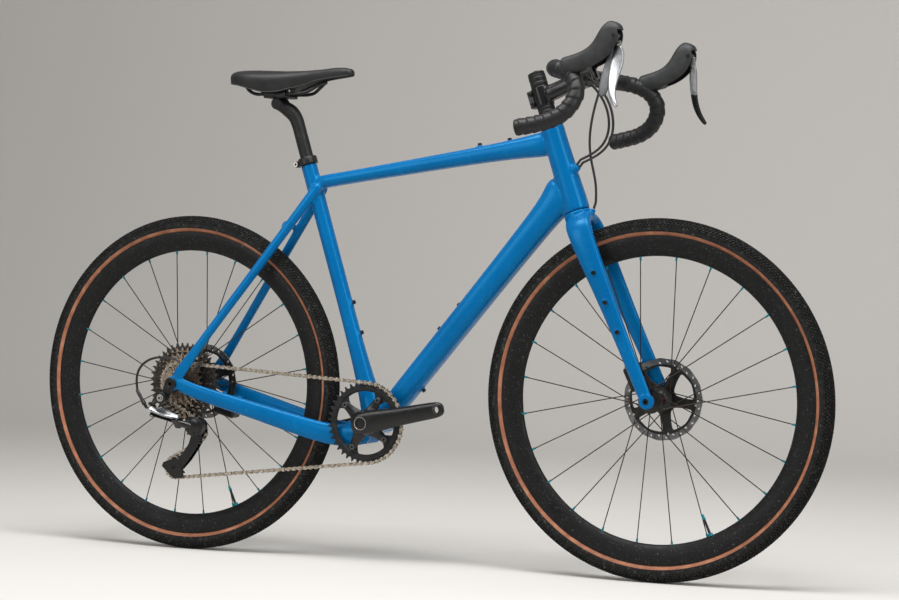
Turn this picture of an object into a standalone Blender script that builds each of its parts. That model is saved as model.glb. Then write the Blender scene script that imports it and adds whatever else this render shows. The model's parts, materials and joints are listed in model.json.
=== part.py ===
"""A gravel bike with a drop bar: one Blender object for each separate piece.

Lengths are metres, +X is forward, +Y is the rider's left and +Z is up. The origin is on the ground
midway between the axles. The drive side, with the chain, faces -Y.
"""
import math

import bmesh
import bpy
from mathutils import Matrix, Vector

# Driving dimensions of the bike
WHEELBASE = 1.034
TYRE_RADIUS = 0.350
BOTTOM_BRACKET_DROP = 0.065
CHAINSTAY_LENGTH = 0.441
SEAT_ANGLE = math.radians(72.8)
SEAT_TUBE_LENGTH = 0.545
HEAD_ANGLE = math.radians(71.5)
HEAD_TUBE_LENGTH = 0.172
FORK_OFFSET = 0.045
AXLE_TO_CROWN = 0.397

# Tubes of the frame
SEAT_TUBE_WIDTH = 0.032
TOP_TUBE_WIDTH = 0.036
TOP_TUBE_REAR_DEPTH = 0.025
TOP_TUBE_FRONT_DEPTH = 0.036
DOWN_TUBE_WIDTH = 0.048
SEATSTAY_WIDTH = 0.017
CHAINSTAY_WIDTH = 0.019
CHAINSTAY_REAR_DEPTH = 0.030
CHAINSTAY_FRONT_DEPTH = 0.043
HEAD_TOP_RADIUS = 0.0235
HEAD_LOW_RADIUS = 0.0265
SHELL_RADIUS = 0.0265
SHELL_WIDTH = 0.086
CUP_RADIUS = 0.0205
BEARING_RADIUS = 0.0200
BEARING_HEIGHT = 0.0085
STEERER_BORE = 0.0165
DROPOUT_THICKNESS = 0.0085
DROPOUT_RADIUS = 0.0155
BRIDGE_SHARE = 0.22
BRIDGE_DEPTH = 0.024
BOTTLE_BOSS_PLACES = (0.229, 0.293)
UNDER_BOSS_PLACES = (0.049, 0.113)
SEAT_BOSS_PLACES = (0.182, 0.246)
TOP_BOSS_PLACES = (0.70, 0.82)

# Fork
STEERER_RADIUS = 0.0143
CROWN_GAP = 0.0008
FOOT_THICKNESS = 0.0134

# Wheels
TYRE_WIDTH = 0.040
RIM_RADIUS = 0.316
RIM_DEPTH = 0.039
RIM_WIDTH = 0.028
SPOKE_COUNT = 24
SPOKE_THICKNESS = 0.0026
SPOKE_LEAN = math.radians(62)
WHEEL_FACETS = 36
VALVE_ANGLE = math.radians(-66)
VALVE_LENGTH = 0.034
FRONT_HUB_WIDTH = 0.100
REAR_HUB_WIDTH = 0.142
FLANGE_RADIUS = 0.0235
AXLE_RADIUS = 0.006
END_GAP = 0.0005

# Brakes
ROTOR_RADIUS = 0.080
ROTOR_THICKNESS = 0.0018
ROTOR_ARMS = 5
ROTOR_TURN = math.radians(28)
ROTOR_TRACK = 0.0145
ROTOR_HUB_RADIUS = 0.026
ROTOR_BORE = 0.0172
ROTOR_SHOULDER = 0.0200
FRONT_ROTOR_OFFSET = 0.0395
REAR_ROTOR_OFFSET = 0.0520
CALIPER_LENGTH = 0.052
CALIPER_DEPTH = 0.036
SLOT_WIDTH = 0.012
PAD_THICKNESS = 0.0042
PAD_CLEARANCE = 0.00045
PAD_REACH = 0.069

# Drivetrain
CHAIN_PITCH = 0.0127
CHAIN_LINKS = 120
CHAIN_WIDTH = 0.0055
CHAIN_BORE = 0.0028
PLATE_HALF = 0.0036
PLATE_STEP = 0.0006
PIN_BLOCK = 0.0024
ROLLER_ROOM = 0.0040
ROOT_HALF_LENGTH = 0.0032
TOOTH_TIP = 0.0030
CHAINRING_TEETH = 40
CHAINRING_OFFSET = 0.0495
RING_THICKNESS = 0.0018
RING_INNER = 0.0640
BOLT_RADIUS = 0.0550
SPIDER_TURNS = [math.radians(turn) for turn in (46, 129, 231, 314)]
SPIDER_THICKNESS = 0.0050
SPINDLE_RADIUS = 0.0120
CRANK_LENGTH = 0.170
CRANK_ANGLE = math.radians(11.5)
PEDAL_FACE = 0.0775
PEDAL_BORE = 0.0070
SPROCKET_TEETH = (11, 13, 15, 17, 19, 21, 24, 27, 31, 35, 40)
SPROCKET_PITCH = 0.0038
SPROCKET_THICKNESS = 0.0017
FIRST_SPROCKET_OFFSET = 0.0625
CHAIN_SPROCKET = 5
CASSETTE_CORE = 0.0175
FREEHUB_RADIUS = 0.0125

# Rear derailleur; pairs and triples of numbers are places from the rear axle
HANGER_THICKNESS = 0.0050
HANGER_BOLT = (-0.014, -0.029)
LINK_PIN = (-0.045, -0.087, -0.053)
LINK_LENGTH = 0.060
LINK_REST = math.radians(23.6)
LINK_SPREAD = 0.014
LINK_DEPTH = 0.014
LINK_PIN_RADIUS = 0.0022
KNUCKLE_DEPTH = 0.0060
BARREL_FOOT = (-0.0640, -0.0740, -0.0500)
BARREL_TIP = (-0.0780, -0.0730, -0.0290)
CAGE_AXIS = (0.048, -0.088)
GUIDE_AXIS = (0.042, -0.098)
TENSION_AXIS = (-0.012, -0.174)
CAGE_HALF = 0.0065
CAGE_PLATE = 0.0020
PULLEY_TEETH = 11
PULLEY_PIN = 0.0025
PULLEY_THICKNESS = 0.0020

# Cockpit
STEM_LENGTH = 0.098
STEM_RISE = 0.0065
COVER_HEIGHT = 0.0155
SPACER_HEIGHT = 0.028
UPPER_SPACER_HEIGHT = 0.024
STEM_CLAMP_HEIGHT = 0.040
FACE_SPLIT = 0.0005
BAR_RADIUS = 0.0125
BAR_CLAMP_RADIUS = 0.0159
BAR_STEP = 0.027
TAPE_RADIUS = 0.0160
TAPE_START = 0.050
HOOD_OFFSET = 0.212
BAR_REACH = 0.068
BAR_DROP = 0.113
DROP_OFFSET = 0.258

# Levers; places are given from the bar clamp, forward and up
LEVER_PIVOT = (0.1395, 0.055)
PIN_HEIGHT = 0.041
PIN_RADIUS = 0.0024
POCKET_WIDTH = 0.029
BRACKET_DEPTH = 0.0060
EYE_DEPTH = 0.0050
EYE_RADIUS = 0.0055

# Saddle and post
POST_RADIUS = 0.0136
POST_INSERT = 0.115
POST_TRAVEL = 0.060
POST_SHOWN = 0.106
HEAD_SETBACK = 0.068
HEAD_RISE = 0.126
HEAD_PIN_RADIUS = 0.0125
SADDLE_HEIGHT = 1.000
SADDLE_LENGTH = 0.267
SADDLE_REAR = -0.098
SADDLE_WIDTH = 0.142
SHELL_LEVEL = -0.0190
SHELL_THICKNESS = 0.0042
RAIL_SPREAD = 0.0220
RAIL_DROP = -0.0494
RAIL_RADIUS = 0.0035
CLAMP_LENGTH = 0.050

# Hoses
HOSE_RADIUS = 0.0025
HOUSING_SIDE = 0.0752

# Clearances
SEAT_GAP = 0.0003

SIDE = Vector((0, 1, 0))
UP = Vector((0, 0, 1))
FORWARD = Vector((1, 0, 0))


# Places that the pieces are built from
def polar(angle):
    """Unit vector in the bike's plane, rising at an angle from forward."""
    return Vector((math.cos(angle), 0, math.sin(angle)))


REAR_AXLE = Vector((-WHEELBASE / 2, 0, TYRE_RADIUS))
FRONT_AXLE = Vector((WHEELBASE / 2, 0, TYRE_RADIUS))
BOTTOM_BRACKET = REAR_AXLE + Vector((
    math.sqrt(CHAINSTAY_LENGTH ** 2 - BOTTOM_BRACKET_DROP ** 2), 0, -BOTTOM_BRACKET_DROP))
SEAT_UP = polar(math.pi - SEAT_ANGLE)
SEAT_FORWARD = polar(math.pi / 2 - SEAT_ANGLE)
SEAT_TOP = BOTTOM_BRACKET + SEAT_UP * SEAT_TUBE_LENGTH
STEER_UP = polar(math.pi - HEAD_ANGLE)
STEER_FORWARD = polar(math.pi / 2 - HEAD_ANGLE)
CROWN = FRONT_AXLE - STEER_FORWARD * FORK_OFFSET + STEER_UP * AXLE_TO_CROWN
HEAD_TOP = CROWN + STEER_UP * HEAD_TUBE_LENGTH
FRONT_DROPOUT = FRONT_HUB_WIDTH / 2
REAR_DROPOUT = REAR_HUB_WIDTH / 2
HANGER_FACE = REAR_DROPOUT + DROPOUT_THICKNESS + SEAT_GAP
HEAD_PORT_WAY = Vector((0.74, -0.16, 0.65)).normalized()
HEAD_PORT = CROWN + STEER_UP * 0.082 + STEER_FORWARD * 0.033 - SIDE * 0.010
FORK_PORT_WAY = Vector((0.30, 0, 0.95)).normalized()
FORK_PORT = CROWN + STEER_FORWARD * 0.0345 - STEER_UP * 0.0065

STEM_BASE = COVER_HEIGHT + SPACER_HEIGHT + SEAT_GAP * 2
STEM_MIDDLE = HEAD_TOP + STEER_UP * (STEM_BASE + STEM_CLAMP_HEIGHT / 2)
STEM_TOP = STEM_BASE + STEM_CLAMP_HEIGHT
STEERER_LENGTH = HEAD_TUBE_LENGTH + STEM_TOP + UPPER_SPACER_HEIGHT * 0.4
BAR_CENTRE = STEM_MIDDLE + STEER_FORWARD * STEM_LENGTH + STEER_UP * STEM_RISE
TAPE_BORE = BAR_RADIUS + 0.0008
LEVER_OFFSET = HOOD_OFFSET + 0.003

POST_BORE_DEPTH = POST_INSERT + POST_TRAVEL + 0.008
HEAD_PIN = SEAT_TOP + Vector((-HEAD_SETBACK, 0, HEAD_RISE))
SHELL_UNDER = SHELL_LEVEL - SHELL_THICKNESS

SPROCKET_Y = -(FIRST_SPROCKET_OFFSET - CHAIN_SPROCKET * SPROCKET_PITCH)
CAGE_PIVOT, GUIDE_REST, TENSION_REST = (
    REAR_AXLE + Vector((x, SPROCKET_Y, z)) for x, z in (CAGE_AXIS, GUIDE_AXIS, TENSION_AXIS))
BARREL_START = REAR_AXLE + Vector(BARREL_FOOT)
BARREL_END = REAR_AXLE + Vector(BARREL_TIP)


# Scene, collections and materials
for old in list(bpy.data.objects):
    bpy.data.objects.remove(old)
bike = bpy.data.collections.new("road_bike")
cutters = bpy.data.collections.new("cutters")
bpy.context.scene.collection.children.link(bike)
bpy.context.scene.collection.children.link(cutters)


def material(name, colour, roughness, metallic=0.0):
    """A Principled material with one colour."""
    made = bpy.data.materials.new(name)
    made.use_nodes = True
    shader = made.node_tree.nodes["Principled BSDF"]
    shader.inputs["Base Color"].default_value = (*colour, 1)
    shader.inputs["Roughness"].default_value = roughness
    shader.inputs["Metallic"].default_value = metallic
    return made


BLUE_PAINT = material("blue_paint", (0.010, 0.130, 0.420), 0.40)
BLACK_METAL = material("black_metal", (0.012, 0.012, 0.013), 0.38, 0.6)
GLOSS_BLACK = material("gloss_black", (0.008, 0.008, 0.009), 0.18, 0.3)
CARBON = material("matte_carbon", (0.018, 0.018, 0.018), 0.55)
TYRE_RUBBER = material("tyre_rubber", (0.022, 0.021, 0.020), 0.85)
BAR_TAPE = material("bar_tape", (0.020, 0.020, 0.021), 0.70)
HOOD_RUBBER = material("hood_rubber", (0.035, 0.037, 0.037), 0.65)
SADDLE_COVER = material("saddle_cover", (0.016, 0.016, 0.017), 0.60)
HOSE = material("hose_black", (0.012, 0.012, 0.012), 0.45)
SILVER = material("silver_alloy", (0.62, 0.62, 0.61), 0.30, 1.0)
LEVER_GREY = material("lever_grey", (0.33, 0.35, 0.37), 0.30, 0.9)
SPROCKET_STEEL = material("sprocket_steel", (0.38, 0.33, 0.27), 0.38, 1.0)
CHAIN_STEEL = material("chain_steel", (0.45, 0.39, 0.31), 0.35, 1.0)
ROTOR_STEEL = material("rotor_steel", (0.30, 0.30, 0.29), 0.35, 1.0)


# Modelling helpers
def finish(thing, surface, smooth=35):
    """Give a mesh its material and smooth shading with sharp edges."""
    thing.data.materials.clear()
    thing.data.materials.append(surface)
    thing.data.shade_smooth()
    thing.data.set_sharp_from_angle(angle=math.radians(smooth))
    return thing


def add(name, mesh, surface, group=bike):
    """Put a mesh in a collection as a named object."""
    thing = bpy.data.objects.new(name, mesh)
    group.objects.link(thing)
    return finish(thing, surface)


def face_out(shape):
    """Point a closed bmesh's faces outward."""
    bmesh.ops.recalc_face_normals(shape, faces=shape.faces)
    if shape.calc_volume(signed=True) < 0:
        bmesh.ops.reverse_faces(shape, faces=shape.faces)


def from_bmesh(name, shape, surface, group=bike):
    """Turn a bmesh into an object, with its faces pointing out."""
    face_out(shape)
    mesh = bpy.data.meshes.new(name)
    shape.to_mesh(mesh)
    shape.free()
    return add(name, mesh, surface, group)


def skin(name, rings, surface, group=bike, closed=False):
    """Loft a closed surface through rings that have equal counts of points."""
    shape = bmesh.new()
    rows = [[shape.verts.new(point) for point in ring] for ring in rings]
    count = len(rows[0])
    pairs = list(zip(rows, rows[1:]))
    if closed:
        pairs.append((rows[-1], rows[0]))
    else:
        shape.faces.new(rows[0])
        shape.faces.new(reversed(rows[-1]))
    for low, high in pairs:
        for i in range(count):
            j = (i + 1) % count
            shape.faces.new((low[i], high[i], high[j], low[j]))
    return from_bmesh(name, shape, surface, group)


def oval(centre, across, up, width, height, count=12, power=2.0):
    """Points of a superellipse; a higher power makes it squarer."""
    points = []
    for i in range(count):
        angle = math.tau * (i + 0.5) / count
        c, s = math.cos(angle), math.sin(angle)
        x = math.copysign(abs(c) ** (2 / power), c) * width / 2
        y = math.copysign(abs(s) ** (2 / power), s) * height / 2
        points.append(centre + across * x + up * y)
    return points


def tangents(points):
    """Direction of travel at each point of an open line."""
    found = []
    for i in range(len(points)):
        before = points[max(i - 1, 0)]
        after = points[min(i + 1, len(points) - 1)]
        found.append((after - before).normalized())
    return found


def tube(name, stations, surface, group=bike, count=12, across=SIDE):
    """Loft ovals along stations of (point, width, height, power)."""
    points = [station[0] for station in stations]
    rings = []
    for (point, width, height, power), along in zip(stations, tangents(points)):
        side = (across - along * across.dot(along)).normalized()
        rings.append(oval(point, side, side.cross(along), width, height, count, power))
    return skin(name, rings, surface, group)


def turned(name, profile, surface, group=bike, facets=24, centre=Vector(), axis=SIDE):
    """Screw an outline of (radius, place along the axis) round an axis."""
    mesh = bpy.data.meshes.new(name)
    shape = bmesh.new()
    twice_area = sum(a[0] * b[1] - b[0] * a[1] for a, b in zip(profile, profile[1:] + profile[:1]))
    if twice_area > 0:
        profile = profile[::-1]
    verts = [shape.verts.new((radius, 0, height)) for radius, height in profile]
    pairs = list(zip(verts, verts[1:]))
    if profile[0][0] > 0 or profile[-1][0] > 0:
        pairs.append((verts[-1], verts[0]))
    for one, two in pairs:
        shape.edges.new((one, two))
    shape.to_mesh(mesh)
    shape.free()
    thing = add(name, mesh, surface, group)
    screw = thing.modifiers.new("turn", "SCREW")
    screw.steps = facets
    screw.render_steps = facets
    screw.use_merge_vertices = True
    screw.merge_threshold = 0.00001
    place(thing, centre, axis)
    return thing


def place(thing, centre, axis):
    """Stand an object's Z axis along a direction, at a point."""
    thing.location = centre
    thing.rotation_mode = "QUATERNION"
    thing.rotation_quaternion = UP.rotation_difference(axis)


def rod(name, start, end, radius, surface, group=bike, facets=12, tip=None):
    """A cylinder, or a cone, from one point to another."""
    shape = bmesh.new()
    bmesh.ops.create_cone(
        shape, cap_ends=True, segments=facets, radius1=radius,
        radius2=radius if tip is None else tip, depth=(end - start).length)
    turn = UP.rotation_difference(end - start).to_matrix().to_4x4()
    shape.transform(Matrix.Translation((start + end) / 2) @ turn)
    return from_bmesh(name, shape, surface, group)


def clear(radius, facets=16):
    """Radius of a faceted bore whose flats clear a round pin."""
    return (radius + SEAT_GAP) / math.cos(math.pi / facets)


def block(name, centre, size, surface, group=bike, along=FORWARD, side=SIDE, bevel=0.0):
    """A box with rounded edges, its length along a direction."""
    shape = bmesh.new()
    bmesh.ops.create_cube(shape, size=1.0)
    shape.transform(Matrix.Diagonal((*size, 1)))
    if bevel:
        bmesh.ops.bevel(shape, geom=shape.edges[:], offset=bevel, segments=1, affect="EDGES")
    x = along.normalized()
    y = (side - x * side.dot(x)).normalized()
    turn = Matrix((x, y, x.cross(y))).transposed().to_4x4()
    shape.transform(Matrix.Translation(centre) @ turn)
    return from_bmesh(name, shape, surface, group)


def plate(name, outlines, thickness, surface, group=bike, centre=Vector(), axis=SIDE):
    """A flat piece from closed outlines; the ones inside the first are holes."""
    curve = bpy.data.curves.new(name, "CURVE")
    curve.dimensions = "2D"
    curve.fill_mode = "BOTH"
    curve.extrude = thickness / 2
    for outline in outlines:
        line = curve.splines.new("POLY")
        line.points.add(len(outline) - 1)
        line.use_cyclic_u = True
        for point, (x, y) in zip(line.points, outline):
            point.co = (x, y, 0, 1)
    return solid_from_curve(name, curve, surface, group, centre, axis)


def solid_from_curve(name, curve, surface, group, centre=Vector(), axis=UP):
    """Make a curve a closed mesh, which Booleans can use."""
    drawn = bpy.data.objects.new(name + "_curve", curve)
    group.objects.link(drawn)
    depsgraph = bpy.context.evaluated_depsgraph_get()
    mesh = bpy.data.meshes.new_from_object(drawn.evaluated_get(depsgraph))
    shape = bmesh.new()
    shape.from_mesh(mesh)
    bmesh.ops.remove_doubles(shape, verts=shape.verts, dist=0.00002)
    face_out(shape)
    shape.to_mesh(mesh)
    shape.free()
    bpy.data.objects.remove(drawn)
    thing = add(name, mesh, surface, group)
    if axis != UP:
        place(thing, centre, axis)
    else:
        thing.location = centre
    return thing


def cable(name, route, radius, surface, spacing=None):
    """A hose along a smooth curve through the points of its route."""
    spacing = spacing or radius * 8
    points = smooth_route(route, spacing)
    curve = bpy.data.curves.new(name, "CURVE")
    curve.dimensions = "3D"
    curve.bevel_depth = radius
    curve.bevel_resolution = 2
    curve.use_fill_caps = True
    line = curve.splines.new("POLY")
    line.points.add(len(points) - 1)
    for spot, point in zip(line.points, points):
        spot.co = (*point, 1)
    return solid_from_curve(name, curve, surface, bike)


def smooth_route(route, spacing):
    """Points read at an even spacing from a smooth curve through the route."""
    ends = [route[0] * 2 - route[1]] + list(route) + [route[-1] * 2 - route[-2]]
    dense = []
    for a, b, c, d in zip(ends, ends[1:], ends[2:], ends[3:]):
        for step in range(12):
            t = step / 12
            dense.append(0.5 * (
                b * 2 + (c - a) * t + (a * 2 - b * 5 + c * 4 - d) * t ** 2
                + (b * 3 - a - c * 3 + d) * t ** 3))
    dense.append(route[-1])
    lengths = [0.0]
    for one, two in zip(dense, dense[1:]):
        lengths.append(lengths[-1] + (two - one).length)
    count = max(2, round(lengths[-1] / spacing))
    points = []
    i = 0
    for step in range(count + 1):
        goal = lengths[-1] * step / count
        while i < len(dense) - 2 and lengths[i + 1] < goal:
            i += 1
        share = (goal - lengths[i]) / (lengths[i + 1] - lengths[i])
        points.append(dense[i].lerp(dense[i + 1], min(max(share, 0), 1)))
    return points


def combine(target, tools, operation):
    """Join solids to a target, or cut them from it, with Boolean modifiers."""
    for tool in tools:
        for group in list(tool.users_collection):
            group.objects.unlink(tool)
        cutters.objects.link(tool)
        tool.hide_render = True
        tool.display_type = "WIRE"
        step = target.modifiers.new(tool.name, "BOOLEAN")
        step.operation = operation
        step.object = tool
        step.solver = "EXACT"
    return target


def join(target, *tools):
    """Fuse solids into one body."""
    return combine(target, tools, "UNION")


def cut(target, *tools):
    """Cut solids out of a body."""
    return combine(target, tools, "DIFFERENCE")


def merge_flats(thing):
    """Merge the flat faces that joins have split."""
    step = thing.modifiers.new("merge_flats", "DECIMATE")
    step.decimate_type = "DISSOLVE"
    step.angle_limit = math.radians(3)
    return thing


def mirrored(point):
    """The same place on the bike's other side."""
    return Vector((point.x, -point.y, point.z))


def pivot(name, centre, parent=None):
    """An empty on a joint's axis, which carries the pieces that turn on it."""
    empty = bpy.data.objects.new(name, None)
    bike.objects.link(empty)
    empty.empty_display_size = 0.05
    empty.location = centre
    if parent:
        empty.parent = parent
        empty.location = centre - parent.matrix_world.translation
    bpy.context.view_layer.update()
    return empty


def carry(empty, *things):
    """Parent pieces to an empty where they stand."""
    for thing in things:
        thing.parent = empty
        thing.matrix_parent_inverse = empty.matrix_world.inverted()


# Frame
def frame_tubes():
    """The tubes and stays, joined into one moulded frame."""
    seat_low = BOTTOM_BRACKET + SEAT_UP * 0.010
    frame = tube("frame", [
        (seat_low, 0.054, 0.050, 2.4),
        (BOTTOM_BRACKET + SEAT_UP * 0.070, 0.036, 0.040, 2.2),
        (BOTTOM_BRACKET + SEAT_UP * 0.160, SEAT_TUBE_WIDTH - 0.002, 0.031, 2.0),
        (BOTTOM_BRACKET + SEAT_UP * 0.420, SEAT_TUBE_WIDTH, 0.032, 2.0),
        (SEAT_TOP, SEAT_TUBE_WIDTH + 0.001, 0.033, 2.0),
    ], BLUE_PAINT, count=10)

    top_rear = SEAT_TOP - SEAT_UP * 0.040
    top_front = HEAD_TOP - STEER_UP * 0.030
    top_tube = tube("frame_top_tube", [
        (top_rear, TOP_TUBE_WIDTH - 0.004, TOP_TUBE_REAR_DEPTH + 0.006, 2.3),
        (top_rear.lerp(top_front, 0.09), TOP_TUBE_WIDTH - 0.002, TOP_TUBE_REAR_DEPTH, 2.6),
        (top_rear.lerp(top_front, 0.75), TOP_TUBE_WIDTH, TOP_TUBE_FRONT_DEPTH - 0.003, 2.6),
        (top_rear.lerp(top_front, 0.91), TOP_TUBE_WIDTH + 0.002, TOP_TUBE_FRONT_DEPTH + 0.008, 2.4),
        (top_front, TOP_TUBE_WIDTH + 0.004, TOP_TUBE_FRONT_DEPTH + 0.020, 2.2),
    ], BLUE_PAINT, count=10)

    down_front = CROWN + STEER_UP * 0.052
    down_rear = BOTTOM_BRACKET + FORWARD * 0.012
    down_tube = tube("frame_down_tube", [
        (down_rear, 0.060, 0.046, 2.4),
        (down_rear.lerp(down_front, 0.12), 0.050, 0.048, 2.6),
        (down_rear.lerp(down_front, 0.62), DOWN_TUBE_WIDTH, 0.049, 2.6),
        (down_rear.lerp(down_front, 0.85), DOWN_TUBE_WIDTH, 0.055, 2.5),
        (down_rear.lerp(down_front, 0.93), DOWN_TUBE_WIDTH, 0.062, 2.4),
        (down_front, DOWN_TUBE_WIDTH - 0.002, 0.096, 2.2),
    ], BLUE_PAINT, count=10)

    head_tube = turned("frame_head_tube", [
        (0, HEAD_TUBE_LENGTH), (HEAD_TOP_RADIUS, HEAD_TUBE_LENGTH),
        (HEAD_TOP_RADIUS, HEAD_TUBE_LENGTH - 0.030), (HEAD_LOW_RADIUS, 0.020),
        (HEAD_LOW_RADIUS, 0), (0, 0),
    ], BLUE_PAINT, facets=16, centre=CROWN, axis=STEER_UP)
    half_shell = SIDE * SHELL_WIDTH / 2
    shell = rod("frame_shell", BOTTOM_BRACKET - half_shell, BOTTOM_BRACKET + half_shell,
                SHELL_RADIUS, BLUE_PAINT, facets=16)
    return frame, top_tube, down_tube, head_tube, shell


def stay(name, side, stations, depth_power=2.2):
    """A stay whose stations are (x, y, z, width, depth) from the rear axle."""
    rows = []
    for x, y, z, width, depth in stations:
        rows.append((REAR_AXLE + Vector((x, side * y, z)), width, depth, depth_power))
    return tube(name, rows, BLUE_PAINT, count=8)


def frame_stays():
    """Seatstays, chainstays, bridge and dropouts of both sides."""
    parts = []
    stay_top = SEAT_TOP - SEAT_UP * 0.062 + SIDE * 0.018 - REAR_AXLE
    stay_low = Vector((0.029, REAR_DROPOUT, 0.036))
    low = BOTTOM_BRACKET - REAR_AXLE
    hug = REAR_DROPOUT + DROPOUT_THICKNESS / 2
    for side, tag in ((-1, "right"), (1, "left")):
        stations = []
        for share, y, width, depth in (
                (-0.06, 0.012, 0.018, 0.024), (0.03, 0.018, SEATSTAY_WIDTH, 0.020),
                (0.38, 0.039, SEATSTAY_WIDTH, 0.0185), (0.66, 0.057, SEATSTAY_WIDTH, 0.018),
                (0.86, 0.070, 0.016, 0.018), (1.0, hug, DROPOUT_THICKNESS, 0.024)):
            spot = stay_top.lerp(stay_low, share)
            stations.append((spot.x, y, spot.z, width, depth))
        stations.append((0.006, hug, 0.008, DROPOUT_THICKNESS, 0.030))
        parts.append(stay("frame_seatstay_" + tag, side, stations))
        parts.append(stay("frame_chainstay_" + tag, side, [
            (0.002, hug, 0.008, DROPOUT_THICKNESS, 0.028),
            (0.034, hug, -0.009, DROPOUT_THICKNESS, CHAINSTAY_REAR_DEPTH),
            (0.100, 0.0655, -0.028, CHAINSTAY_WIDTH - 0.003, CHAINSTAY_REAR_DEPTH + 0.002),
            (0.170, 0.0555, -0.046, CHAINSTAY_WIDTH, CHAINSTAY_REAR_DEPTH + 0.004),
            (0.270, 0.0400, -0.075, CHAINSTAY_WIDTH, CHAINSTAY_FRONT_DEPTH - 0.003),
            (0.338, 0.0330, -0.092, CHAINSTAY_WIDTH - 0.001, CHAINSTAY_FRONT_DEPTH),
            (low.x - 0.046, 0.0300, low.z - 0.031, CHAINSTAY_WIDTH + 0.004, 0.046),
            (low.x + 0.004, 0.0250, low.z - 0.018, 0.028, 0.046),
        ]))
        inner = SIDE * side * REAR_DROPOUT
        parts.append(rod("frame_dropout_" + tag, REAR_AXLE + inner,
                         REAR_AXLE + inner + SIDE * side * DROPOUT_THICKNESS,
                         DROPOUT_RADIUS, BLUE_PAINT, facets=16))
    yoke_height = 0.046
    parts.append(block("frame_yoke", BOTTOM_BRACKET + Vector((-0.030, 0, -0.022)),
                       (0.044, 0.058, yoke_height), BLUE_PAINT, bevel=0.008))
    foot = REAR_AXLE + stay_top.lerp(stay_low, BRIDGE_SHARE)
    foot.y = 0
    bridge = smooth_route([
        foot + Vector((across * BRIDGE_DEPTH * -0.3, y, rise)) for across, y, rise in (
            (0, -0.029, 0), (1, -0.019, 0.015), (1.4, 0, 0.021), (1, 0.019, 0.015), (0, 0.029, 0))
    ], 0.016)
    parts.append(tube("frame_bridge", [(point, 0.012, 0.010, 2.0) for point in bridge],
                      BLUE_PAINT, count=8, across=FORWARD))
    return parts


def frame_bores():
    """Cutters for the bores of the seat tube, head tube, shell and dropouts."""
    post_bore = rod("cut_post_bore", SEAT_TOP - SEAT_UP * POST_BORE_DEPTH, SEAT_TOP + SEAT_UP * 0.020,
                    clear(POST_RADIUS), BLUE_PAINT, cutters, facets=16)
    steerer_bore = turned("cut_steerer_bore", [
        (0, HEAD_TUBE_LENGTH + 0.010), (BEARING_RADIUS, HEAD_TUBE_LENGTH + 0.010),
        (BEARING_RADIUS, HEAD_TUBE_LENGTH - BEARING_HEIGHT),
        (STEERER_BORE, HEAD_TUBE_LENGTH - BEARING_HEIGHT),
        (STEERER_BORE, BEARING_HEIGHT), (BEARING_RADIUS, BEARING_HEIGHT),
        (BEARING_RADIUS, -0.010), (0, -0.010),
    ], BLUE_PAINT, cutters, facets=16, centre=CROWN, axis=STEER_UP)
    half = SIDE * (SHELL_WIDTH / 2 + 0.005)
    shell_bore = rod("cut_shell_bore", BOTTOM_BRACKET - half, BOTTOM_BRACKET + half,
                     CUP_RADIUS, BLUE_PAINT, cutters, facets=16)
    reach = SIDE * 0.095
    axle_bore = rod("cut_axle_bore", REAR_AXLE - reach, REAR_AXLE + reach,
                    clear(AXLE_RADIUS, 12), BLUE_PAINT, cutters, facets=12)
    return axle_bore, shell_bore, post_bore, steerer_bore


def boss(name, centre, out, radius=0.0065, height=0.004):
    """A threaded boss that stands on a tube, with its bolt."""
    return rod(name, centre - out * 0.004, centre + out * height, radius, BLUE_PAINT, facets=8)


def frame_bosses():
    """Bottle bosses and the port that the hoses enter."""
    found = []
    down_front = CROWN + STEER_UP * 0.052
    along = (down_front - BOTTOM_BRACKET).normalized()
    out = along.cross(SIDE)
    foot = BOTTOM_BRACKET + FORWARD * 0.010
    for i, reach in enumerate(BOTTLE_BOSS_PLACES):
        found.append(boss(f"frame_down_boss_{i}", foot + along * reach + out * 0.0235, out))
    for i, reach in enumerate(UNDER_BOSS_PLACES):
        found.append(boss(f"frame_under_boss_{i}", foot + along * reach - out * 0.0235, -out))
    for i, reach in enumerate(SEAT_BOSS_PLACES):
        found.append(boss(f"frame_seat_boss_{i}", BOTTOM_BRACKET + SEAT_UP * reach
                          + SEAT_FORWARD * 0.0145, SEAT_FORWARD))
    top_rear = SEAT_TOP - SEAT_UP * 0.040
    top_front = HEAD_TOP - STEER_UP * 0.030
    over = (top_front - top_rear).normalized()
    rise = SIDE.cross(over) * -1
    for i, share in enumerate(TOP_BOSS_PLACES):
        found.append(boss(f"frame_top_boss_{i}", top_rear.lerp(top_front, share)
                          + rise * 0.0165, rise, height=0.003))
    return found


def caliper_frame(which):
    """Place, leg direction and outward direction of a brake's flat mount."""
    if which == "front":
        along = (FRONT_AXLE - CROWN).normalized()
        out = SIDE.cross(along).normalized()
        foot = FRONT_AXLE - along * 0.060 + SIDE * 0.0545
        return foot, along, out, 0.0125
    along = polar(math.radians(-15))
    out = along.cross(SIDE).normalized() * -1
    foot = REAR_AXLE + Vector((0.070, 0.0655, -0.0195))
    return foot, along, out, 0.0150


def caliper_pad(which):
    """The flat pad of frame or fork that a caliper bolts to."""
    foot, along, out, half = caliper_frame(which)
    offset = 0.0545 if which == "front" else 0.0640
    foot = Vector((foot.x, offset, foot.z))
    width = 0.013 if which == "front" else 0.0165
    return block(which + "_caliper_pad", foot + out * (half - 0.002), (0.050, width, 0.012),
                 BLUE_PAINT, along=along, side=SIDE, bevel=0.001)


frame, *tubes = frame_tubes()
join(frame, *tubes, *frame_stays(), *frame_bosses(), caliper_pad("rear"),
     rod("frame_hose_port", HEAD_PORT - HEAD_PORT_WAY * 0.016, HEAD_PORT, 0.0085, BLUE_PAINT,
         facets=10))
cut(frame, *frame_bores())
merge_flats(frame)


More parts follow.
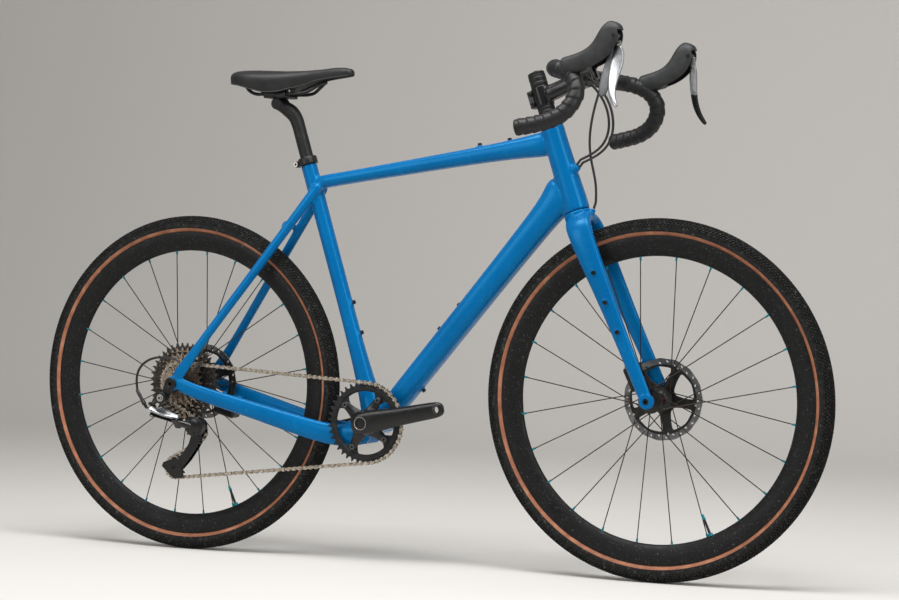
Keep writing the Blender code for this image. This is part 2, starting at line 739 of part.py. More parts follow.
# Wheels
def wheel_tyre(name, axle):
    """A tyre casing, open to the rim on its inner side."""
    half = TYRE_WIDTH / 2
    bead = RIM_RADIUS + SEAT_GAP
    crown = TYRE_RADIUS - 0.0045
    return turned(name, [
        (bead, 0.66 * half), (bead + 0.010, half), (crown, 0.66 * half), (TYRE_RADIUS, 0),
        (crown, -0.66 * half), (bead + 0.010, -half), (bead, -0.66 * half),
        (crown - 0.004, 0),
    ], TYRE_RUBBER, facets=WHEEL_FACETS, centre=axle)


def wheel_rim(name, axle):
    """A deep rim with its valve, which the tyre sits on."""
    half = RIM_WIDTH / 2
    rim = turned(name, [
        (RIM_RADIUS, 0.90 * half), (RIM_RADIUS - 0.020, half),
        (RIM_RADIUS - RIM_DEPTH, 0.36 * half), (RIM_RADIUS - RIM_DEPTH, -0.36 * half),
        (RIM_RADIUS - 0.020, -half),
        (RIM_RADIUS, -0.90 * half), (RIM_RADIUS, -0.74 * half),
        (RIM_RADIUS - 0.010, 0), (RIM_RADIUS, 0.74 * half),
    ], CARBON, facets=WHEEL_FACETS, centre=axle)
    valve_out = polar(VALVE_ANGLE)
    foot = RIM_RADIUS - RIM_DEPTH
    valve = rod(name + "_valve", valve_out * (foot - VALVE_LENGTH), valve_out * (foot + 0.010),
                0.0030, CARBON, facets=8)
    valve.location = axle
    return join(rim, valve)


def rim_seat_radius():
    """Where spokes stop, just inside the flats of the faceted rim."""
    inner = RIM_RADIUS - RIM_DEPTH
    return inner * math.cos(math.pi / WHEEL_FACETS) - SEAT_GAP


def spoked_hub(name, axle, profile, flanges):
    """A hub with crossed spokes; flanges are (offset, radius) right then left."""
    hub = turned(name, profile, BLACK_METAL, facets=12, centre=axle)
    shape = bmesh.new()
    for i in range(SPOKE_COUNT):
        offset, radius = flanges[i % 2]
        lean = SPOKE_LEAN if (i // 2) % 2 else -SPOKE_LEAN
        rim_angle = math.tau * (i + 0.5) / SPOKE_COUNT
        foot = polar(rim_angle + lean) * (radius - 0.003) + SIDE * offset
        tip = polar(rim_angle) * rim_seat_radius() + SIDE * math.copysign(0.0015, offset)
        made = bmesh.new()
        bmesh.ops.create_cone(made, cap_ends=True, segments=3, radius1=SPOKE_THICKNESS / 2,
                              radius2=SPOKE_THICKNESS / 2, depth=(tip - foot).length)
        turn = UP.rotation_difference(tip - foot).to_matrix().to_4x4()
        made.transform(Matrix.Translation((tip + foot) / 2) @ turn)
        one = bpy.data.meshes.new("spoke")
        made.to_mesh(one)
        made.free()
        shape.from_mesh(one)
        bpy.data.meshes.remove(one)
    spokes = from_bmesh(name + "_spokes", shape, BLACK_METAL, cutters)
    spokes.location = axle
    return join(hub, spokes)


def hub_profile(right_flange, left_flange, right_end, left_end, shell, bore, rotor):
    """Outline of a hub shell: flanges, waist, rotor seat, ends and the bore for its axle."""
    flange = FLANGE_RADIUS
    spigot = ROTOR_BORE * math.cos(math.pi / 12) - SEAT_GAP
    seat = rotor - ROTOR_THICKNESS / 2 - SEAT_GAP
    return [
        (bore, left_end), (0.010, left_end), (0.010, seat + 0.006), (spigot, seat + 0.0045),
        (spigot, seat), (ROTOR_SHOULDER, seat), (ROTOR_SHOULDER, seat - 0.0025),
        (0.0125, seat - 0.0040), (0.0125, left_flange + 0.004),
        (flange, left_flange + 0.002), (flange, left_flange - 0.002),
        (shell, left_flange - 0.007), (shell, right_flange + 0.007),
        (flange, right_flange + 0.002), (flange, right_flange - 0.002),
        (0.0125, right_flange - 0.004), (0.0125, right_end + 0.005), (0.010, right_end + 0.0045),
        (0.010, right_end), (bore, right_end),
    ]


def ring_outline(radius, count, start=0.0):
    """Points of a circle."""
    return [(radius * math.cos(math.tau * i / count + start),
             radius * math.sin(math.tau * i / count + start)) for i in range(count)]


def arc(radius, start, end, count):
    """Points along an arc, both ends included."""
    return [(radius * math.cos(start + (end - start) * i / (count - 1)),
             radius * math.sin(start + (end - start) * i / (count - 1))) for i in range(count)]


def brake_rotor(name, axle, offset):
    """A rotor whose carrier arms leave five windows."""
    windows = []
    for i in range(ROTOR_ARMS):
        middle = math.tau * i / ROTOR_ARMS + ROTOR_TURN
        wide = math.pi / ROTOR_ARMS - 0.13
        narrow = math.pi / ROTOR_ARMS - 0.27
        windows.append(arc(ROTOR_RADIUS - ROTOR_TRACK, middle - wide, middle + wide, 3)
                       + arc(ROTOR_HUB_RADIUS, middle + narrow + 0.10, middle - narrow + 0.10, 2))
    return plate(name, [ring_outline(ROTOR_RADIUS, 28), *windows, ring_outline(ROTOR_BORE, 12)],
                 ROTOR_THICKNESS, ROTOR_STEEL, centre=axle + SIDE * offset)



HUB_BORE = clear(AXLE_RADIUS, 12)

front_axis = pivot("front_wheel_axis", FRONT_AXLE)
front_hub = hub_profile(-0.036, 0.024, -FRONT_DROPOUT + END_GAP, FRONT_DROPOUT - END_GAP,
                        0.0125, HUB_BORE, FRONT_ROTOR_OFFSET)
front_wheel = [
    wheel_tyre("front_tyre", FRONT_AXLE),
    wheel_rim("front_rim", FRONT_AXLE),
    spoked_hub("front_hub_and_spokes", FRONT_AXLE, front_hub, ((-0.036, FLANGE_RADIUS),
                                                               (0.024, FLANGE_RADIUS))),
    brake_rotor("front_rotor", FRONT_AXLE, FRONT_ROTOR_OFFSET),
]
rear_axis = pivot("rear_wheel_axis", REAR_AXLE)
rear_hub = hub_profile(-0.019, 0.034, -REAR_DROPOUT + END_GAP, REAR_DROPOUT - END_GAP,
                       0.0150, HUB_BORE, REAR_ROTOR_OFFSET)
rear_wheel = [
    wheel_tyre("rear_tyre", REAR_AXLE),
    wheel_rim("rear_rim", REAR_AXLE),
    spoked_hub("rear_hub_and_spokes", REAR_AXLE, rear_hub, ((-0.019, FLANGE_RADIUS),
                                                            (0.034, FLANGE_RADIUS))),
    brake_rotor("rear_rotor", REAR_AXLE, REAR_ROTOR_OFFSET),
]
carry(front_axis, *front_wheel)
carry(rear_axis, *rear_wheel)


# Drivetrain
def pitch_radius(teeth):
    """Radius at which the chain's pins ride on a wheel with so many teeth."""
    return teeth * CHAIN_PITCH / math.tau


def toothed(teeth, phase, meshing):
    """Outline of a toothed wheel; a meshing one has room for the rollers."""
    radius = pitch_radius(teeth)
    step = math.tau / teeth
    rest = ROOT_HALF_LENGTH / radius if meshing else 0
    places = []
    for i in range(teeth):
        pin = phase + step * i
        places.append((pin - rest, radius - ROLLER_ROOM))
        if meshing:
            places.append((pin + rest, radius - ROLLER_ROOM))
        places.append((pin + step / 2, radius + TOOTH_TIP))
    return [(reach * math.cos(angle), reach * math.sin(angle)) for angle, reach in places]


def wheel_angle(centre, point):
    """Angle of a point round a wheel, in the wheel's own turned outline."""
    away = point - centre
    return math.atan2(-away.z, away.x)


def tangent_points(one, two):
    """Where a chain leaves circle one and meets circle two.

    A circle is (centre, radius, sense); the sense is +1 where the chain runs
    clockwise round it as seen from the drive side.
    """
    (c1, r1, s1), (c2, r2, s2) = one, two
    away = c2 - c1
    distance = math.hypot(away.x, away.z)
    heading = math.atan2(away.z, away.x)
    offset = math.asin((s1 * r1 - s2 * r2) / distance)
    normal = polar(heading + math.pi / 2 - offset)
    return c1 + normal * s1 * r1, c2 + normal * s2 * r2


def chain_loop(circles):
    """Straight runs and arcs of the chain, as (length, place at a share) pairs."""
    pieces = []
    touch = [tangent_points(circles[i], circles[(i + 1) % len(circles)])
             for i in range(len(circles))]
    for i, (centre, radius, sense) in enumerate(circles):
        arrive = touch[i - 1][1] - centre
        leave = touch[i][0] - centre
        start = math.atan2(arrive.z, arrive.x)
        sweep = (math.atan2(leave.z, leave.x) - start) % math.tau
        if sense > 0:
            sweep -= math.tau
        pieces.append((abs(sweep) * radius,
                       lambda t, c=centre, r=radius, a=start, b=sweep: c + polar(a + b * t) * r))
        pieces.append(((touch[i][1] - touch[i][0]).length,
                       lambda t, p=touch[i][0], q=touch[i][1]: p.lerp(q, t)))
    return pieces


def loop_length(circles):
    """Length of the chain round the wheels."""
    return sum(length for length, _ in chain_loop(circles))


def along_loop(pieces, reach):
    """The place at a distance along the loop."""
    total = sum(length for length, _ in pieces)
    reach %= total
    for length, where in pieces:
        if reach <= length:
            return where(reach / length)
        reach -= length
    return pieces[-1][1](1.0)


def chain_wheels(cage_turn):
    """Centres and radii of the four wheels, with the cage turned by an angle."""
    guide = turned_about(GUIDE_REST, CAGE_PIVOT, cage_turn)
    tension = turned_about(TENSION_REST, CAGE_PIVOT, cage_turn)
    ring = BOTTOM_BRACKET - SIDE * CHAINRING_OFFSET
    sprocket = REAR_AXLE + SIDE * SPROCKET_Y
    return [
        (sprocket, pitch_radius(SPROCKET_TEETH[CHAIN_SPROCKET]), 1),
        (ring, pitch_radius(CHAINRING_TEETH), 1),
        (tension, pitch_radius(PULLEY_TEETH), 1),
        (guide, pitch_radius(PULLEY_TEETH), -1),
    ]


def turned_about(point, centre, angle):
    """A point turned round a centre in the bike's plane."""
    away = point - centre
    c, s = math.cos(angle), math.sin(angle)
    return centre + Vector((away.x * c - away.z * s, away.y, away.x * s + away.z * c))


def solve_cage():
    """Turn the cage until the chain's whole number of links fits the loop."""
    low, high = -0.9, 0.9
    goal = CHAIN_LINKS * CHAIN_PITCH
    for _ in range(60):
        middle = (low + high) / 2
        if loop_length(chain_wheels(middle)) > goal:
            low = middle
        else:
            high = middle
    return (low + high) / 2


def near_teeth(spot, wheels):
    """Whether a wheel's teeth reach a place on the chain."""
    return any((spot - centre).length < radius + CHAIN_PITCH * 0.4
               for centre, radius, _ in wheels)


def chain_body(wheels):
    """The chain: links of alternating width, open between their pins where teeth reach."""
    pieces = chain_loop(wheels)
    pitch = sum(length for length, _ in pieces) / CHAIN_LINKS
    shape = bmesh.new()
    pins = []
    middles = []
    blocks = []

    def row(reach, widths):
        here = along_loop(pieces, reach)
        along = (along_loop(pieces, reach + 0.0005) - here).normalized()
        out = along.cross(SIDE)
        return [shape.verts.new(here + out * rise + SIDE * y)
                for rise in (PLATE_HALF, -PLATE_HALF) for y in widths]

    for i in range(CHAIN_LINKS):
        pins.append(along_loop(pieces, i * pitch))
        half = CHAIN_WIDTH / 2 - (PLATE_STEP if i % 2 else 0)
        middles.append(row((i + 0.5) * pitch, (-half, half)))
    open_links = [near_teeth(pin, wheels) or near_teeth(pins[(i + 1) % CHAIN_LINKS], wheels)
                  for i, pin in enumerate(pins)]
    for i in range(CHAIN_LINKS):
        blocks.append(None)
        if open_links[i] or open_links[i - 1]:
            inner = (-CHAIN_BORE / 2, CHAIN_BORE / 2)
            blocks[i] = [row(i * pitch - PIN_BLOCK, inner), row(i * pitch + PIN_BLOCK, inner)]
    for i in range(CHAIN_LINKS):
        last, here = middles[i - 1], middles[i]
        for edge in (0, 1):
            shape.faces.new((last[edge], last[edge + 2], here[edge + 2], here[edge]))
        if not blocks[i]:
            for top in (0, 2):
                shape.faces.new((last[top], here[top], here[top + 1], last[top + 1]))
            continue
        near, far = blocks[i]
        after_open, before_open = open_links[i], open_links[i - 1]
        for top in (0, 2):
            shape.faces.new((last[top], here[top], far[top], near[top]))
            shape.faces.new((near[top + 1], far[top + 1], here[top + 1], last[top + 1]))
            shape.faces.new((near[top], far[top], far[top + 1], near[top + 1]))
            if not before_open:
                shape.faces.new((last[top], near[top], near[top + 1], last[top + 1]))
            if after_open:
                onward = blocks[(i + 1) % CHAIN_LINKS][0]
                shape.faces.new((here[top], onward[top], far[top]))
                shape.faces.new((here[top + 1], far[top + 1], onward[top + 1]))
            else:
                shape.faces.new((here[top], here[top + 1], far[top + 1], far[top]))
        if after_open:
            onward = blocks[(i + 1) % CHAIN_LINKS][0]
            for edge in (0, 1):
                shape.faces.new((far[edge], far[edge + 2], onward[edge + 2], onward[edge]))
            shape.faces.new((far[0], far[2], far[3], far[1]))
        if before_open:
            shape.faces.new((near[0], near[1], near[3], near[2]))
    return from_bmesh("chain", shape, CHAIN_STEEL), pins


def nearest_pin(pins, centre, radius):
    """A pin that lies on a wheel's pitch circle."""
    return min(pins, key=lambda pin: abs((pin - centre).length - radius)
               + abs(pin.y - centre.y))


cage_turn = solve_cage()
wheels = chain_wheels(cage_turn)
sprocket_centre, ring_centre, tension_centre, guide_centre = (wheel[0] for wheel in wheels)
chain, pins = chain_body(wheels)


def toothed_wheel(name, teeth, centre, thickness, surface, bore=None, windows=(), meshed=True,
                  group=bike):
    """A sprocket, chainring or pulley whose teeth sit between the chain's pins."""
    phase = 0.0
    if meshed:
        phase = wheel_angle(centre, nearest_pin(pins, centre, pitch_radius(teeth)))
    outlines = [toothed(teeth, phase, meshed), *windows]
    if bore:
        outlines.append(ring_outline(bore, 12))
    return plate(name, outlines, thickness, surface, group, centre)


def prism(name, outline, thickness, surface, group, centre):
    """A disc of any outline that faces the side, with one face each way."""
    half = SIDE * thickness / 2
    return skin(name, [[centre + Vector((x, 0, -y)) + shift for x, y in outline]
                       for shift in (-half, half)], surface, group)


def make_cassette():
    """Eleven sprockets on one carrier, smallest outermost."""
    first = -FIRST_SPROCKET_OFFSET
    last = first + SPROCKET_PITCH * (len(SPROCKET_TEETH) - 1)
    start = REAR_AXLE + SIDE * (first - 0.0018)
    end = REAR_AXLE + SIDE * (last + 0.0012)
    core = rod("cassette", start, end, CASSETTE_CORE, SPROCKET_STEEL, facets=8)
    rings = []
    for i, teeth in enumerate(SPROCKET_TEETH):
        centre = REAR_AXLE + SIDE * (first + SPROCKET_PITCH * i)
        if i in (CHAIN_SPROCKET, len(SPROCKET_TEETH) - 1):
            meshed = i == CHAIN_SPROCKET
            pin = nearest_pin(pins, centre, pitch_radius(teeth))
            outline = toothed(teeth, wheel_angle(centre, pin) if meshed else 0.0, meshed)
        else:
            sides = 12 if i < CHAIN_SPROCKET else 20
            outline = ring_outline(pitch_radius(teeth) + TOOTH_TIP / 2, sides)
        rings.append(prism(f"cassette_{teeth}", outline, SPROCKET_THICKNESS, SPROCKET_STEEL,
                           cutters, centre))
    join(core, *rings)
    return cut(core, rod("cut_cassette_bore", start - SIDE * 0.01, end + SIDE * 0.01,
                         clear(FREEHUB_RADIUS, 8), SPROCKET_STEEL, cutters, facets=8))


def make_chainring():
    """A single ring with four inner tabs that bolt to the spider."""
    inner = []
    for i, turn in enumerate(SPIDER_TURNS):
        middle = -(CRANK_ANGLE + turn)
        after = -(CRANK_ANGLE + SPIDER_TURNS[(i + 1) % 4])
        after -= math.tau if after > middle else 0
        inner += arc(BOLT_RADIUS - 0.007, middle + 0.09, middle - 0.09, 2)
        inner += arc(RING_INNER, middle - 0.22, after + 0.22, 5)
    return toothed_wheel("chainring", CHAINRING_TEETH, ring_centre, RING_THICKNESS,
                         BLACK_METAL, windows=[inner])


def crank_arm(name, along, side):
    """A crank arm from the axle out to its pedal eye."""
    rows = []
    for reach, width, thickness, centre in (
            (-0.023, 0.026, 0.017, 0.0630), (-0.012, 0.044, 0.020, 0.0640),
            (0.020, 0.047, 0.020, 0.0645), (0.058, 0.040, 0.018, 0.0655),
            (0.100, 0.0350, 0.016, 0.0675),
            (CRANK_LENGTH - 0.018, 0.0330, 0.014, PEDAL_FACE - 0.007),
            (CRANK_LENGTH, 0.0320, 0.014, PEDAL_FACE - 0.007),
            (CRANK_LENGTH + 0.011, 0.024, 0.014, PEDAL_FACE - 0.007),
            (CRANK_LENGTH + 0.0155, 0.012, 0.014, PEDAL_FACE - 0.007)):
        rows.append((BOTTOM_BRACKET + along * reach + SIDE * side * centre, thickness, width, 3.2))
    arm = tube(name, rows, GLOSS_BLACK, count=8)
    eye = BOTTOM_BRACKET + along * CRANK_LENGTH
    pedal_bore = rod("cut_" + name + "_eye", eye + SIDE * side * 0.055, eye + SIDE * side * 0.090,
                     PEDAL_BORE, GLOSS_BLACK, cutters, facets=12)
    return arm, pedal_bore


def make_cranks():
    """The right crank with spider and spindle, and the left crank clamped to it."""
    along = polar(CRANK_ANGLE)
    right, right_eye = crank_arm("crank_right", along, -1)
    spindle = rod("crank_spindle", BOTTOM_BRACKET - SIDE * 0.058, BOTTOM_BRACKET + SIDE * 0.066,
                  SPINDLE_RADIUS, GLOSS_BLACK, facets=14)
    spider_y = CHAINRING_OFFSET + RING_THICKNESS / 2 + SEAT_GAP + SPIDER_THICKNESS / 2
    arms = []
    for i, turn in enumerate(SPIDER_TURNS):
        out = polar(CRANK_ANGLE + turn)
        centre = BOTTOM_BRACKET - SIDE * spider_y
        arms.append(tube(f"crank_spider_{i}", [
            (centre, SPIDER_THICKNESS, 0.030, 5.0),
            (centre + out * 0.030, SPIDER_THICKNESS, 0.017, 5.0),
            (centre + out * (BOLT_RADIUS + 0.006), SPIDER_THICKNESS, 0.015, 5.0),
        ], GLOSS_BLACK, count=4))
    middle = BOTTOM_BRACKET - SIDE * spider_y
    hub = rod("crank_boss", middle + SIDE * SPIDER_THICKNESS / 2, middle - SIDE * 0.014, 0.023,
              GLOSS_BLACK, facets=16)
    join(right, hub, *arms, spindle)
    cut(right, right_eye)
    left, left_eye = crank_arm("crank_left", -along, 1)
    spindle_bore = rod("cut_spindle_bore", BOTTOM_BRACKET + SIDE * 0.045,
                       BOTTOM_BRACKET + SIDE * 0.0664, clear(SPINDLE_RADIUS, 14),
                       GLOSS_BLACK, cutters, facets=14)
    cut(left, left_eye, spindle_bore)
    return right, left


def make_cup(name, side):
    """A pressed bearing cup in the shell, open for the spindle."""
    face = SHELL_WIDTH / 2 + SEAT_GAP
    bore = clear(SPINDLE_RADIUS, 12)
    fit = CUP_RADIUS * math.cos(math.pi / 16) - SEAT_GAP
    return turned(name, [
        (bore, side * (face + 0.0035)), (0.0225, side * (face + 0.0035)), (0.0235, side * face),
        (fit, side * face), (fit, side * (face - 0.012)), (bore, side * (face - 0.012)),
    ], BLACK_METAL, facets=12, centre=BOTTOM_BRACKET)


cassette = make_cassette()
chainring = make_chainring()
crank_right, crank_left = make_cranks()
cup_right = make_cup("bottom_bracket_cup_right", -1)
cup_left = make_cup("bottom_bracket_cup_left", 1)
crank_axis = pivot("crank_axis", BOTTOM_BRACKET)
carry(crank_axis, crank_right, crank_left, chainring)
cassette_axis = pivot("cassette_axis", REAR_AXLE)
carry(cassette_axis, cassette)


# Fork
def make_fork():
    """One arch from dropout to dropout, its crown seat and its steerer."""
    rows = [
        (0.0566, 1.00, 0.026, 0.0115), (0.0562, 0.95, 0.026, 0.0125),
        (0.0525, 0.75, 0.027, 0.0150), (0.0480, 0.51, 0.033, 0.0180),
        (0.0430, 0.28, 0.043, 0.0215), (0.0405, 0.165, 0.048, 0.0235),
        (0.0350, 0.088, 0.051, 0.0265), (0.0200, 0.046, 0.053, 0.029),
    ]
    stations = []
    for side in (1, -1):
        for y, drop, chord, thick in rows[::side]:
            stations.append((leg_line(drop) + SIDE * side * y, chord, thick, 2.3))
    fork = tube("fork", stations, BLUE_PAINT, count=10, across=STEER_FORWARD)
    seat = turned("fork_crown_seat", [
        (0, -CROWN_GAP), (HEAD_LOW_RADIUS, -CROWN_GAP), (HEAD_LOW_RADIUS + 0.001, -0.018),
        (HEAD_LOW_RADIUS - 0.004, -0.026), (0, -0.026),
    ], BLUE_PAINT, facets=20, centre=CROWN, axis=STEER_UP)
    steerer = rod("fork_steerer", CROWN - STEER_UP * 0.010, CROWN + STEER_UP * STEERER_LENGTH,
                  STEERER_RADIUS, BLUE_PAINT, facets=16)
    feet = []
    for side, tag in ((-1, "right"), (1, "left")):
        foot = FRONT_AXLE + SIDE * side * FRONT_DROPOUT
        feet.append(rod("fork_foot_" + tag, foot, foot + SIDE * side * FOOT_THICKNESS,
                        0.0145, BLUE_PAINT, facets=14))
    port = rod("fork_hose_port", FORK_PORT - FORK_PORT_WAY * 0.020, FORK_PORT, 0.0045,
               BLUE_PAINT, facets=8)
    join(fork, seat, steerer, *feet, *fork_bosses(), caliper_pad("front"), port)
    reach = SIDE * 0.075
    cut(fork, rod("cut_front_axle", FRONT_AXLE - reach, FRONT_AXLE + reach,
                  clear(AXLE_RADIUS, 12), BLUE_PAINT, cutters, facets=12))
    return merge_flats(fork)


def leg_line(drop):
    """Centre of the fork legs in the bike's plane, 0 at the crown and 1 at the axle."""
    return CROWN.lerp(FRONT_AXLE, drop) + STEER_FORWARD * 0.002 * (1 - drop)


def fork_bosses():
    """Three threaded bosses on the outside of each leg."""
    found = []
    for side in (-1, 1):
        for drop, y in ((0.330, 0.0520), (0.485, 0.0555), (0.640, 0.0565)):
            foot = leg_line(drop) + SIDE * side * y
            found.append(rod("fork_boss", foot, foot + SIDE * side * 0.0030, 0.0055,
                             BLUE_PAINT, facets=8))
    return found


fork = make_fork()


# Cockpit
def make_spacer(name, low, high, radius, foot_radius=None):
    """A ring round the steerer."""
    foot = foot_radius or radius
    bore = clear(STEERER_RADIUS)
    return turned(name, [(bore, high), (radius, high), (foot, low), (bore, low)],
                  CARBON, facets=16, centre=HEAD_TOP, axis=STEER_UP)


def make_stem():
    """The stem: steerer clamp, body and the rear half of the bar clamp."""
    middle = STEM_MIDDLE
    ahead = (BAR_CENTRE - middle).normalized()
    stem = tube("stem", [
        (middle + ahead * 0.004, 0.036, 0.034, 3.0), (middle + ahead * 0.030, 0.033, 0.031, 2.6),
        (BAR_CENTRE - ahead * 0.032, 0.034, 0.031, 2.6),
        (BAR_CENTRE - ahead * FACE_SPLIT, 0.046, 0.040, 4.0),
    ], GLOSS_BLACK, count=12)
    clamp = rod("stem_clamp", middle - STEER_UP * STEM_CLAMP_HEIGHT / 2,
                middle + STEER_UP * STEM_CLAMP_HEIGHT / 2, 0.0185, GLOSS_BLACK, facets=16)
    lug = block("stem_lug", middle - STEER_FORWARD * 0.019, (0.016, 0.022, 0.034), GLOSS_BLACK,
                along=STEER_FORWARD, bevel=0.002)
    join(stem, clamp, lug)
    reach = STEM_CLAMP_HEIGHT
    cut(stem, rod("cut_stem_steerer", middle - STEER_UP * reach, middle + STEER_UP * reach,
                  clear(STEERER_RADIUS), GLOSS_BLACK, cutters, facets=16),
        rod("cut_stem_bar", BAR_CENTRE - SIDE * 0.04, BAR_CENTRE + SIDE * 0.04,
            clear(BAR_CLAMP_RADIUS), GLOSS_BLACK, cutters, facets=16),
        block("cut_stem_slot", middle - STEER_FORWARD * 0.022, (0.020, 0.0025, 0.060),
              GLOSS_BLACK, cutters, along=STEER_FORWARD))
    face = block("stem_faceplate", BAR_CENTRE + ahead * 0.0095, (0.0185, 0.046, 0.040),
                 GLOSS_BLACK, along=ahead, bevel=0.004)
    cut(face, rod("cut_face_bar", BAR_CENTRE - SIDE * 0.04, BAR_CENTRE + SIDE * 0.04,
                  clear(BAR_CLAMP_RADIUS), GLOSS_BLACK, cutters, facets=16))
    return stem, face


def drop_route(side):
    """Centre line of one half of the bar, from the stem to the end of the drop."""
    places = [
        (0.000, 0.000, 0.000), (0.000, 0.050, 0.000), (0.000, 0.120, 0.001),
        (0.002, 0.165, 0.002), (0.012, 0.193, 0.001), (0.030, HOOD_OFFSET - 0.006, -0.004),
        (BAR_REACH - 0.016, HOOD_OFFSET + 0.003, -0.016),
        (BAR_REACH - 0.002, HOOD_OFFSET + 0.012, -0.038),
        (BAR_REACH - 0.004, HOOD_OFFSET + 0.020, -0.062),
        (BAR_REACH - 0.020, HOOD_OFFSET + 0.028, -0.085),
        (0.022, HOOD_OFFSET + 0.035, -0.100),
        (-0.010, DROP_OFFSET - 0.006, -BAR_DROP + 0.005),
        (-0.038, DROP_OFFSET, -BAR_DROP),
    ]
    return [BAR_CENTRE + Vector((x, side * y, z)) for x, y, z in places]


def bar_line(side):
    """Points of one half of the bar, which the tape and the hood follow too."""
    return smooth_route(drop_route(side), BAR_STEP)


def bar_rings(side, radius, start=0, past=0.0):
    """Rings round one half of the bar, from a numbered point to its end."""
    points = bar_line(side)
    rings = []
    across = UP
    for i, (point, along) in enumerate(zip(points, tangents(points))):
        across = (across - along * across.dot(along)).normalized()
        up = across.cross(along) * side
        shift = along * past * ((i == len(points) - 1) - (i == start))
        size = radius(point) if callable(radius) else radius
        if i >= start:
            rings.append(oval(point + shift, across, up, size * 2, size * 2, 8))
    return rings


def taped(side):
    """Number of the first point of the bar that the tape covers."""
    return next(i for i, point in enumerate(bar_line(side)) if abs(point.y) > TAPE_START)


def make_handlebar():
    """The bar from end to end, thicker where the stem clamps it."""
    def radius(point):
        return BAR_CLAMP_RADIUS if abs(point.y) < 0.045 else BAR_RADIUS

    rings = bar_rings(-1, radius)[:0:-1] + bar_rings(1, radius)
    return skin("handlebar", rings, CARBON)


def make_tape(name, side):
    """Wrapped bar tape, a sleeve along the bar."""
    sleeve = skin(name, bar_rings(side, TAPE_RADIUS, taped(side)), BAR_TAPE)
    bore = bar_rings(side, TAPE_BORE, taped(side), past=0.004)
    return cut(sleeve, skin("cut_" + name, bore, BAR_TAPE, cutters))


cover = make_spacer("headset_cover", SEAT_GAP, COVER_HEIGHT, 0.0180, 0.0230)
spacers = make_spacer("lower_spacers", COVER_HEIGHT + SEAT_GAP, STEM_BASE - SEAT_GAP, 0.0172)
above = STEM_TOP + SEAT_GAP
upper_spacer = make_spacer("upper_spacer", above, above + UPPER_SPACER_HEIGHT, 0.0172)
cap_seat = above + UPPER_SPACER_HEIGHT + SEAT_GAP
top_cap = turned("top_cap", [
    (0, cap_seat + 0.006), (0.0125, cap_seat + 0.006), (0.0165, cap_seat + 0.004),
    (0.0165, cap_seat), (0, cap_seat),
], CARBON, facets=16, centre=HEAD_TOP, axis=STEER_UP)
stem, faceplate = make_stem()
handlebar = make_handlebar()
tape_right = make_tape("bar_tape_right", -1)
tape_left = make_tape("bar_tape_left", 1)
steer_axis = pivot("steering_axis", CROWN)
carry(steer_axis, fork, spacers, stem, faceplate, upper_spacer, top_cap, handlebar,
      tape_right, tape_left)


# Hoods and levers
def hood_place(side, x, y, z):
    """A place given from the bar clamp, with y counted outward."""
    return BAR_CENTRE + Vector((x, side * y, z))


def make_hood(name, side):
    """A rubber hood over the bar, with a pocket for the lever."""
    rows = []
    for x, z, height, width in (
            (0.044, 0.003, 0.034, 0.036), (0.072, 0.011, 0.036, 0.0365),
            (0.098, 0.021, 0.040, 0.038), (0.119, 0.036, 0.048, 0.038),
            (0.1285, 0.057, 0.052, 0.0365), (0.132, 0.075, 0.042, 0.031),
            (0.134, 0.087, 0.022, 0.019)):
        rows.append((hood_place(side, x, HOOD_OFFSET + 0.003, z), width, height, 2.4))
    hood = tube(name, rows, HOOD_RUBBER, count=10)
    sheath = skin("cut_" + name + "_bar", bar_rings(side, TAPE_RADIUS + SEAT_GAP * 2, 3),
                  HOOD_RUBBER, cutters)
    pocket = block("cut_" + name + "_pocket", hood_place(side, 0.151, LEVER_OFFSET, 0.026),
                   (0.060, POCKET_WIDTH, 0.080), HOOD_RUBBER, cutters)
    ramp = block("cut_" + name + "_ramp", hood_place(side, 0.118, LEVER_OFFSET, -0.002),
                 (0.050, POCKET_WIDTH, 0.090), HOOD_RUBBER, cutters,
                 along=polar(math.radians(-27)))
    return cut(hood, sheath, pocket, ramp)


def blade_rows(side):
    """Stations of a brake lever blade below its pivot, flaring outward."""
    rows = []
    for x, y, z, chord, thick in (
            (0.1445, 0.0000, 0.040, 0.0080, 0.0085), (0.1450, 0.0015, 0.026, 0.0160, 0.0095),
            (0.1435, 0.0080, 0.006, 0.0190, 0.0095), (0.1420, 0.0160, -0.014, 0.0170, 0.0090),
            (0.1430, 0.0270, -0.034, 0.0170, 0.0085), (0.1475, 0.0380, -0.052, 0.0130, 0.0080),
            (0.1560, 0.0450, -0.065, 0.0085, 0.0070)):
        rows.append((hood_place(side, x, LEVER_OFFSET + y, z), thick, chord, 2.6))
    return rows


def lever_knuckle(name, side):
    """The cross barrel that a lever turns on, between the walls of the hood."""
    centre = hood_place(side, LEVER_PIVOT[0], LEVER_OFFSET, LEVER_PIVOT[1])
    half = SIDE * (POCKET_WIDTH / 2 - SEAT_GAP)
    return rod(name, centre - half, centre + half, 0.0058, GLOSS_BLACK, facets=12)


def make_left_lever():
    """The left brake lever, whose blade and barrel are one piece."""
    blade = tube("brake_lever_left", blade_rows(1), LEVER_GREY, count=8)
    top = hood_place(1, 0.1445, LEVER_OFFSET, 0.052)
    neck = block("lever_neck_left", top - UP * 0.006, (0.0085, 0.010, 0.018), LEVER_GREY)
    return join(blade, neck, lever_knuckle("lever_barrel_left", 1))


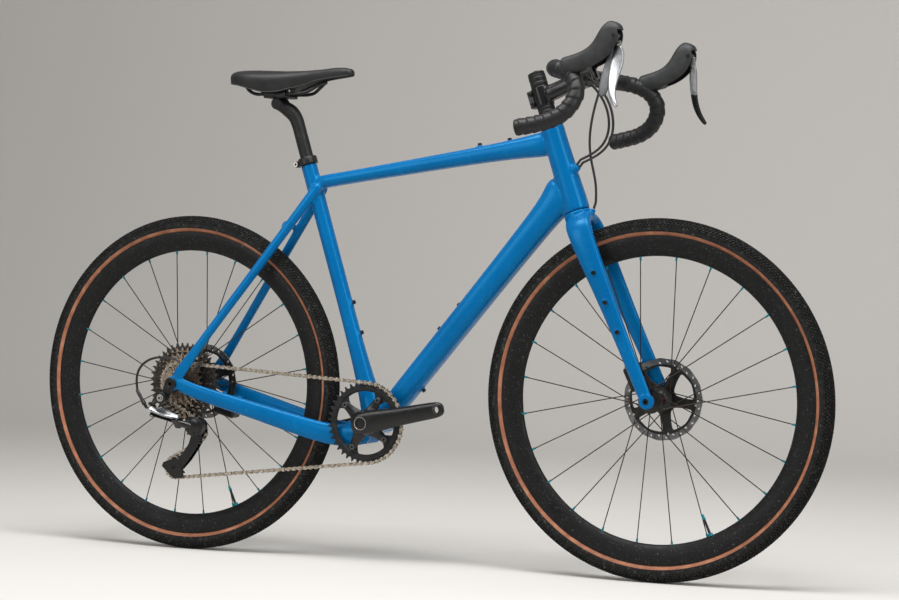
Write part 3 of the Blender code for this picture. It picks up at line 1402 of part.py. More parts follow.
def make_right_lever():
    """Bracket on the brake pivot; blade and shift paddle hang on its fore and aft pins."""
    bracket = lever_knuckle("lever_bracket_right", -1)
    pin_place = hood_place(-1, LEVER_PIVOT[0], LEVER_OFFSET, PIN_HEIGHT)
    cheek = block("bracket_cheek", pin_place + UP * (LEVER_PIVOT[1] - PIN_HEIGHT + 0.001) / 2,
                  (BRACKET_DEPTH, 0.0150, LEVER_PIVOT[1] - PIN_HEIGHT + 0.008), GLOSS_BLACK)
    reach = BRACKET_DEPTH / 2 + EYE_DEPTH
    pin = rod("bracket_pin", pin_place - FORWARD * reach, pin_place + FORWARD * reach,
              PIN_RADIUS, GLOSS_BLACK, facets=8)
    join(bracket, cheek, pin)
    front = pin_place + FORWARD * (BRACKET_DEPTH / 2 + SEAT_GAP)
    back = pin_place - FORWARD * (BRACKET_DEPTH / 2 + SEAT_GAP)
    blade = tube("brake_lever_right", blade_rows(-1)[1:], LEVER_GREY, count=8)
    eye = rod("blade_eye", front, front + FORWARD * EYE_DEPTH, EYE_RADIUS, LEVER_GREY, facets=12)
    neck = block("blade_neck", front + Vector((EYE_DEPTH / 2, 0, -0.0105)),
                 (EYE_DEPTH - 0.0006, 0.008, 0.018), LEVER_GREY)
    join(blade, neck, eye)
    cut(blade, rod("cut_blade_eye", front - FORWARD * 0.001, front + FORWARD * 0.012,
                   clear(PIN_RADIUS, 8), LEVER_GREY, cutters, facets=8))
    rows = []
    for x, y, z, chord, thick in (
            (0.1340, 0.0000, 0.0390, 0.0040, 0.0060), (0.1310, 0.0020, 0.024, 0.0060, 0.0050),
            (0.1235, 0.0080, 0.006, 0.0090, 0.0045), (0.1215, 0.0140, -0.010, 0.0180, 0.0045),
            (0.1215, 0.0240, -0.034, 0.0190, 0.0045), (0.1175, 0.0300, -0.050, 0.0110, 0.0045)):
        rows.append((hood_place(-1, x, LEVER_OFFSET + y, z), thick, chord, 3.0))
    paddle = tube("shift_paddle_right", rows, BLACK_METAL, count=8)
    join(paddle, rod("paddle_eye", back - FORWARD * EYE_DEPTH, back, EYE_RADIUS, BLACK_METAL,
                     facets=12))
    cut(paddle, rod("cut_paddle_eye", back - FORWARD * 0.012, back + FORWARD * 0.001,
                    clear(PIN_RADIUS, 8), BLACK_METAL, cutters, facets=8))
    return bracket, blade, paddle


def make_plug(name, side):
    """The plug in the end of the bar."""
    line = bar_line(side)
    out = (line[-1] - line[-2]).normalized()
    return turned(name, [
        (0, 0.0040), (0.0120, 0.0040), (0.0150, 0.0020), (0.0150, SEAT_GAP), (0, SEAT_GAP),
    ], CARBON, facets=12, centre=line[-1], axis=out)


hood_right = make_hood("hood_right", -1)
hood_left = make_hood("hood_left", 1)
lever_left = make_left_lever()
bracket_right, lever_right, paddle = make_right_lever()
plug_right = make_plug("bar_plug_right", -1)
plug_left = make_plug("bar_plug_left", 1)
lever_axis_left = pivot("brake_lever_left_axis",
                        hood_place(1, LEVER_PIVOT[0], LEVER_OFFSET, LEVER_PIVOT[1]), steer_axis)
lever_axis_right = pivot("brake_lever_right_axis",
                         hood_place(-1, LEVER_PIVOT[0], LEVER_OFFSET, LEVER_PIVOT[1]), steer_axis)
shift_axis = pivot("shift_axis", hood_place(-1, LEVER_PIVOT[0], LEVER_OFFSET, PIN_HEIGHT),
                   lever_axis_right)
carry(lever_axis_left, lever_left)
carry(lever_axis_right, bracket_right)
carry(shift_axis, lever_right, paddle)
carry(steer_axis, hood_right, hood_left, plug_right, plug_left)


# Brakes and axles
def make_caliper(which, low, high):
    """A flat-mount caliper between two heights of y, slotted for its rotor."""
    foot, along, out, half = caliper_frame(which)
    axle = FRONT_AXLE if which == "front" else REAR_AXLE
    offset = FRONT_ROTOR_OFFSET if which == "front" else REAR_ROTOR_OFFSET
    seat = Vector((foot.x, (low + high) / 2, foot.z)) + out * (half + 0.004 + SEAT_GAP)
    body = block(which + "_caliper", seat + out * CALIPER_DEPTH / 2,
                 (CALIPER_LENGTH, high - low, CALIPER_DEPTH), BLACK_METAL, along=along,
                 bevel=0.005)
    middle = axle + SIDE * offset
    slot = SIDE * SLOT_WIDTH / 2
    cut(body, rod("cut_" + which + "_slot", middle - slot, middle + slot, ROTOR_RADIUS + 0.002,
                  BLACK_METAL, cutters, facets=28))
    towards = (seat + out * CALIPER_DEPTH / 2 - axle)
    towards.y = 0
    towards.normalize()
    pads = []
    for side, tag in ((-1, "inner"), (1, "outer")):
        centre = middle + towards * PAD_REACH + SIDE * side * (PAD_CLEARANCE + PAD_THICKNESS / 2
                                                              + ROTOR_THICKNESS / 2)
        pads.append(block(f"{which}_pad_{tag}", centre, (0.015, PAD_THICKNESS, 0.019),
                          ROTOR_STEEL, along=towards))
    return body, pads


def make_axle(name, axle, right, left, facets=12):
    """A thru axle with a head on the left side."""
    return turned(name, [
        (0, left + 0.0045), (0.0085, left + 0.0045), (0.0100, left + 0.0015),
        (0.0100, left + SEAT_GAP), (AXLE_RADIUS, left + SEAT_GAP),
        (AXLE_RADIUS, right + SEAT_GAP), (0, right + SEAT_GAP),
    ], BLACK_METAL, facets=facets, centre=axle)


front_caliper, front_pads = make_caliper("front", 0.0245, 0.0595)
rear_caliper, rear_pads = make_caliper("rear", 0.0330, 0.0690)
carry(steer_axis, front_caliper, *front_pads)
front_thru_axle = make_axle("front_thru_axle", FRONT_AXLE, -FRONT_DROPOUT - FOOT_THICKNESS,
                            FRONT_DROPOUT + FOOT_THICKNESS)
carry(steer_axis, front_thru_axle)
rear_thru_axle = make_axle("rear_thru_axle", REAR_AXLE, -HANGER_FACE - HANGER_THICKNESS,
                           REAR_DROPOUT + DROPOUT_THICKNESS)


# Rear derailleur
def near_axle(x, y, z):
    """A place given from the rear axle."""
    return REAR_AXLE + Vector((x, y, z))


def hull_outline(circles, count=8):
    """Outline round a row of circles (x, z, radius), for a plate facing the side."""
    left, right = [], []
    last = len(circles) - 1
    for i, (x, z, radius) in enumerate(circles):
        before, after = circles[max(i - 1, 0)], circles[min(i + 1, last)]
        heading = math.atan2(after[1] - before[1], after[0] - before[0])
        turns = (math.pi / 2,)
        if i == 0:
            turns = [math.pi / 2 + math.pi / 2 * k / count for k in range(count, -1, -2)]
        if i == last:
            turns = [math.pi / 2 - math.pi / 2 * k / count for k in range(0, count + 1, 2)]
        for turn in turns:
            left.append((x + radius * math.cos(heading + turn),
                         z + radius * math.sin(heading + turn)))
            right.append((x + radius * math.cos(heading - turn),
                          z + radius * math.sin(heading - turn)))
    points = left + right[::-1]
    return [(x, -z) for i, (x, z) in enumerate(points)
            if math.dist((x, z), points[i - 1]) > 0.0004]


def make_hanger():
    """The hanger that the axle clamps and the derailleur bolts to."""
    outline = hull_outline([(0.0, 0.0, 0.0120), (-0.006, -0.013, 0.0095),
                            (HANGER_BOLT[0], HANGER_BOLT[1], 0.0090)], 8)
    holes = [ring_outline(clear(AXLE_RADIUS, 12), 12)]
    return plate("derailleur_hanger", [outline, *holes], HANGER_THICKNESS, BLACK_METAL,
                 centre=near_axle(0, -HANGER_FACE - HANGER_THICKNESS / 2, 0))


def link_frame():
    """Pins of the slanted parallelogram and the way its links point at rest."""
    axis = Vector((0, 1, 1)).normalized()
    across = Vector((0, 1, -1)).normalized()
    along = FORWARD * math.cos(LINK_REST) + across * math.sin(LINK_REST)
    outer = near_axle(*LINK_PIN)
    return axis, across, along, outer, outer + across * LINK_SPREAD


def make_link(name, start, along, axis, surface, depth):
    """A link with an eye at each end, bored for its pins."""
    end = start + along * LINK_LENGTH
    link = block(name, (start + end) / 2, (LINK_LENGTH, 0.0030, depth - 0.0008), surface,
                 along=along, side=along.cross(axis))
    half = axis * (depth / 2)
    join(link, *(rod(f"{name}_boss_{i}", spot - half, spot + half, 0.0046, surface, facets=10)
                 for i, spot in enumerate((start, end))))
    past = half + axis * 0.002
    return cut(link, *(rod(f"cut_{name}_{i}", spot - past, spot + past,
                           clear(LINK_PIN_RADIUS, 8), surface, cutters, facets=8)
                       for i, spot in enumerate((start, end))))


def make_derailleur():
    """Knuckles, links and cage of the derailleur."""
    axis, across, along, outer_pin, inner_pin = link_frame()
    bolt_y = -HANGER_FACE - HANGER_THICKNESS - SEAT_GAP
    bolt = near_axle(HANGER_BOLT[0], bolt_y, HANGER_BOLT[1])
    level = axis * (LINK_DEPTH / 2 + SEAT_GAP + KNUCKLE_DEPTH / 2)
    knuckle = rod("derailleur_knuckle", bolt, bolt - SIDE * 0.0135, 0.0125, GLOSS_BLACK,
                  facets=14)
    plate_middle = (outer_pin + inner_pin) / 2 + level
    carrier = block("knuckle_block", plate_middle, (0.013, LINK_SPREAD + 0.012, KNUCKLE_DEPTH),
                    GLOSS_BLACK, side=across)
    arm = tube("knuckle_arm", [
        (bolt - SIDE * 0.0075, 0.012, 0.018, 2.6),
        (near_axle(-0.0310, bolt_y - 0.0055, -0.0325), 0.0075, 0.013, 2.6),
        (plate_middle - across * 0.005 + axis * 0.0005, 0.006, 0.0045, 2.6),
    ], GLOSS_BLACK, count=8)
    seat = rod("knuckle_barrel_seat", plate_middle - FORWARD * 0.0055, BARREL_START, 0.0042,
               GLOSS_BLACK, facets=8)
    barrel = rod("knuckle_barrel", BARREL_START + (BARREL_START - BARREL_END) * 0.2, BARREL_END,
                 0.0045, GLOSS_BLACK, facets=8)
    pins = []
    for i, pin in enumerate((outer_pin, inner_pin)):
        pins.append(rod(f"knuckle_pin_{i}", pin + level, pin - axis * LINK_DEPTH / 2,
                        LINK_PIN_RADIUS, GLOSS_BLACK, facets=8))
    join(knuckle, arm, carrier, seat, barrel, *pins)
    outer = make_link("derailleur_outer_link", outer_pin, along, axis, LEVER_GREY, LINK_DEPTH)
    inner = make_link("derailleur_inner_link", inner_pin, along, axis, BLACK_METAL, LINK_DEPTH)

    drum_face = CAGE_PIVOT.y - CAGE_HALF - CAGE_PLATE - SEAT_GAP
    drum_centre = Vector((CAGE_PIVOT.x, drum_face, CAGE_PIVOT.z))
    cage_knuckle = rod("derailleur_cage_knuckle", drum_centre, drum_centre - SIDE * 0.016,
                       0.0205, GLOSS_BLACK, facets=16)
    ends = [pin + along * LINK_LENGTH for pin in (outer_pin, inner_pin)]
    low_middle = (ends[0] + ends[1]) / 2 - level
    carrier = block("cage_knuckle_block", low_middle, (0.013, LINK_SPREAD + 0.012,
                                                       KNUCKLE_DEPTH), GLOSS_BLACK, side=across)
    arm = tube("cage_knuckle_arm", [
        (low_middle + FORWARD * 0.002, LINK_SPREAD, KNUCKLE_DEPTH, 3.0),
        (low_middle + FORWARD * 0.012, 0.016, 0.012, 3.0),
        (drum_centre - SIDE * 0.009, 0.013, 0.018, 3.0),
    ], GLOSS_BLACK, count=8, across=across)
    end_pins = []
    for i, pin in enumerate(ends):
        end_pins.append(rod(f"cage_knuckle_pin_{i}", pin - level, pin + axis * LINK_DEPTH / 2,
                            LINK_PIN_RADIUS, GLOSS_BLACK, facets=8))
    join(cage_knuckle, arm, carrier, *end_pins)
    return knuckle, outer, inner, cage_knuckle


def make_cage():
    """Two cage plates on the pulley bolts, turned to where the chain holds them."""
    def turned_place(x, z):
        spot = turned_about(near_axle(x, SPROCKET_Y, z), CAGE_PIVOT, cage_turn)
        return spot.x - REAR_AXLE.x, spot.z - REAR_AXLE.z

    rows = []
    for x, z, radius in ((0.049, -0.086, 0.0130), (0.046, -0.106, 0.0125),
                         (0.034, -0.132, 0.0105), (0.014, -0.155, 0.0105),
                         (-0.012, -0.174, 0.0120)):
        rows.append((*turned_place(x, z), radius))
    cage = None
    for side, name in ((-1, "derailleur_cage"), (1, "cage_inner_plate")):
        centre = REAR_AXLE + SIDE * (SPROCKET_Y + side * (CAGE_HALF + CAGE_PLATE / 2))
        flat = plate(name, [hull_outline(rows, 6)], CAGE_PLATE, BLACK_METAL, centre=centre)
        if cage is None:
            cage = flat
        else:
            join(cage, flat)
    reach = SIDE * (CAGE_HALF + CAGE_PLATE / 2)
    join(cage, *(rod(f"cage_bolt_{i}", middle - reach, middle + reach, PULLEY_PIN, BLACK_METAL,
                     facets=8) for i, middle in enumerate((guide_centre, tension_centre))))
    return cage


def make_pulley(name, centre):
    """A toothed pulley on its bolt."""
    return toothed_wheel(name, PULLEY_TEETH, centre, PULLEY_THICKNESS, CARBON,
                         bore=clear(PULLEY_PIN, 12))


hanger = make_hanger()
knuckle, outer_link, inner_link, cage_knuckle = make_derailleur()
cage = make_cage()
guide_pulley = make_pulley("guide_pulley", guide_centre)
tension_pulley = make_pulley("tension_pulley", tension_centre)
_, _, link_along, outer_pin, inner_pin = link_frame()
outer_axis = pivot("outer_link_axis", outer_pin)
inner_axis = pivot("inner_link_axis", inner_pin)
knuckle_axis = pivot("cage_knuckle_axis", outer_pin + link_along * LINK_LENGTH, outer_axis)
cage_axis = pivot("cage_axis", CAGE_PIVOT, knuckle_axis)
carry(outer_axis, outer_link)
carry(inner_axis, inner_link)
carry(knuckle_axis, cage_knuckle)
carry(cage_axis, cage, guide_pulley, tension_pulley)


# Seat
def make_post():
    """The post, its setback head and the barrel that the clamp tilts on."""
    top = SEAT_TOP + SEAT_UP * POST_SHOWN
    post = rod("seatpost", SEAT_TOP - SEAT_UP * POST_INSERT, top, POST_RADIUS, CARBON, facets=16)
    neck = tube("post_neck", [
        (top - SEAT_UP * 0.004, 0.0265, 0.0265, 2.0),
        (top + SEAT_UP * 0.004 - FORWARD * 0.002, 0.027, 0.025, 2.2),
        (top.lerp(HEAD_PIN, 0.55) + UP * 0.001, 0.030, 0.017, 2.6),
        (HEAD_PIN, 0.034, 0.016, 2.8),
    ], CARBON, count=12)
    barrel = rod("post_barrel", HEAD_PIN - SIDE * 0.019, HEAD_PIN + SIDE * 0.019, HEAD_PIN_RADIUS,
                 CARBON, facets=16)
    return join(post, neck, barrel)


def wire(name, points, radius, surface):
    """A bent wire through the given points."""
    curve = bpy.data.curves.new(name, "CURVE")
    curve.dimensions = "3D"
    curve.bevel_depth = radius
    curve.bevel_resolution = 2
    curve.use_fill_caps = True
    line = curve.splines.new("POLY")
    line.points.add(len(points) - 1)
    for spot, point in zip(line.points, points):
        spot.co = (*point, 1)
    return solid_from_curve(name, curve, surface, bike)


def saddle_place(x, y, z):
    """A place given from the middle of the saddle clamp, z from the ground."""
    return Vector((HEAD_PIN.x + x, y, SADDLE_HEIGHT + z))


def make_rails():
    """Rails from the back of the shell, through the clamp, round its nose."""
    top = SHELL_UNDER - SEAT_GAP
    nose = top - RAIL_RADIUS
    half = [(-0.064, 0.033, top), (-0.064, 0.033, top - 0.007), (-0.060, 0.031, -0.039),
            (-0.052, 0.026, -0.046), (-0.040, RAIL_SPREAD, RAIL_DROP),
            (0.052, RAIL_SPREAD, RAIL_DROP), (0.070, 0.0170, -0.0465), (0.088, 0.0105, -0.0350),
            (0.099, 0.0070, nose - 0.0005), (0.104, 0.0030, nose)]
    points = [saddle_place(*spot) for spot in half]
    return wire("saddle_rails", points + [mirrored(point) for point in reversed(points)],
                RAIL_RADIUS, BLACK_METAL)


def make_saddle_clamp():
    """The clamp that grips the rails and tilts on the post's barrel."""
    centre = saddle_place(0, 0, RAIL_DROP)
    clamp = block("saddle_clamp", centre - UP * 0.002, (CLAMP_LENGTH, RAIL_SPREAD * 2 + 0.016,
                                                        0.013), BLACK_METAL, bevel=0.002)
    reach = FORWARD * CLAMP_LENGTH
    grooves = [rod(f"cut_rail_{side}", centre + SIDE * side * RAIL_SPREAD - reach,
                   centre + SIDE * side * RAIL_SPREAD + reach, clear(RAIL_RADIUS, 8),
                   BLACK_METAL, cutters, facets=8) for side in (-1, 1)]
    barrel = rod("cut_clamp_barrel", HEAD_PIN - SIDE * 0.04, HEAD_PIN + SIDE * 0.04,
                 clear(HEAD_PIN_RADIUS), BLACK_METAL, cutters, facets=16)
    return cut(clamp, *grooves, barrel)


def saddle_stations():
    """Half width, skirt height and top height along the saddle."""
    return [
        (SADDLE_REAR, 0.036, -0.036, -0.003), (-0.090, 0.054, -0.038, -0.001),
        (-0.070, 0.067, -0.039, 0.000), (-0.038, SADDLE_WIDTH / 2, -0.041, 0.000),
        (-0.004, 0.063, -0.042, -0.001), (0.028, 0.043, -0.040, -0.002),
        (0.062, 0.027, -0.035, -0.001), (0.100, 0.0205, -0.030, 0.001),
        (0.134, 0.018, -0.0275, 0.003), (0.156, 0.014, -0.0265, 0.002),
        (SADDLE_REAR + SADDLE_LENGTH, 0.007, -0.0255, -0.004)]


def make_saddle():
    """The moulded shell with its skirt, and the cushion on it."""
    shell_rings, cover_rings = [], []
    for x, half, skirt, top in saddle_stations():
        lip = min(0.006, half * 0.35)
        shell_rings.append([saddle_place(x, y, z) for y, z in (
            (-half, SHELL_LEVEL), (half, SHELL_LEVEL), (half, skirt), (half - lip * 0.6, skirt),
            (half - lip, SHELL_UNDER), (lip - half, SHELL_UNDER), (lip * 0.6 - half, skirt),
            (-half, skirt))])
        low = SHELL_LEVEL + SEAT_GAP
        dip = 0.0035 if -0.05 < x < 0.12 else 0.0
        cover_rings.append([saddle_place(x, y, z) for y, z in (
            (-half, low), (half, low), (half + 0.001, low + 0.008), (half * 0.78, top - 0.001),
            (half * 0.28, top), (0, top - dip), (-half * 0.28, top), (-half * 0.78, top - 0.001),
            (-half - 0.001, low + 0.008))])
    shell = skin("saddle_shell", shell_rings, SADDLE_COVER)
    cover = skin("saddle_cover", cover_rings, SADDLE_COVER)
    soften(cover, SADDLE_HEIGHT + SHELL_LEVEL + SEAT_GAP)
    return shell, cover


def soften(thing, base):
    """Subdivide a cushion once, keeping the edge of its flat base sharp."""
    shape = bmesh.new()
    shape.from_mesh(thing.data)
    crease = shape.edges.layers.float.new("crease_edge")
    for edge in shape.edges:
        heights = [vert.co.z - base for vert in edge.verts]
        faces = [face.calc_center_median().z - base for face in edge.link_faces]
        if max(heights) < 0.0001 and max(faces) > 0.0001:
            edge[crease] = 1.0
    shape.to_mesh(thing.data)
    shape.free()
    round_off = thing.modifiers.new("soften", "SUBSURF")
    round_off.levels = 1
    round_off.render_levels = 1


def make_seat_clamp():
    """The collar that grips the post above the seat tube."""
    bore = clear(POST_RADIUS)
    collar = turned("seat_clamp", [
        (bore, 0.0150), (0.0192, 0.0150), (0.0198, 0.0130), (0.0198, SEAT_GAP), (bore, SEAT_GAP),
    ], BLACK_METAL, facets=16, centre=SEAT_TOP, axis=SEAT_UP)
    middle = SEAT_TOP + SEAT_UP * 0.0077
    join(collar, block("clamp_ears", middle - SEAT_FORWARD * 0.0225, (0.0100, 0.018, 0.0120),
                       BLACK_METAL, along=SEAT_FORWARD, bevel=0.002))
    cut(collar, block("cut_clamp_slit", middle - SEAT_FORWARD * 0.022, (0.0200, 0.002, 0.030),
                      BLACK_METAL, cutters, along=SEAT_FORWARD))
    return collar


post = make_post()
rails = make_rails()
saddle_clamp = make_saddle_clamp()
saddle_shell, saddle_cover = make_saddle()
seat_clamp = make_seat_clamp()
post_axis = pivot("seatpost_axis", SEAT_TOP)
tilt_axis = pivot("saddle_tilt_axis", HEAD_PIN, post_axis)
carry(post_axis, post)
carry(tilt_axis, saddle_clamp, rails, saddle_shell, saddle_cover)


# Hoses and housings
def bar_exit(side, x, z):
    """Where a hose leaves the tape beside the stem."""
    edge = bar_line(side)[taped(side)]
    return Vector((BAR_CENTRE.x + x, edge.y - side * SEAT_GAP, BAR_CENTRE.z + z))


def make_hoses():
    """Front brake hose, rear brake hose, shift housing and the derailleur's loop."""
    start = bar_exit(1, 0.0160, -0.006)
    end = FORK_PORT + FORK_PORT_WAY * SEAT_GAP * 2
    front = cable("front_brake_hose", [
        start, start + Vector((0.002, -0.012, -0.001)), start + Vector((0.004, -0.030, -0.020)),
        start + Vector((-0.008, -0.042, -0.070)), start + Vector((-0.010, -0.054, -0.150)),
        end + FORK_PORT_WAY * 0.045 + SIDE * 0.001, end + FORK_PORT_WAY * 0.020, end],
        HOSE_RADIUS, HOSE)
    inward = HEAD_PORT_WAY.cross(SIDE).normalized()
    mates = []
    for name, x, z, inner in (("rear_brake_hose", 0.0170, -0.004, -1), ("shift_housing", 0.0155,
                                                                        -0.0110, 1)):
        start = bar_exit(-1, x, z)
        end = HEAD_PORT + HEAD_PORT_WAY * SEAT_GAP * 2 + inward * inner * 0.0038
        base = bar_exit(-1, 0.0160, -0.0075)
        offset = -inner * 0.0042
        mates.append(cable(name, [
            start, start + Vector((0.002, 0.012, 0.0)),
            base + Vector((0.025, 0.020, -0.016)) + Vector((0.5, 0, 0.87)) * offset,
            base + Vector((0.046, 0.026, -0.054)) + Vector((0.93, 0, 0.37)) * offset,
            base + Vector((0.049, 0.030, -0.101)) + Vector((1.0, 0, -0.1)) * offset,
            base + Vector((0.033, 0.036, -0.141)) + Vector((0.85, 0, -0.50)) * offset,
            end + HEAD_PORT_WAY * 0.024, end], HOSE_RADIUS, HOSE))
    barrel_way = (BARREL_END - BARREL_START).normalized()
    loop = cable("derailleur_housing", [
        near_axle(0.0178, -HOUSING_SIDE, 0.0442), near_axle(0.004, -HOUSING_SIDE, 0.0530),
        near_axle(-0.030, -0.0760, 0.0590), near_axle(-0.062, -0.0755, 0.0520),
        near_axle(-0.087, -0.0750, 0.0330), near_axle(-0.0965, -0.0740, 0.0100),
        BARREL_END + barrel_way * 0.018, BARREL_END + barrel_way * SEAT_GAP * 2],
        HOSE_RADIUS, HOSE, spacing=0.014)
    return front, mates, loop


front_hose, steering_hoses, derailleur_housing = make_hoses()
carry(steer_axis, front_hose)
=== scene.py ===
"""A gravel bike with drop bars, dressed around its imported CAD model."""
import json
import math

import bmesh
import bpy
from mathutils import Matrix, Vector

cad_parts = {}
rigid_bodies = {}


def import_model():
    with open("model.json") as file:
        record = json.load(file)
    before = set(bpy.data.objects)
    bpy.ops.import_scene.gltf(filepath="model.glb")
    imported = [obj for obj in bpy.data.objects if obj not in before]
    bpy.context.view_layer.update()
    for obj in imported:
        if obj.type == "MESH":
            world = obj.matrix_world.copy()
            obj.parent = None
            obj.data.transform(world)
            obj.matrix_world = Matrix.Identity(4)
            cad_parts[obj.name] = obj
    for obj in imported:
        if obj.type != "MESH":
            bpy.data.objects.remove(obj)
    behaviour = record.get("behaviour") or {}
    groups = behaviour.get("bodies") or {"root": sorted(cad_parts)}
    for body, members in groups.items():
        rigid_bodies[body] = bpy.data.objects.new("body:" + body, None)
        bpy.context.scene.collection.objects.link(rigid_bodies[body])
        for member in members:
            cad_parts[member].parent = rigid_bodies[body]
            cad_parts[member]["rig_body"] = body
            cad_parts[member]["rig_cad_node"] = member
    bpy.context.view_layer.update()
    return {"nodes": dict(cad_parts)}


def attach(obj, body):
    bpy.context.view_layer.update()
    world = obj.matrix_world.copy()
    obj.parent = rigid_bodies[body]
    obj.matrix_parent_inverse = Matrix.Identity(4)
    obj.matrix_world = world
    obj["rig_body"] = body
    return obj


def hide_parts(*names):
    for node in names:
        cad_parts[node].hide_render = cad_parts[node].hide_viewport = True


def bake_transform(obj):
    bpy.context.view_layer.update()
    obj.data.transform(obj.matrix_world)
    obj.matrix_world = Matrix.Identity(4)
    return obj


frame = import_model()

# Photograph and camera
PHOTO_WIDTH = 899
FOCAL_PIXELS = 2277.5
SENSOR_WIDTH = 36.0
CAMERA_PLACE = Vector((1.9506, -4.1442, 0.6129))
CAMERA_YAW = math.radians(24.31)
CAMERA_PITCH = math.radians(0.99)
CAMERA_ROLL = math.radians(0.76)

# Main places of the bike
SIDE = Vector((0, 1, 0))
UP = Vector((0, 0, 1))
FORWARD = Vector((1, 0, 0))
REAR_AXLE = Vector((-0.517, 0, 0.350))
FRONT_AXLE = Vector((0.517, 0, 0.350))
BOTTOM_BRACKET = Vector((-0.080817, 0, 0.285))
SEAT_UP = Vector((-0.295708, 0, 0.955278))
SEAT_FORWARD = Vector((0.955278, 0, 0.295708))
SEAT_TOP = Vector((-0.24198, 0, 0.80563))
STEER_UP = Vector((-0.317305, 0, 0.948324))
STEER_FORWARD = Vector((0.948324, 0, 0.317305))
CROWN = Vector((0.348355, 0, 0.712206))
HEAD_TOP = Vector((0.29378, 0, 0.87531))
HEAD_TUBE = 0.172
TOP_TUBE = (SEAT_TOP - SEAT_UP * 0.040, HEAD_TOP - STEER_UP * 0.030)
DOWN_TUBE_TOP = CROWN + STEER_UP * 0.052
HEAD_PORT = Vector((0.353631, -0.010, 0.800439))
HEAD_PORT_WAY = Vector((0.74, -0.16, 0.65)).normalized()
FORK_PORT = Vector((0.383135, 0, 0.716989))
FORK_PORT_WAY = Vector((0.30, 0, 0.95)).normalized()
BAR_CENTRE = Vector((0.364313, 0, 0.973365))
HEAD_PIN = Vector((-0.309977, 0, 0.931627))
SADDLE_HEIGHT = 1.000

# Corners closer than this are one corner
DOUBLED = 1e-6

# Frame
REAR_DROPOUT = 0.071
DROPOUT_THICKNESS = 0.0085
SHELL_WIDTH = 0.086
SHELL_RADIUS = 0.0265
POST_RADIUS = 0.0136
AXLE_BORE = 0.0063
CALIPER_SLOPE = Vector((math.cos(math.radians(-15)), 0, math.sin(math.radians(-15))))
VOXEL = 0.0023

# Bosses of a fork leg: share of the way down, distance from the middle
LEG_BOSSES = ((0.330, 0.0520), (0.485, 0.0555), (0.640, 0.0565))

# Wheels
SPOKE_COUNT = 24
SPOKE_LEAN = math.radians(62)
SPOKE_RADIUS = 0.00105
FLANGE_RADIUS = 0.0235
RIM_INNER = 0.277
NIPPLE_OFFSET = 0.0015
NIPPLE_REACH = (0.2700, 0.2790)
SPOKE_REACH = (0.0205, 0.2765)
FRONT_FLANGES = (-0.036, 0.024)
FRONT_HUB_END = 0.0495
FRONT_HUB_SHELL = 0.0125
FRONT_ROTOR = 0.0395
REAR_FLANGES = (-0.019, 0.034)
REAR_HUB_END = 0.0705
REAR_HUB_SHELL = 0.0150
REAR_ROTOR = 0.0520
SECTION_CENTRE = 0.3300
SECTION_RADIUS = 0.0178
KNOB_COUNT = 300
BEAD_RADIUS = 0.3132
BEAD_OFFSET = 0.009
TAN_FOOT = 0.3150
TAN_EDGE = 0.3240
VALVE_ANGLE = math.radians(-66)
ROTOR_ARMS = 5
TRACK_OUTER = 0.0794
TRACK_INNER = 0.0655
VENT_COUNT = 30
VENT_REACH = (0.0706, 0.0742)

# Drivetrain
CHAIN_PITCH = 0.0127
CHAIN_LINKS = 120
RING_TEETH = 40
PULLEY_TEETH = 11
SPROCKET_TEETH = (11, 13, 15, 17, 19, 21, 24, 27, 31, 35, 40)
IN_USE = 5
STAGGER = 0.11
SPROCKET_PITCH = 0.0038
FIRST_SPROCKET = 0.0625
CHAIN_LINE = 0.0435
SPROCKET = REAR_AXLE - SIDE * CHAIN_LINE
RING = BOTTOM_BRACKET - SIDE * 0.0495
GUIDE = Vector((-0.474614, -CHAIN_LINE, 0.251779))
TENSION = Vector((-0.525678, -CHAIN_LINE, 0.173775))
CRANK_ANGLE = math.radians(11.5)
CRANK_LENGTH = 0.170
SPIDER_TURNS = [math.radians(turn) for turn in (46, 129, 231, 314)]
SPIDER_OFFSET = 0.0532

# Rear derailleur
CAGE_PIVOT = Vector((-0.469, -CHAIN_LINE, 0.262))
CAGE_TURN = math.radians(2.185)
LINK_AXIS = Vector((0, 1, 1)).normalized()
LINK_ACROSS = Vector((0, 1, -1)).normalized()
LINK_ALONG = FORWARD * math.cos(math.radians(23.6)) + LINK_ACROSS * math.sin(math.radians(23.6))
LINK_LENGTH = 0.060
KNUCKLE_LEVEL = 0.0103
PIN_CARRIER = (0.0130, 0.0260, 0.0062)
OUTER_PIN = REAR_AXLE + Vector((-0.045, -0.087, -0.053))
INNER_PIN = OUTER_PIN + LINK_ACROSS * 0.014
BARREL_START = REAR_AXLE + Vector((-0.0640, -0.0740, -0.0500))
BARREL_END = REAR_AXLE + Vector((-0.0780, -0.0730, -0.0290))

# Cockpit
HOOD_OFFSET = 0.212
LEVER_OFFSET = 0.215
BAR_REACH = 0.068
BAR_DROP = 0.113
DROP_OFFSET = 0.258
BAR_BORE = 0.0162
TAPE_START = 0.050
TAPE_PITCH = 0.0165
TAPE_RADIUS = 0.0147
TAPE_LAP = 0.0019
TAPE_RISE = 0.86
TAPE_END = 0.0140
HOSE_RADIUS = 0.0025


# Camera, floor and lamps

def deselect():
    """Leaves edit mode and deselects everything."""
    if bpy.context.object is not None and bpy.context.object.mode != "OBJECT":
        bpy.ops.object.mode_set(mode="OBJECT")
    bpy.ops.object.select_all(action="DESELECT")


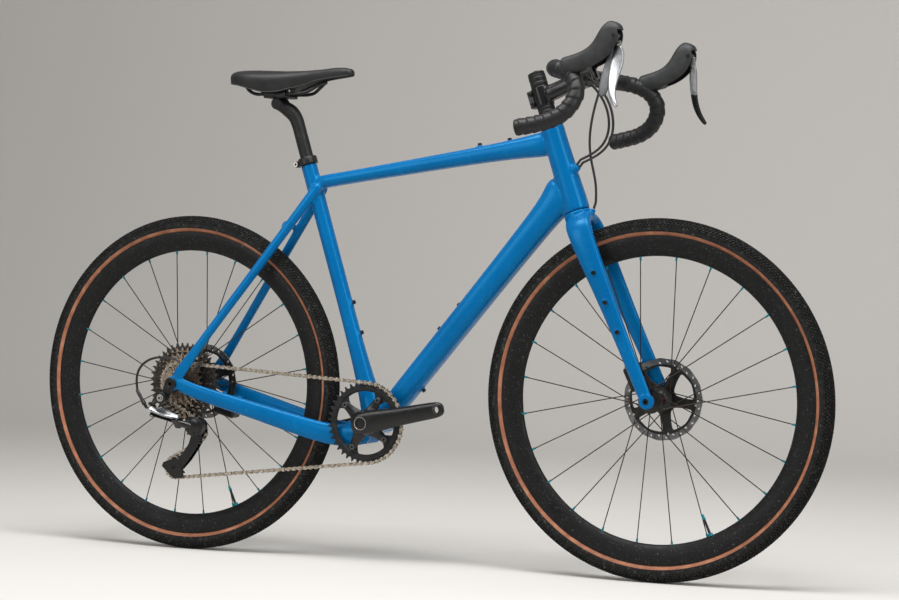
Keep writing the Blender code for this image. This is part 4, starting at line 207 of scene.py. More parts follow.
def make_camera():
    """The camera at the photograph's place, turned as the photograph was taken."""
    cos_yaw, sin_yaw = math.cos(CAMERA_YAW), math.sin(CAMERA_YAW)
    cos_pitch, sin_pitch = math.cos(CAMERA_PITCH), math.sin(CAMERA_PITCH)
    ahead = Vector((-sin_yaw * cos_pitch, cos_yaw * cos_pitch, -sin_pitch))
    right = Vector((cos_yaw, sin_yaw, 0))
    above = right.cross(ahead)
    cos_roll, sin_roll = math.cos(CAMERA_ROLL), math.sin(CAMERA_ROLL)
    across = right * cos_roll + above * sin_roll
    upward = above * cos_roll - right * sin_roll
    turn = Matrix((across, upward, -ahead)).transposed().to_4x4()
    deselect()
    bpy.ops.object.camera_add()
    camera = bpy.context.object
    camera.name = "photo_camera"
    camera.matrix_world = Matrix.Translation(CAMERA_PLACE) @ turn
    camera.data.sensor_width = SENSOR_WIDTH
    camera.data.lens = FOCAL_PIXELS / PHOTO_WIDTH * SENSOR_WIDTH
    camera.data.clip_start = 0.05
    camera.data.clip_end = 100
    bpy.context.scene.camera = camera


def make_stage():
    """A pale floor that bends up into a backdrop, clear when seen from behind."""
    deselect()
    bpy.ops.mesh.primitive_plane_add(size=1)
    sweep = bpy.context.object
    sweep.name = "studio_sweep"
    sweep.scale = (16, 9, 1)
    sweep.location = (0, -2.0, 0)
    bpy.ops.object.transform_apply(location=True, scale=True)
    edit(sweep)
    pick(sweep, lambda spot: spot.y > 2.4, "edges")
    bpy.ops.mesh.extrude_region_move(TRANSFORM_OT_translate={"value": (0, 1.6, 0)})
    bpy.ops.mesh.extrude_region_move(TRANSFORM_OT_translate={"value": (0, 0, 5.0)})
    bpy.ops.object.mode_set(mode="OBJECT")
    bend = sweep.modifiers.new("bend", "BEVEL")
    bend.width = 1.4
    bend.segments = 12
    apply_modifiers(sweep)
    bpy.ops.object.shade_smooth()
    paper = plain_surface("pale_paper", (0.66, 0.64, 0.61), 0.9)
    nodes, links = paper.node_tree.nodes, paper.node_tree.links
    facing = nodes.new("ShaderNodeNewGeometry")
    clear = nodes.new("ShaderNodeBsdfTransparent")
    choice = nodes.new("ShaderNodeMixShader")
    links.new(facing.outputs["Backfacing"], choice.inputs["Fac"])
    links.new(nodes["Principled BSDF"].outputs["BSDF"], choice.inputs[1])
    links.new(clear.outputs["BSDF"], choice.inputs[2])
    links.new(choice.outputs["Shader"], nodes["Material Output"].inputs["Surface"])
    paint(sweep, paper)


def area_lamp(name, place, target, size, power):
    """A large soft lamp aimed at a point."""
    deselect()
    bpy.ops.object.light_add(type="AREA", location=place)
    lamp = bpy.context.object
    lamp.name = name
    lamp.data.shape = "RECTANGLE"
    lamp.data.size, lamp.data.size_y = size
    lamp.data.energy = power
    lamp.rotation_mode = "QUATERNION"
    lamp.rotation_quaternion = (Vector(target) - Vector(place)).to_track_quat("-Z", "Y")


def make_lamps():
    """Soft boxes above and in front, and an even grey world."""
    middle = (0, 0, 0.5)
    area_lamp("overhead_softbox", (0.2, -0.9, 3.0), middle, (3.2, 1.3), 112)
    area_lamp("front_softbox", (-2.2, -3.8, 1.9), middle, (1.8, 1.8), 36)
    area_lamp("right_softbox", (3.4, -1.4, 2.0), middle, (1.0, 2.4), 44)
    world = bpy.data.worlds.new("studio_world")
    world.use_nodes = True
    ground = world.node_tree.nodes["Background"]
    ground.inputs["Color"].default_value = (1, 1, 1, 1)
    ground.inputs["Strength"].default_value = 0.34
    bpy.context.scene.world = world


# Surfaces

NOISE = "ShaderNodeTexNoise"
CELLS = "ShaderNodeTexVoronoi"
EVEN = (1, 1, 1)


def plain_surface(name, colour, roughness, metallic=0.0, coat=0.0, gleam=0.5):
    """A surface of one colour and polish, to which patterns are then added."""
    made = bpy.data.materials.new(name)
    made.use_nodes = True
    shader = made.node_tree.nodes["Principled BSDF"]
    shader.inputs["Base Color"].default_value = (*colour, 1)
    shader.inputs["Roughness"].default_value = roughness
    shader.inputs["Metallic"].default_value = metallic
    shader.inputs["Coat Weight"].default_value = coat
    shader.inputs["Coat Roughness"].default_value = 0.12
    shader.inputs["Specular IOR Level"].default_value = gleam
    return made


def speckle(surface, scale, detail=3.0, stretch=EVEN, kind=NOISE):
    """A pattern over the piece in real metres; its output runs from 0 to 1."""
    nodes, links = surface.node_tree.nodes, surface.node_tree.links
    place = nodes.new("ShaderNodeTexCoord")
    turn = nodes.new("ShaderNodeMapping")
    turn.inputs["Scale"].default_value = stretch
    pattern = nodes.new(kind)
    pattern.inputs["Scale"].default_value = scale
    pattern.inputs["Detail"].default_value = detail
    links.new(place.outputs["Object"], turn.inputs["Vector"])
    links.new(turn.outputs["Vector"], pattern.inputs["Vector"])
    return pattern.outputs[0]


def tint(surface, pattern, stops):
    """Colours the surface along a pattern, by (place, colour) stops."""
    nodes, links = surface.node_tree.nodes, surface.node_tree.links
    ramp = nodes.new("ShaderNodeValToRGB")
    while len(ramp.color_ramp.elements) < len(stops):
        ramp.color_ramp.elements.new(0.5)
    for element, (place, colour) in zip(ramp.color_ramp.elements, stops):
        element.position = place
        element.color = (*colour, 1)
    links.new(pattern, ramp.inputs["Fac"])
    links.new(ramp.outputs["Color"], nodes["Principled BSDF"].inputs["Base Color"])


def polish(surface, pattern, low, high):
    """Varies the roughness along a pattern."""
    nodes, links = surface.node_tree.nodes, surface.node_tree.links
    spread = nodes.new("ShaderNodeMapRange")
    spread.inputs["From Min"].default_value = 0.3
    spread.inputs["From Max"].default_value = 0.7
    spread.inputs["To Min"].default_value = low
    spread.inputs["To Max"].default_value = high
    links.new(pattern, spread.inputs["Value"])
    links.new(spread.outputs["Result"], nodes["Principled BSDF"].inputs["Roughness"])


def emboss(surface, pattern, depth, strength=0.5):
    """Raises the surface along a pattern, by a depth in metres."""
    nodes, links = surface.node_tree.nodes, surface.node_tree.links
    bump = nodes.new("ShaderNodeBump")
    bump.inputs["Distance"].default_value = depth
    bump.inputs["Strength"].default_value = strength
    links.new(pattern, bump.inputs["Height"])
    links.new(bump.outputs["Normal"], nodes["Principled BSDF"].inputs["Normal"])


def patterned(name, colour, roughness, metallic=0.0, coat=0.0, gleam=0.5,
              mottle=None, sheen=None, grain=None):
    """A surface whose colour, roughness and relief each follow a pattern of their own."""
    made = plain_surface(name, colour, roughness, metallic, coat, gleam)
    if mottle:
        tint(made, speckle(made, *mottle[0]), mottle[1:])
    if sheen:
        polish(made, speckle(made, *sheen[0]), *sheen[1:])
    if grain:
        emboss(made, speckle(made, *grain[0]), *grain[1:])
    return made


def grey(level):
    """A neutral colour."""
    return (level, level, level)


def blue_paint():
    """Satin blue paint with a faint orange peel and slight mottling."""
    made = patterned("satin_blue_paint", (0.0008, 0.112, 0.310), 0.26,
                     mottle=((9.0,), (0.30, (0.0006, 0.100, 0.285)),
                             (0.70, (0.0010, 0.122, 0.330))),
                     sheen=((60.0,), 0.21, 0.30), grain=((900.0, 2.0), 0.00010, 0.25))
    shader = made.node_tree.nodes["Principled BSDF"]
    shader.inputs["Specular Tint"].default_value = (0.12, 0.62, 1.0, 1)
    return made


def knob_rubber():
    """Dusty black tread rubber."""
    return patterned("tread_rubber", grey(0.008), 0.72, gleam=0.25,
                     mottle=((160.0, 6.0), (0.38, grey(0.004)), (0.60, (0.012, 0.012, 0.011)),
                             (0.76, (0.090, 0.086, 0.078))),
                     sheen=((90.0,), 0.60, 0.85), grain=((1400.0,), 0.00025))


def sidewall_tan():
    """Brown skinwall with a fine casing weave and some scuffs."""
    return patterned("tan_sidewall", (0.310, 0.110, 0.052), 0.62,
                     mottle=((45.0, 5.0), (0.30, (0.215, 0.074, 0.034)),
                             (0.55, (0.325, 0.120, 0.057)), (0.80, (0.430, 0.215, 0.130))),
                     grain=((2200.0, 2.0), 0.00015))


def rim_carbon():
    """Matt black rim with bluish dusty smears."""
    return patterned("matt_rim_carbon", grey(0.005), 0.46, gleam=0.2,
                     mottle=((300.0, 9.0), (0.50, grey(0.0045)), (0.64, grey(0.010)),
                             (0.76, (0.110, 0.115, 0.120))),
                     sheen=((35.0, 5.0), 0.38, 0.62), grain=((1600.0,), 0.00008, 0.3))


def spoke_black():
    """Black drawn wire."""
    return patterned("black_spoke_wire", (0.030, 0.022, 0.017), 0.34, 0.75,
                     sheen=((500.0,), 0.28, 0.42))


def teal_anodised():
    """Teal anodised alloy of the nipples."""
    return patterned("teal_anodised", (0.010, 0.210, 0.260), 0.30, 0.85,
                     sheen=((700.0,), 0.24, 0.38))


def red_anodised():
    """Red anodised band on the front hub."""
    return patterned("red_anodised", (0.380, 0.014, 0.016), 0.32, 0.80,
                     sheen=((700.0,), 0.26, 0.40))


def black_alloy():
    """Black anodised alloy, rubbed a little on its edges and faces."""
    return patterned("black_anodised_alloy", grey(0.008), 0.34, 0.3, gleam=0.4,
                     mottle=((70.0, 6.0), (0.35, grey(0.005)), (0.72, (0.018, 0.018, 0.019))),
                     sheen=((240.0,), 0.28, 0.46), grain=((2600.0,), 0.00006, 0.3))


def gloss_black():
    """Glossy black finish of crank, stem and derailleur."""
    return patterned("gloss_black_finish", grey(0.004), 0.17, coat=0.12, gleam=0.35,
                     sheen=((55.0, 5.0), 0.16, 0.30), grain=((1200.0,), 0.00004, 0.25))


def matt_carbon():
    """Matt black moulded carbon of post, spacers and bar."""
    return patterned("matt_carbon", grey(0.006), 0.38, gleam=0.28,
                     mottle=((120.0, 4.0), (0.35, grey(0.005)), (0.70, grey(0.013))),
                     sheen=((150.0,), 0.42, 0.56), grain=((2400.0,), 0.00006, 0.3))


def tape_black():
    """Cork-like black bar tape."""
    return patterned("black_bar_tape", grey(0.006), 0.40, gleam=0.32,
                     mottle=((420.0, 4.0), (0.35, grey(0.005)), (0.75, grey(0.018))),
                     sheen=((160.0,), 0.34, 0.54), grain=((1100.0, 3.0), 0.00030, 0.5))


def hood_rubber():
    """Dark grey-black rubber with a fine pebble."""
    return patterned("hood_rubber", (0.012, 0.013, 0.013), 0.42, gleam=0.35,
                     mottle=((60.0, 4.0), (0.30, (0.011, 0.012, 0.012)),
                             (0.75, (0.026, 0.027, 0.027))),
                     sheen=((110.0,), 0.38, 0.54), grain=((1500.0, 1.0, EVEN, CELLS), 0.00022, 0.4))


def saddle_skin():
    """Matt black saddle cover with a leather grain."""
    return patterned("saddle_skin", grey(0.007), 0.44, gleam=0.35,
                     mottle=((30.0, 5.0), (0.30, grey(0.006)), (0.75, grey(0.013))),
                     sheen=((90.0,), 0.42, 0.58), grain=((900.0, 1.0, EVEN, CELLS), 0.00020, 0.35))


def thread_grey():
    """Dark grey stitching thread."""
    return patterned("grey_thread", (0.060, 0.060, 0.062), 0.7, grain=((2500.0,), 0.0001))


def hose_black():
    """Smooth black hose."""
    return patterned("hose_black", (0.006, 0.005, 0.005), 0.34, sheen=((260.0,), 0.30, 0.44))


def lever_silver():
    """Silver-grey anodised lever, softly brushed along its length."""
    brushed = (900.0, 2.0, (1, 1, 0.06))
    return patterned("silver_grey_alloy", (0.30, 0.31, 0.32), 0.30, 0.90,
                     mottle=((40.0, 4.0), (0.30, (0.25, 0.26, 0.27)), (0.75, (0.40, 0.41, 0.42))),
                     sheen=(brushed, 0.24, 0.40), grain=(brushed, 0.00004, 0.25))


def paddle_grey():
    """Grey shift paddle with a fine moulded texture."""
    return patterned("paddle_grey", (0.070, 0.073, 0.076), 0.42, 0.2,
                     mottle=((50.0, 4.0), (0.30, (0.050, 0.052, 0.055)),
                             (0.75, (0.095, 0.098, 0.102))),
                     grain=((1300.0, 1.0, EVEN, CELLS), 0.00025, 0.6))


def bolt_steel():
    """Bright steel of bolt heads and pins."""
    return patterned("bolt_steel", (0.46, 0.45, 0.43), 0.28, 1.0, sheen=((800.0,), 0.22, 0.40))


def bronze_steel():
    """Bronze-silver plating of the sprockets, with oil in the hollows."""
    return patterned("bronze_silver_steel", (0.36, 0.29, 0.22), 0.34, 0.95,
                     mottle=((230.0, 6.0), (0.30, (0.080, 0.060, 0.045)),
                             (0.50, (0.33, 0.265, 0.20)), (0.78, (0.56, 0.49, 0.41))),
                     sheen=((320.0,), 0.24, 0.48), grain=((1800.0,), 0.00006, 0.3))


def chain_steel():
    """Bright silver plates of the chain, with a film of oil."""
    return patterned("chain_steel", (0.50, 0.44, 0.36), 0.30, 0.95,
                     mottle=((260.0, 5.0), (0.28, (0.16, 0.13, 0.10)), (0.55, (0.50, 0.44, 0.36)),
                             (0.80, (0.72, 0.67, 0.60))),
                     sheen=((400.0,), 0.22, 0.42))


def dark_steel():
    """Dark grey teeth of the largest sprocket, lightly worn."""
    return patterned("dark_sprocket_steel", (0.045, 0.042, 0.038), 0.40, 0.8,
                     mottle=((240.0, 5.0), (0.35, (0.022, 0.020, 0.018)),
                             (0.70, (0.085, 0.078, 0.070))),
                     sheen=((300.0,), 0.32, 0.52))


def socket_dark():
    """Nearly black inside of sockets and slots, with a little dust."""
    return patterned("socket_shadow", grey(0.006), 0.6,
                     mottle=((500.0,), (0.4, grey(0.004)), (0.8, (0.014, 0.013, 0.012))))


def rotor_steel():
    """Ground stainless steel of the brake track, darkened by heat."""
    return patterned("rotor_steel", grey(0.17), 0.32, 1.0,
                     mottle=((90.0, 5.0), (0.30, (0.10, 0.10, 0.105)), (0.75, (0.24, 0.24, 0.235))),
                     sheen=((1300.0, 2.0), 0.24, 0.42))


# Ways of making pieces

def select_only(thing):
    """Makes one object the selected and active one."""
    deselect()
    thing.select_set(True)
    bpy.context.view_layer.objects.active = thing


def edit(thing):
    """Opens a piece in edit mode with nothing selected."""
    select_only(thing)
    bpy.ops.object.mode_set(mode="EDIT")
    bpy.ops.mesh.select_all(action="DESELECT")


def leave_edit():
    """Merges doubled corners, turns the faces outward and leaves edit mode."""
    bpy.ops.mesh.select_all(action="SELECT")
    bpy.ops.mesh.remove_doubles(threshold=DOUBLED)
    bpy.ops.mesh.normals_make_consistent(inside=False)
    bpy.ops.object.mode_set(mode="OBJECT")


def pick(thing, test, kind="faces"):
    """Selects the faces or edges whose middle passes a test."""
    shape = bmesh.from_edit_mesh(thing.data)
    for part in getattr(shape, kind):
        if test(sum((corner.co for corner in part.verts), Vector()) / len(part.verts)):
            part.select_set(True)
    bmesh.update_edit_mesh(thing.data)


def apply_modifiers(thing):
    """Applies all modifiers of a piece."""
    select_only(thing)
    for modifier in list(thing.modifiers):
        bpy.ops.object.modifier_apply(modifier=modifier.name)


def paint(thing, surface):
    """Gives a piece one surface all over."""
    thing.data.materials.clear()
    thing.data.materials.append(surface)
    return thing


def join(target, *others):
    """Joins pieces into the first, each keeping its surface."""
    deselect()
    for thing in (target, *others):
        thing.select_set(True)
    bpy.context.view_layer.objects.active = target
    bpy.ops.object.join()
    return target


def settle(thing, body, stands_for=(), smooth=40):
    """Finishes a piece: modifiers and place applied, shaded, and riding on its body."""
    apply_modifiers(thing)
    bpy.ops.object.transform_apply(location=True, rotation=True, scale=True)
    bpy.ops.object.shade_smooth_by_angle(angle=math.radians(smooth))
    thing.data.name = thing.name
    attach(thing, body)
    if stands_for:
        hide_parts(*stands_for)
    return thing


def soften(thing, levels):
    """Subdivides a cage into a smooth surface."""
    rounded = thing.modifiers.new("rounded", "SUBSURF")
    rounded.levels = levels
    rounded.render_levels = levels
    apply_modifiers(thing)
    return thing


def break_edges(thing, width, segments=2, angle=30):
    """Rounds the sharp edges of a piece."""
    edge = thing.modifiers.new("edges", "BEVEL")
    edge.width = width
    edge.segments = segments
    edge.limit_method = "ANGLE"
    edge.angle_limit = math.radians(angle)
    apply_modifiers(thing)
    return thing


def oval(centre, across, up, width, height, count=16, power=2.0):
    """Points of a superellipse; a higher power makes it squarer."""
    points = []
    for i in range(count):
        angle = math.tau * (i + 0.5) / count
        c, s = math.cos(angle), math.sin(angle)
        x = math.copysign(abs(c) ** (2 / power), c) * width / 2
        y = math.copysign(abs(s) ** (2 / power), s) * height / 2
        points.append(centre + across * x + up * y)
    return points


def wrap(name, rings, surface):
    """A grid laid through rings of points, its seam merged and its ends closed."""
    deselect()
    bpy.ops.mesh.primitive_grid_add(x_subdivisions=len(rings[0]), y_subdivisions=len(rings) - 1,
                                    size=1)
    piece = bpy.context.object
    piece.name = name
    spots = [spot for ring in rings for spot in (*ring, ring[0])]
    for corner, spot in zip(piece.data.vertices, spots):
        corner.co = spot
    edit(piece)
    bpy.ops.mesh.select_all(action="SELECT")
    bpy.ops.mesh.remove_doubles(threshold=DOUBLED)
    bpy.ops.mesh.select_all(action="SELECT")
    bpy.ops.mesh.fill_holes(sides=0)
    leave_edit()
    return paint(piece, surface)


def spun(name, profile, surface, centre, axis=SIDE, steps=48):
    """A closed outline of (radius, height) points spun right round an axis."""
    axis = axis.normalized()
    out = axis.orthogonal().normalized() if abs(axis.y) < 0.99 else UP.copy()
    deselect()
    bpy.ops.mesh.primitive_circle_add(vertices=len(profile), radius=1)
    piece = bpy.context.object
    piece.name = name
    for corner, (radius, height) in zip(piece.data.vertices, profile):
        corner.co = Vector(centre) + out * radius + axis * height
    edit(piece)
    shape = bmesh.from_edit_mesh(piece.data)
    on_axis = [edge for edge in shape.edges
               if all((corner.co - Vector(centre)).cross(axis).length < DOUBLED
                      for corner in edge.verts)]
    bmesh.ops.delete(shape, geom=on_axis, context="EDGES_FACES")
    bmesh.update_edit_mesh(piece.data)
    bpy.ops.mesh.select_all(action="SELECT")
    bpy.ops.mesh.spin(steps=steps, angle=math.tau, center=centre, axis=axis, use_auto_merge=True)
    leave_edit()
    return paint(piece, surface)


def rod(name, start, end, radius, surface, facets=16, tip=None):
    """A round bar between two points, which may taper."""
    start, end = Vector(start), Vector(end)
    deselect()
    bpy.ops.mesh.primitive_cone_add(vertices=facets, radius1=radius,
                                    radius2=radius if tip is None else tip,
                                    depth=(end - start).length)
    piece = bpy.context.object
    piece.name = name
    turn = UP.rotation_difference(end - start).to_matrix().to_4x4()
    piece.data.transform(Matrix.Translation((start + end) / 2) @ turn)
    return paint(piece, surface)


def through(name, centre, reach, radius, surface, facets=32):
    """A round bar that reaches as far to both sides of a place."""
    return rod(name, centre - reach, centre + reach, radius, surface, facets)


def block(name, centre, size, surface, along=FORWARD, side=SIDE):
    """A box with its length, width and height along given directions."""
    deselect()
    bpy.ops.mesh.primitive_cube_add(size=1)
    piece = bpy.context.object
    piece.name = name
    along = along.normalized()
    side = (side - along * side.dot(along)).normalized()
    rise = along.cross(side)
    turn = Matrix((along * size[0], side * size[1], rise * size[2])).transposed().to_4x4()
    piece.data.transform(Matrix.Translation(centre) @ turn)
    return paint(piece, surface)


def turned_to_mesh(curve, surface, move):
    """A mesh piece from a curve, moved by a matrix."""
    drawn = bpy.data.objects.new(curve.name, curve)
    bpy.context.scene.collection.objects.link(drawn)
    select_only(drawn)
    bpy.ops.object.convert(target="MESH")
    piece = bpy.context.object
    piece.data.transform(move)
    edit(piece)
    leave_edit()
    return paint(piece, surface)


def plate(name, outlines, thickness, surface, centre, bevel=0.0):
    """A flat plate from closed outlines of (x, z) points; later ones are its holes."""
    curve = bpy.data.curves.new(name, "CURVE")
    curve.dimensions = "2D"
    curve.fill_mode = "BOTH"
    curve.extrude = thickness / 2 - bevel
    curve.bevel_depth = bevel
    curve.bevel_resolution = 0
    for outline in outlines:
        line = curve.splines.new("POLY")
        line.points.add(len(outline) - 1)
        for spot, (x, z) in zip(line.points, outline):
            spot.co = (x, z, 0, 1)
        line.use_cyclic_u = True
    upright = Matrix(((1, 0, 0), (0, 0, -1), (0, 1, 0))).to_4x4()
    return turned_to_mesh(curve, surface, Matrix.Translation(centre) @ upright)


def tubing(name, route, radius, surface, step=0.006, resolution=3):
    """A round tube along a smooth route."""
    curve = bpy.data.curves.new(name, "CURVE")
    curve.dimensions = "3D"
    curve.bevel_depth = radius
    curve.bevel_resolution = resolution
    curve.use_fill_caps = True
    points = smooth_line(route, step)
    line = curve.splines.new("POLY")
    line.points.add(len(points) - 1)
    for spot, point in zip(line.points, points):
        spot.co = (*point, 1)
    return turned_to_mesh(curve, surface, Matrix())


def smooth_line(places, step):
    """Points at about equal steps on a smooth line through the places."""
    places = [Vector(place) for place in places]
    ends = [places[0] * 2 - places[1], *places, places[-1] * 2 - places[-2]]
    found = [places[0]]
    for before, start, end, after in zip(ends, ends[1:], ends[2:], ends[3:]):
        pieces = max(1, round((end - start).length / step))
        for i in range(1, pieces + 1):
            t = i / pieces
            found.append(0.5 * (start * 2 + (end - before) * t
                                + (before * 2 - start * 5 + end * 4 - after) * t * t
                                + (start * 3 - before - end * 3 + after) * t ** 3))
    return found


def directions(points):
    """Direction of travel at each point of an open line."""
    return [(points[min(i + 1, len(points) - 1)] - points[max(i - 1, 0)]).normalized()
            for i in range(len(points))]


def loft(name, stations, surface, across=SIDE, count=16):
    """A tube through stations of (point, width, height, power), subdivided smooth."""
    grow = 3 / (2 + math.cos(math.tau / count))
    points = [station[0] for station in stations]
    rings = []
    for (point, width, height, power), along in zip(stations, directions(points)):
        side = (across - along * across.dot(along)).normalized()
        rings.append(oval(point, side, side.cross(along), width * grow, height * grow, count,
                          power))
    return soften(wrap(name, rings, surface), 2)


def ring_of(thing, count, centre):
    """Repeats a piece round a wheel's axis, the copies joined to it."""
    deselect()
    bpy.ops.object.empty_add()
    marker = bpy.context.object
    turn = Matrix.Rotation(math.tau / count, 4, SIDE)
    marker.matrix_world = Matrix.Translation(centre) @ turn @ Matrix.Translation(-centre)
    bpy.context.view_layer.update()
    repeat = thing.modifiers.new("repeat", "ARRAY")
    repeat.count = count
    repeat.use_relative_offset = False
    repeat.use_object_offset = True
    repeat.offset_object = marker
    apply_modifiers(thing)
    bpy.data.objects.remove(marker)
    return thing


def copy_of(thing, name, move):
    """A copy with its own mesh, moved by a matrix."""
    select_only(thing)
    bpy.ops.object.duplicate()
    made = bpy.context.object
    made.name = name
    made.data.transform(move)
    return made


def hollow(thing, *cutters):
    """Cuts the given solids out of a piece."""
    for cutter in cutters:
        cutting = thing.modifiers.new("cut", "BOOLEAN")
        cutting.operation = "DIFFERENCE"
        cutting.solver = "MANIFOLD"
        cutting.object = cutter
        apply_modifiers(thing)
        bpy.data.objects.remove(cutter)
    return thing


def fuse(name, parts, voxel, rounds):
    """Merges overlapping solids into one moulded skin with soft joints."""
    skin = join(*parts) if len(parts) > 1 else parts[0]
    skin.name = name
    melt = skin.modifiers.new("melt", "REMESH")
    melt.mode = "VOXEL"
    melt.voxel_size = voxel
    smooth = skin.modifiers.new("smooth", "SMOOTH")
    smooth.factor = 0.5
    smooth.iterations = rounds
    apply_modifiers(skin)
    return skin


def dressed(node, name, surface, width=0.0006, segments=2, angle=30):
    """A copy of a CAD node's shape, merged and with its edges broken."""
    select_only(frame["nodes"][node])
    bpy.ops.object.duplicate()
    piece = bpy.context.object
    piece.parent = None
    piece.name = name
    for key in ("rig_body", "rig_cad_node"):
        if key in piece:
            del piece[key]
    edit(piece)
    bpy.ops.mesh.select_all(action="SELECT")
    bpy.ops.mesh.remove_doubles(threshold=DOUBLED)
    bpy.ops.mesh.dissolve_limited(angle_limit=math.radians(1))
    bpy.ops.object.mode_set(mode="OBJECT")
    if width:
        break_edges(piece, width, segments, angle)
    return paint(piece, surface)


def polar(angle):
    """A direction in the bike's plane, by its angle up from straight ahead."""
    return Vector((math.cos(angle), 0, math.sin(angle)))


def spot_at(reach, angle):
    """A flat (x, z) point by its distance and angle from a wheel's middle."""
    return (reach * math.cos(angle), reach * math.sin(angle))


def near_axle(x, y, z):
    """A place given from the rear axle."""
    return REAR_AXLE + Vector((x, y, z))


def circle(radius, count, x=0.0, z=0.0):
    """Points of a circle in a wheel's plane."""
    spots = (spot_at(radius, math.tau * i / count) for i in range(count))
    return [(x + across, z + rise) for across, rise in spots]


def notched(radius, count, every, share):
    """A circle whose every first two points of a few lie further in."""
    return [(x * share, z * share) if i % every < 2 else (x, z)
            for i, (x, z) in enumerate(circle(radius, count))]


def both_sides(half):
    """A closed wheel profile from the points of its left half."""
    return half + [(radius, -offset) for radius, offset in reversed(half[1:-1])]


# Frame and fork

def stay(name, side, stations, surface):
    """A stay whose stations are (x, y, z, width, depth) from the rear axle."""
    rows = [(near_axle(x, side * y, z), width, depth, 2.2) for x, y, z, width, depth in stations]
    return loft(name, rows, surface, count=12)


def main_tubes(surface):
    """Seat, top, down and head tube and the shell for the crank's bearings."""
    seat = loft("seat_tube", [
        (BOTTOM_BRACKET + SEAT_UP * 0.004, 0.054, 0.050, 2.4),
        (BOTTOM_BRACKET + SEAT_UP * 0.010, 0.054, 0.050, 2.4),
        (BOTTOM_BRACKET + SEAT_UP * 0.070, 0.036, 0.040, 2.2),
        (BOTTOM_BRACKET + SEAT_UP * 0.160, 0.030, 0.031, 2.0),
        (BOTTOM_BRACKET + SEAT_UP * 0.420, 0.032, 0.032, 2.0),
        (SEAT_TOP - SEAT_UP * 0.004, 0.033, 0.033, 2.0),
        (SEAT_TOP - SEAT_UP * 0.001, 0.033, 0.033, 2.0), (SEAT_TOP, 0.033, 0.033, 2.0)], surface)
    rear, front = TOP_TUBE
    top = loft("top_tube", [
        (rear, 0.032, 0.031, 2.3), (rear.lerp(front, 0.09), 0.034, 0.025, 2.8),
        (rear.lerp(front, 0.40), 0.035, 0.029, 3.0), (rear.lerp(front, 0.75), 0.036, 0.033, 3.0),
        (rear.lerp(front, 0.91), 0.038, 0.044, 2.6), (front, 0.040, 0.056, 2.2)], surface)
    high = DOWN_TUBE_TOP
    low = BOTTOM_BRACKET + FORWARD * 0.012
    down = loft("down_tube", [
        (low, 0.060, 0.046, 2.4), (low.lerp(high, 0.12), 0.050, 0.048, 2.8),
        (low.lerp(high, 0.62), 0.048, 0.049, 3.0), (low.lerp(high, 0.85), 0.048, 0.055, 2.6),
        (low.lerp(high, 0.93), 0.048, 0.062, 2.4), (high, 0.046, 0.096, 2.2)], surface)
    head = spun("head_tube", [
        (0, HEAD_TUBE), (0.0235, HEAD_TUBE), (0.0235, HEAD_TUBE - 0.030), (0.0245, 0.080),
        (0.0265, 0.020), (0.0265, 0), (0, 0)], surface, CROWN, STEER_UP)
    shell = through("crank_shell", BOTTOM_BRACKET, SIDE * SHELL_WIDTH / 2, SHELL_RADIUS, surface,
                    48)
    return [seat, top, down, head, shell]


def rear_stays(surface):
    """Seatstays, chainstays, bridge, yoke and dropouts."""
    parts = []
    high = SEAT_TOP - SEAT_UP * 0.062 + SIDE * 0.018 - REAR_AXLE
    foot = Vector((0.029, REAR_DROPOUT, 0.036))
    low = BOTTOM_BRACKET - REAR_AXLE
    hug = REAR_DROPOUT + DROPOUT_THICKNESS / 2
    for side, tag in ((-1, "right"), (1, "left")):
        rows = []
        for share, y, width, depth in (
                (-0.06, 0.012, 0.018, 0.024), (0.03, 0.018, 0.017, 0.020),
                (0.38, 0.039, 0.017, 0.0185), (0.66, 0.057, 0.017, 0.018),
                (0.86, 0.070, 0.016, 0.018), (1.0, hug, DROPOUT_THICKNESS, 0.024)):
            spot = high.lerp(foot, share)
            rows.append((spot.x, y, spot.z, width, depth))
        rows.append((0.006, hug, 0.008, DROPOUT_THICKNESS, 0.030))
        parts.append(stay("seatstay_" + tag, side, rows, surface))
        parts.append(stay("chainstay_" + tag, side, [
            (0.002, hug, 0.008, DROPOUT_THICKNESS, 0.028),
            (0.034, hug, -0.009, DROPOUT_THICKNESS, 0.030),
            (0.100, 0.0655, -0.028, 0.016, 0.032), (0.170, 0.0555, -0.046, 0.019, 0.034),
            (0.270, 0.0400, -0.075, 0.019, 0.040), (0.338, 0.0330, -0.092, 0.018, 0.043),
            (low.x - 0.046, 0.0300, low.z - 0.031, 0.023, 0.046),
            (low.x + 0.004, 0.0250, low.z - 0.018, 0.028, 0.046)], surface))
        inner = REAR_AXLE + SIDE * side * REAR_DROPOUT
        parts.append(rod("dropout_" + tag, inner, inner + SIDE * side * DROPOUT_THICKNESS, 0.0155,
                         surface, 32))
    parts.append(block("yoke", BOTTOM_BRACKET + Vector((-0.030, 0, -0.022)), (0.044, 0.058, 0.046),
                       surface))
    middle = REAR_AXLE + high.lerp(foot, 0.22)
    middle.y = 0
    arch = [(middle - FORWARD * 0.0072 * across + SIDE * y + UP * rise, 0.012, 0.011, 2.0)
            for across, y, rise in ((0, -0.029, 0), (1, -0.019, 0.015), (1.4, 0, 0.021),
                                    (1, 0.019, 0.015), (0, 0.029, 0))]
    parts.append(loft("bridge", arch, surface, across=FORWARD, count=12))
    return parts


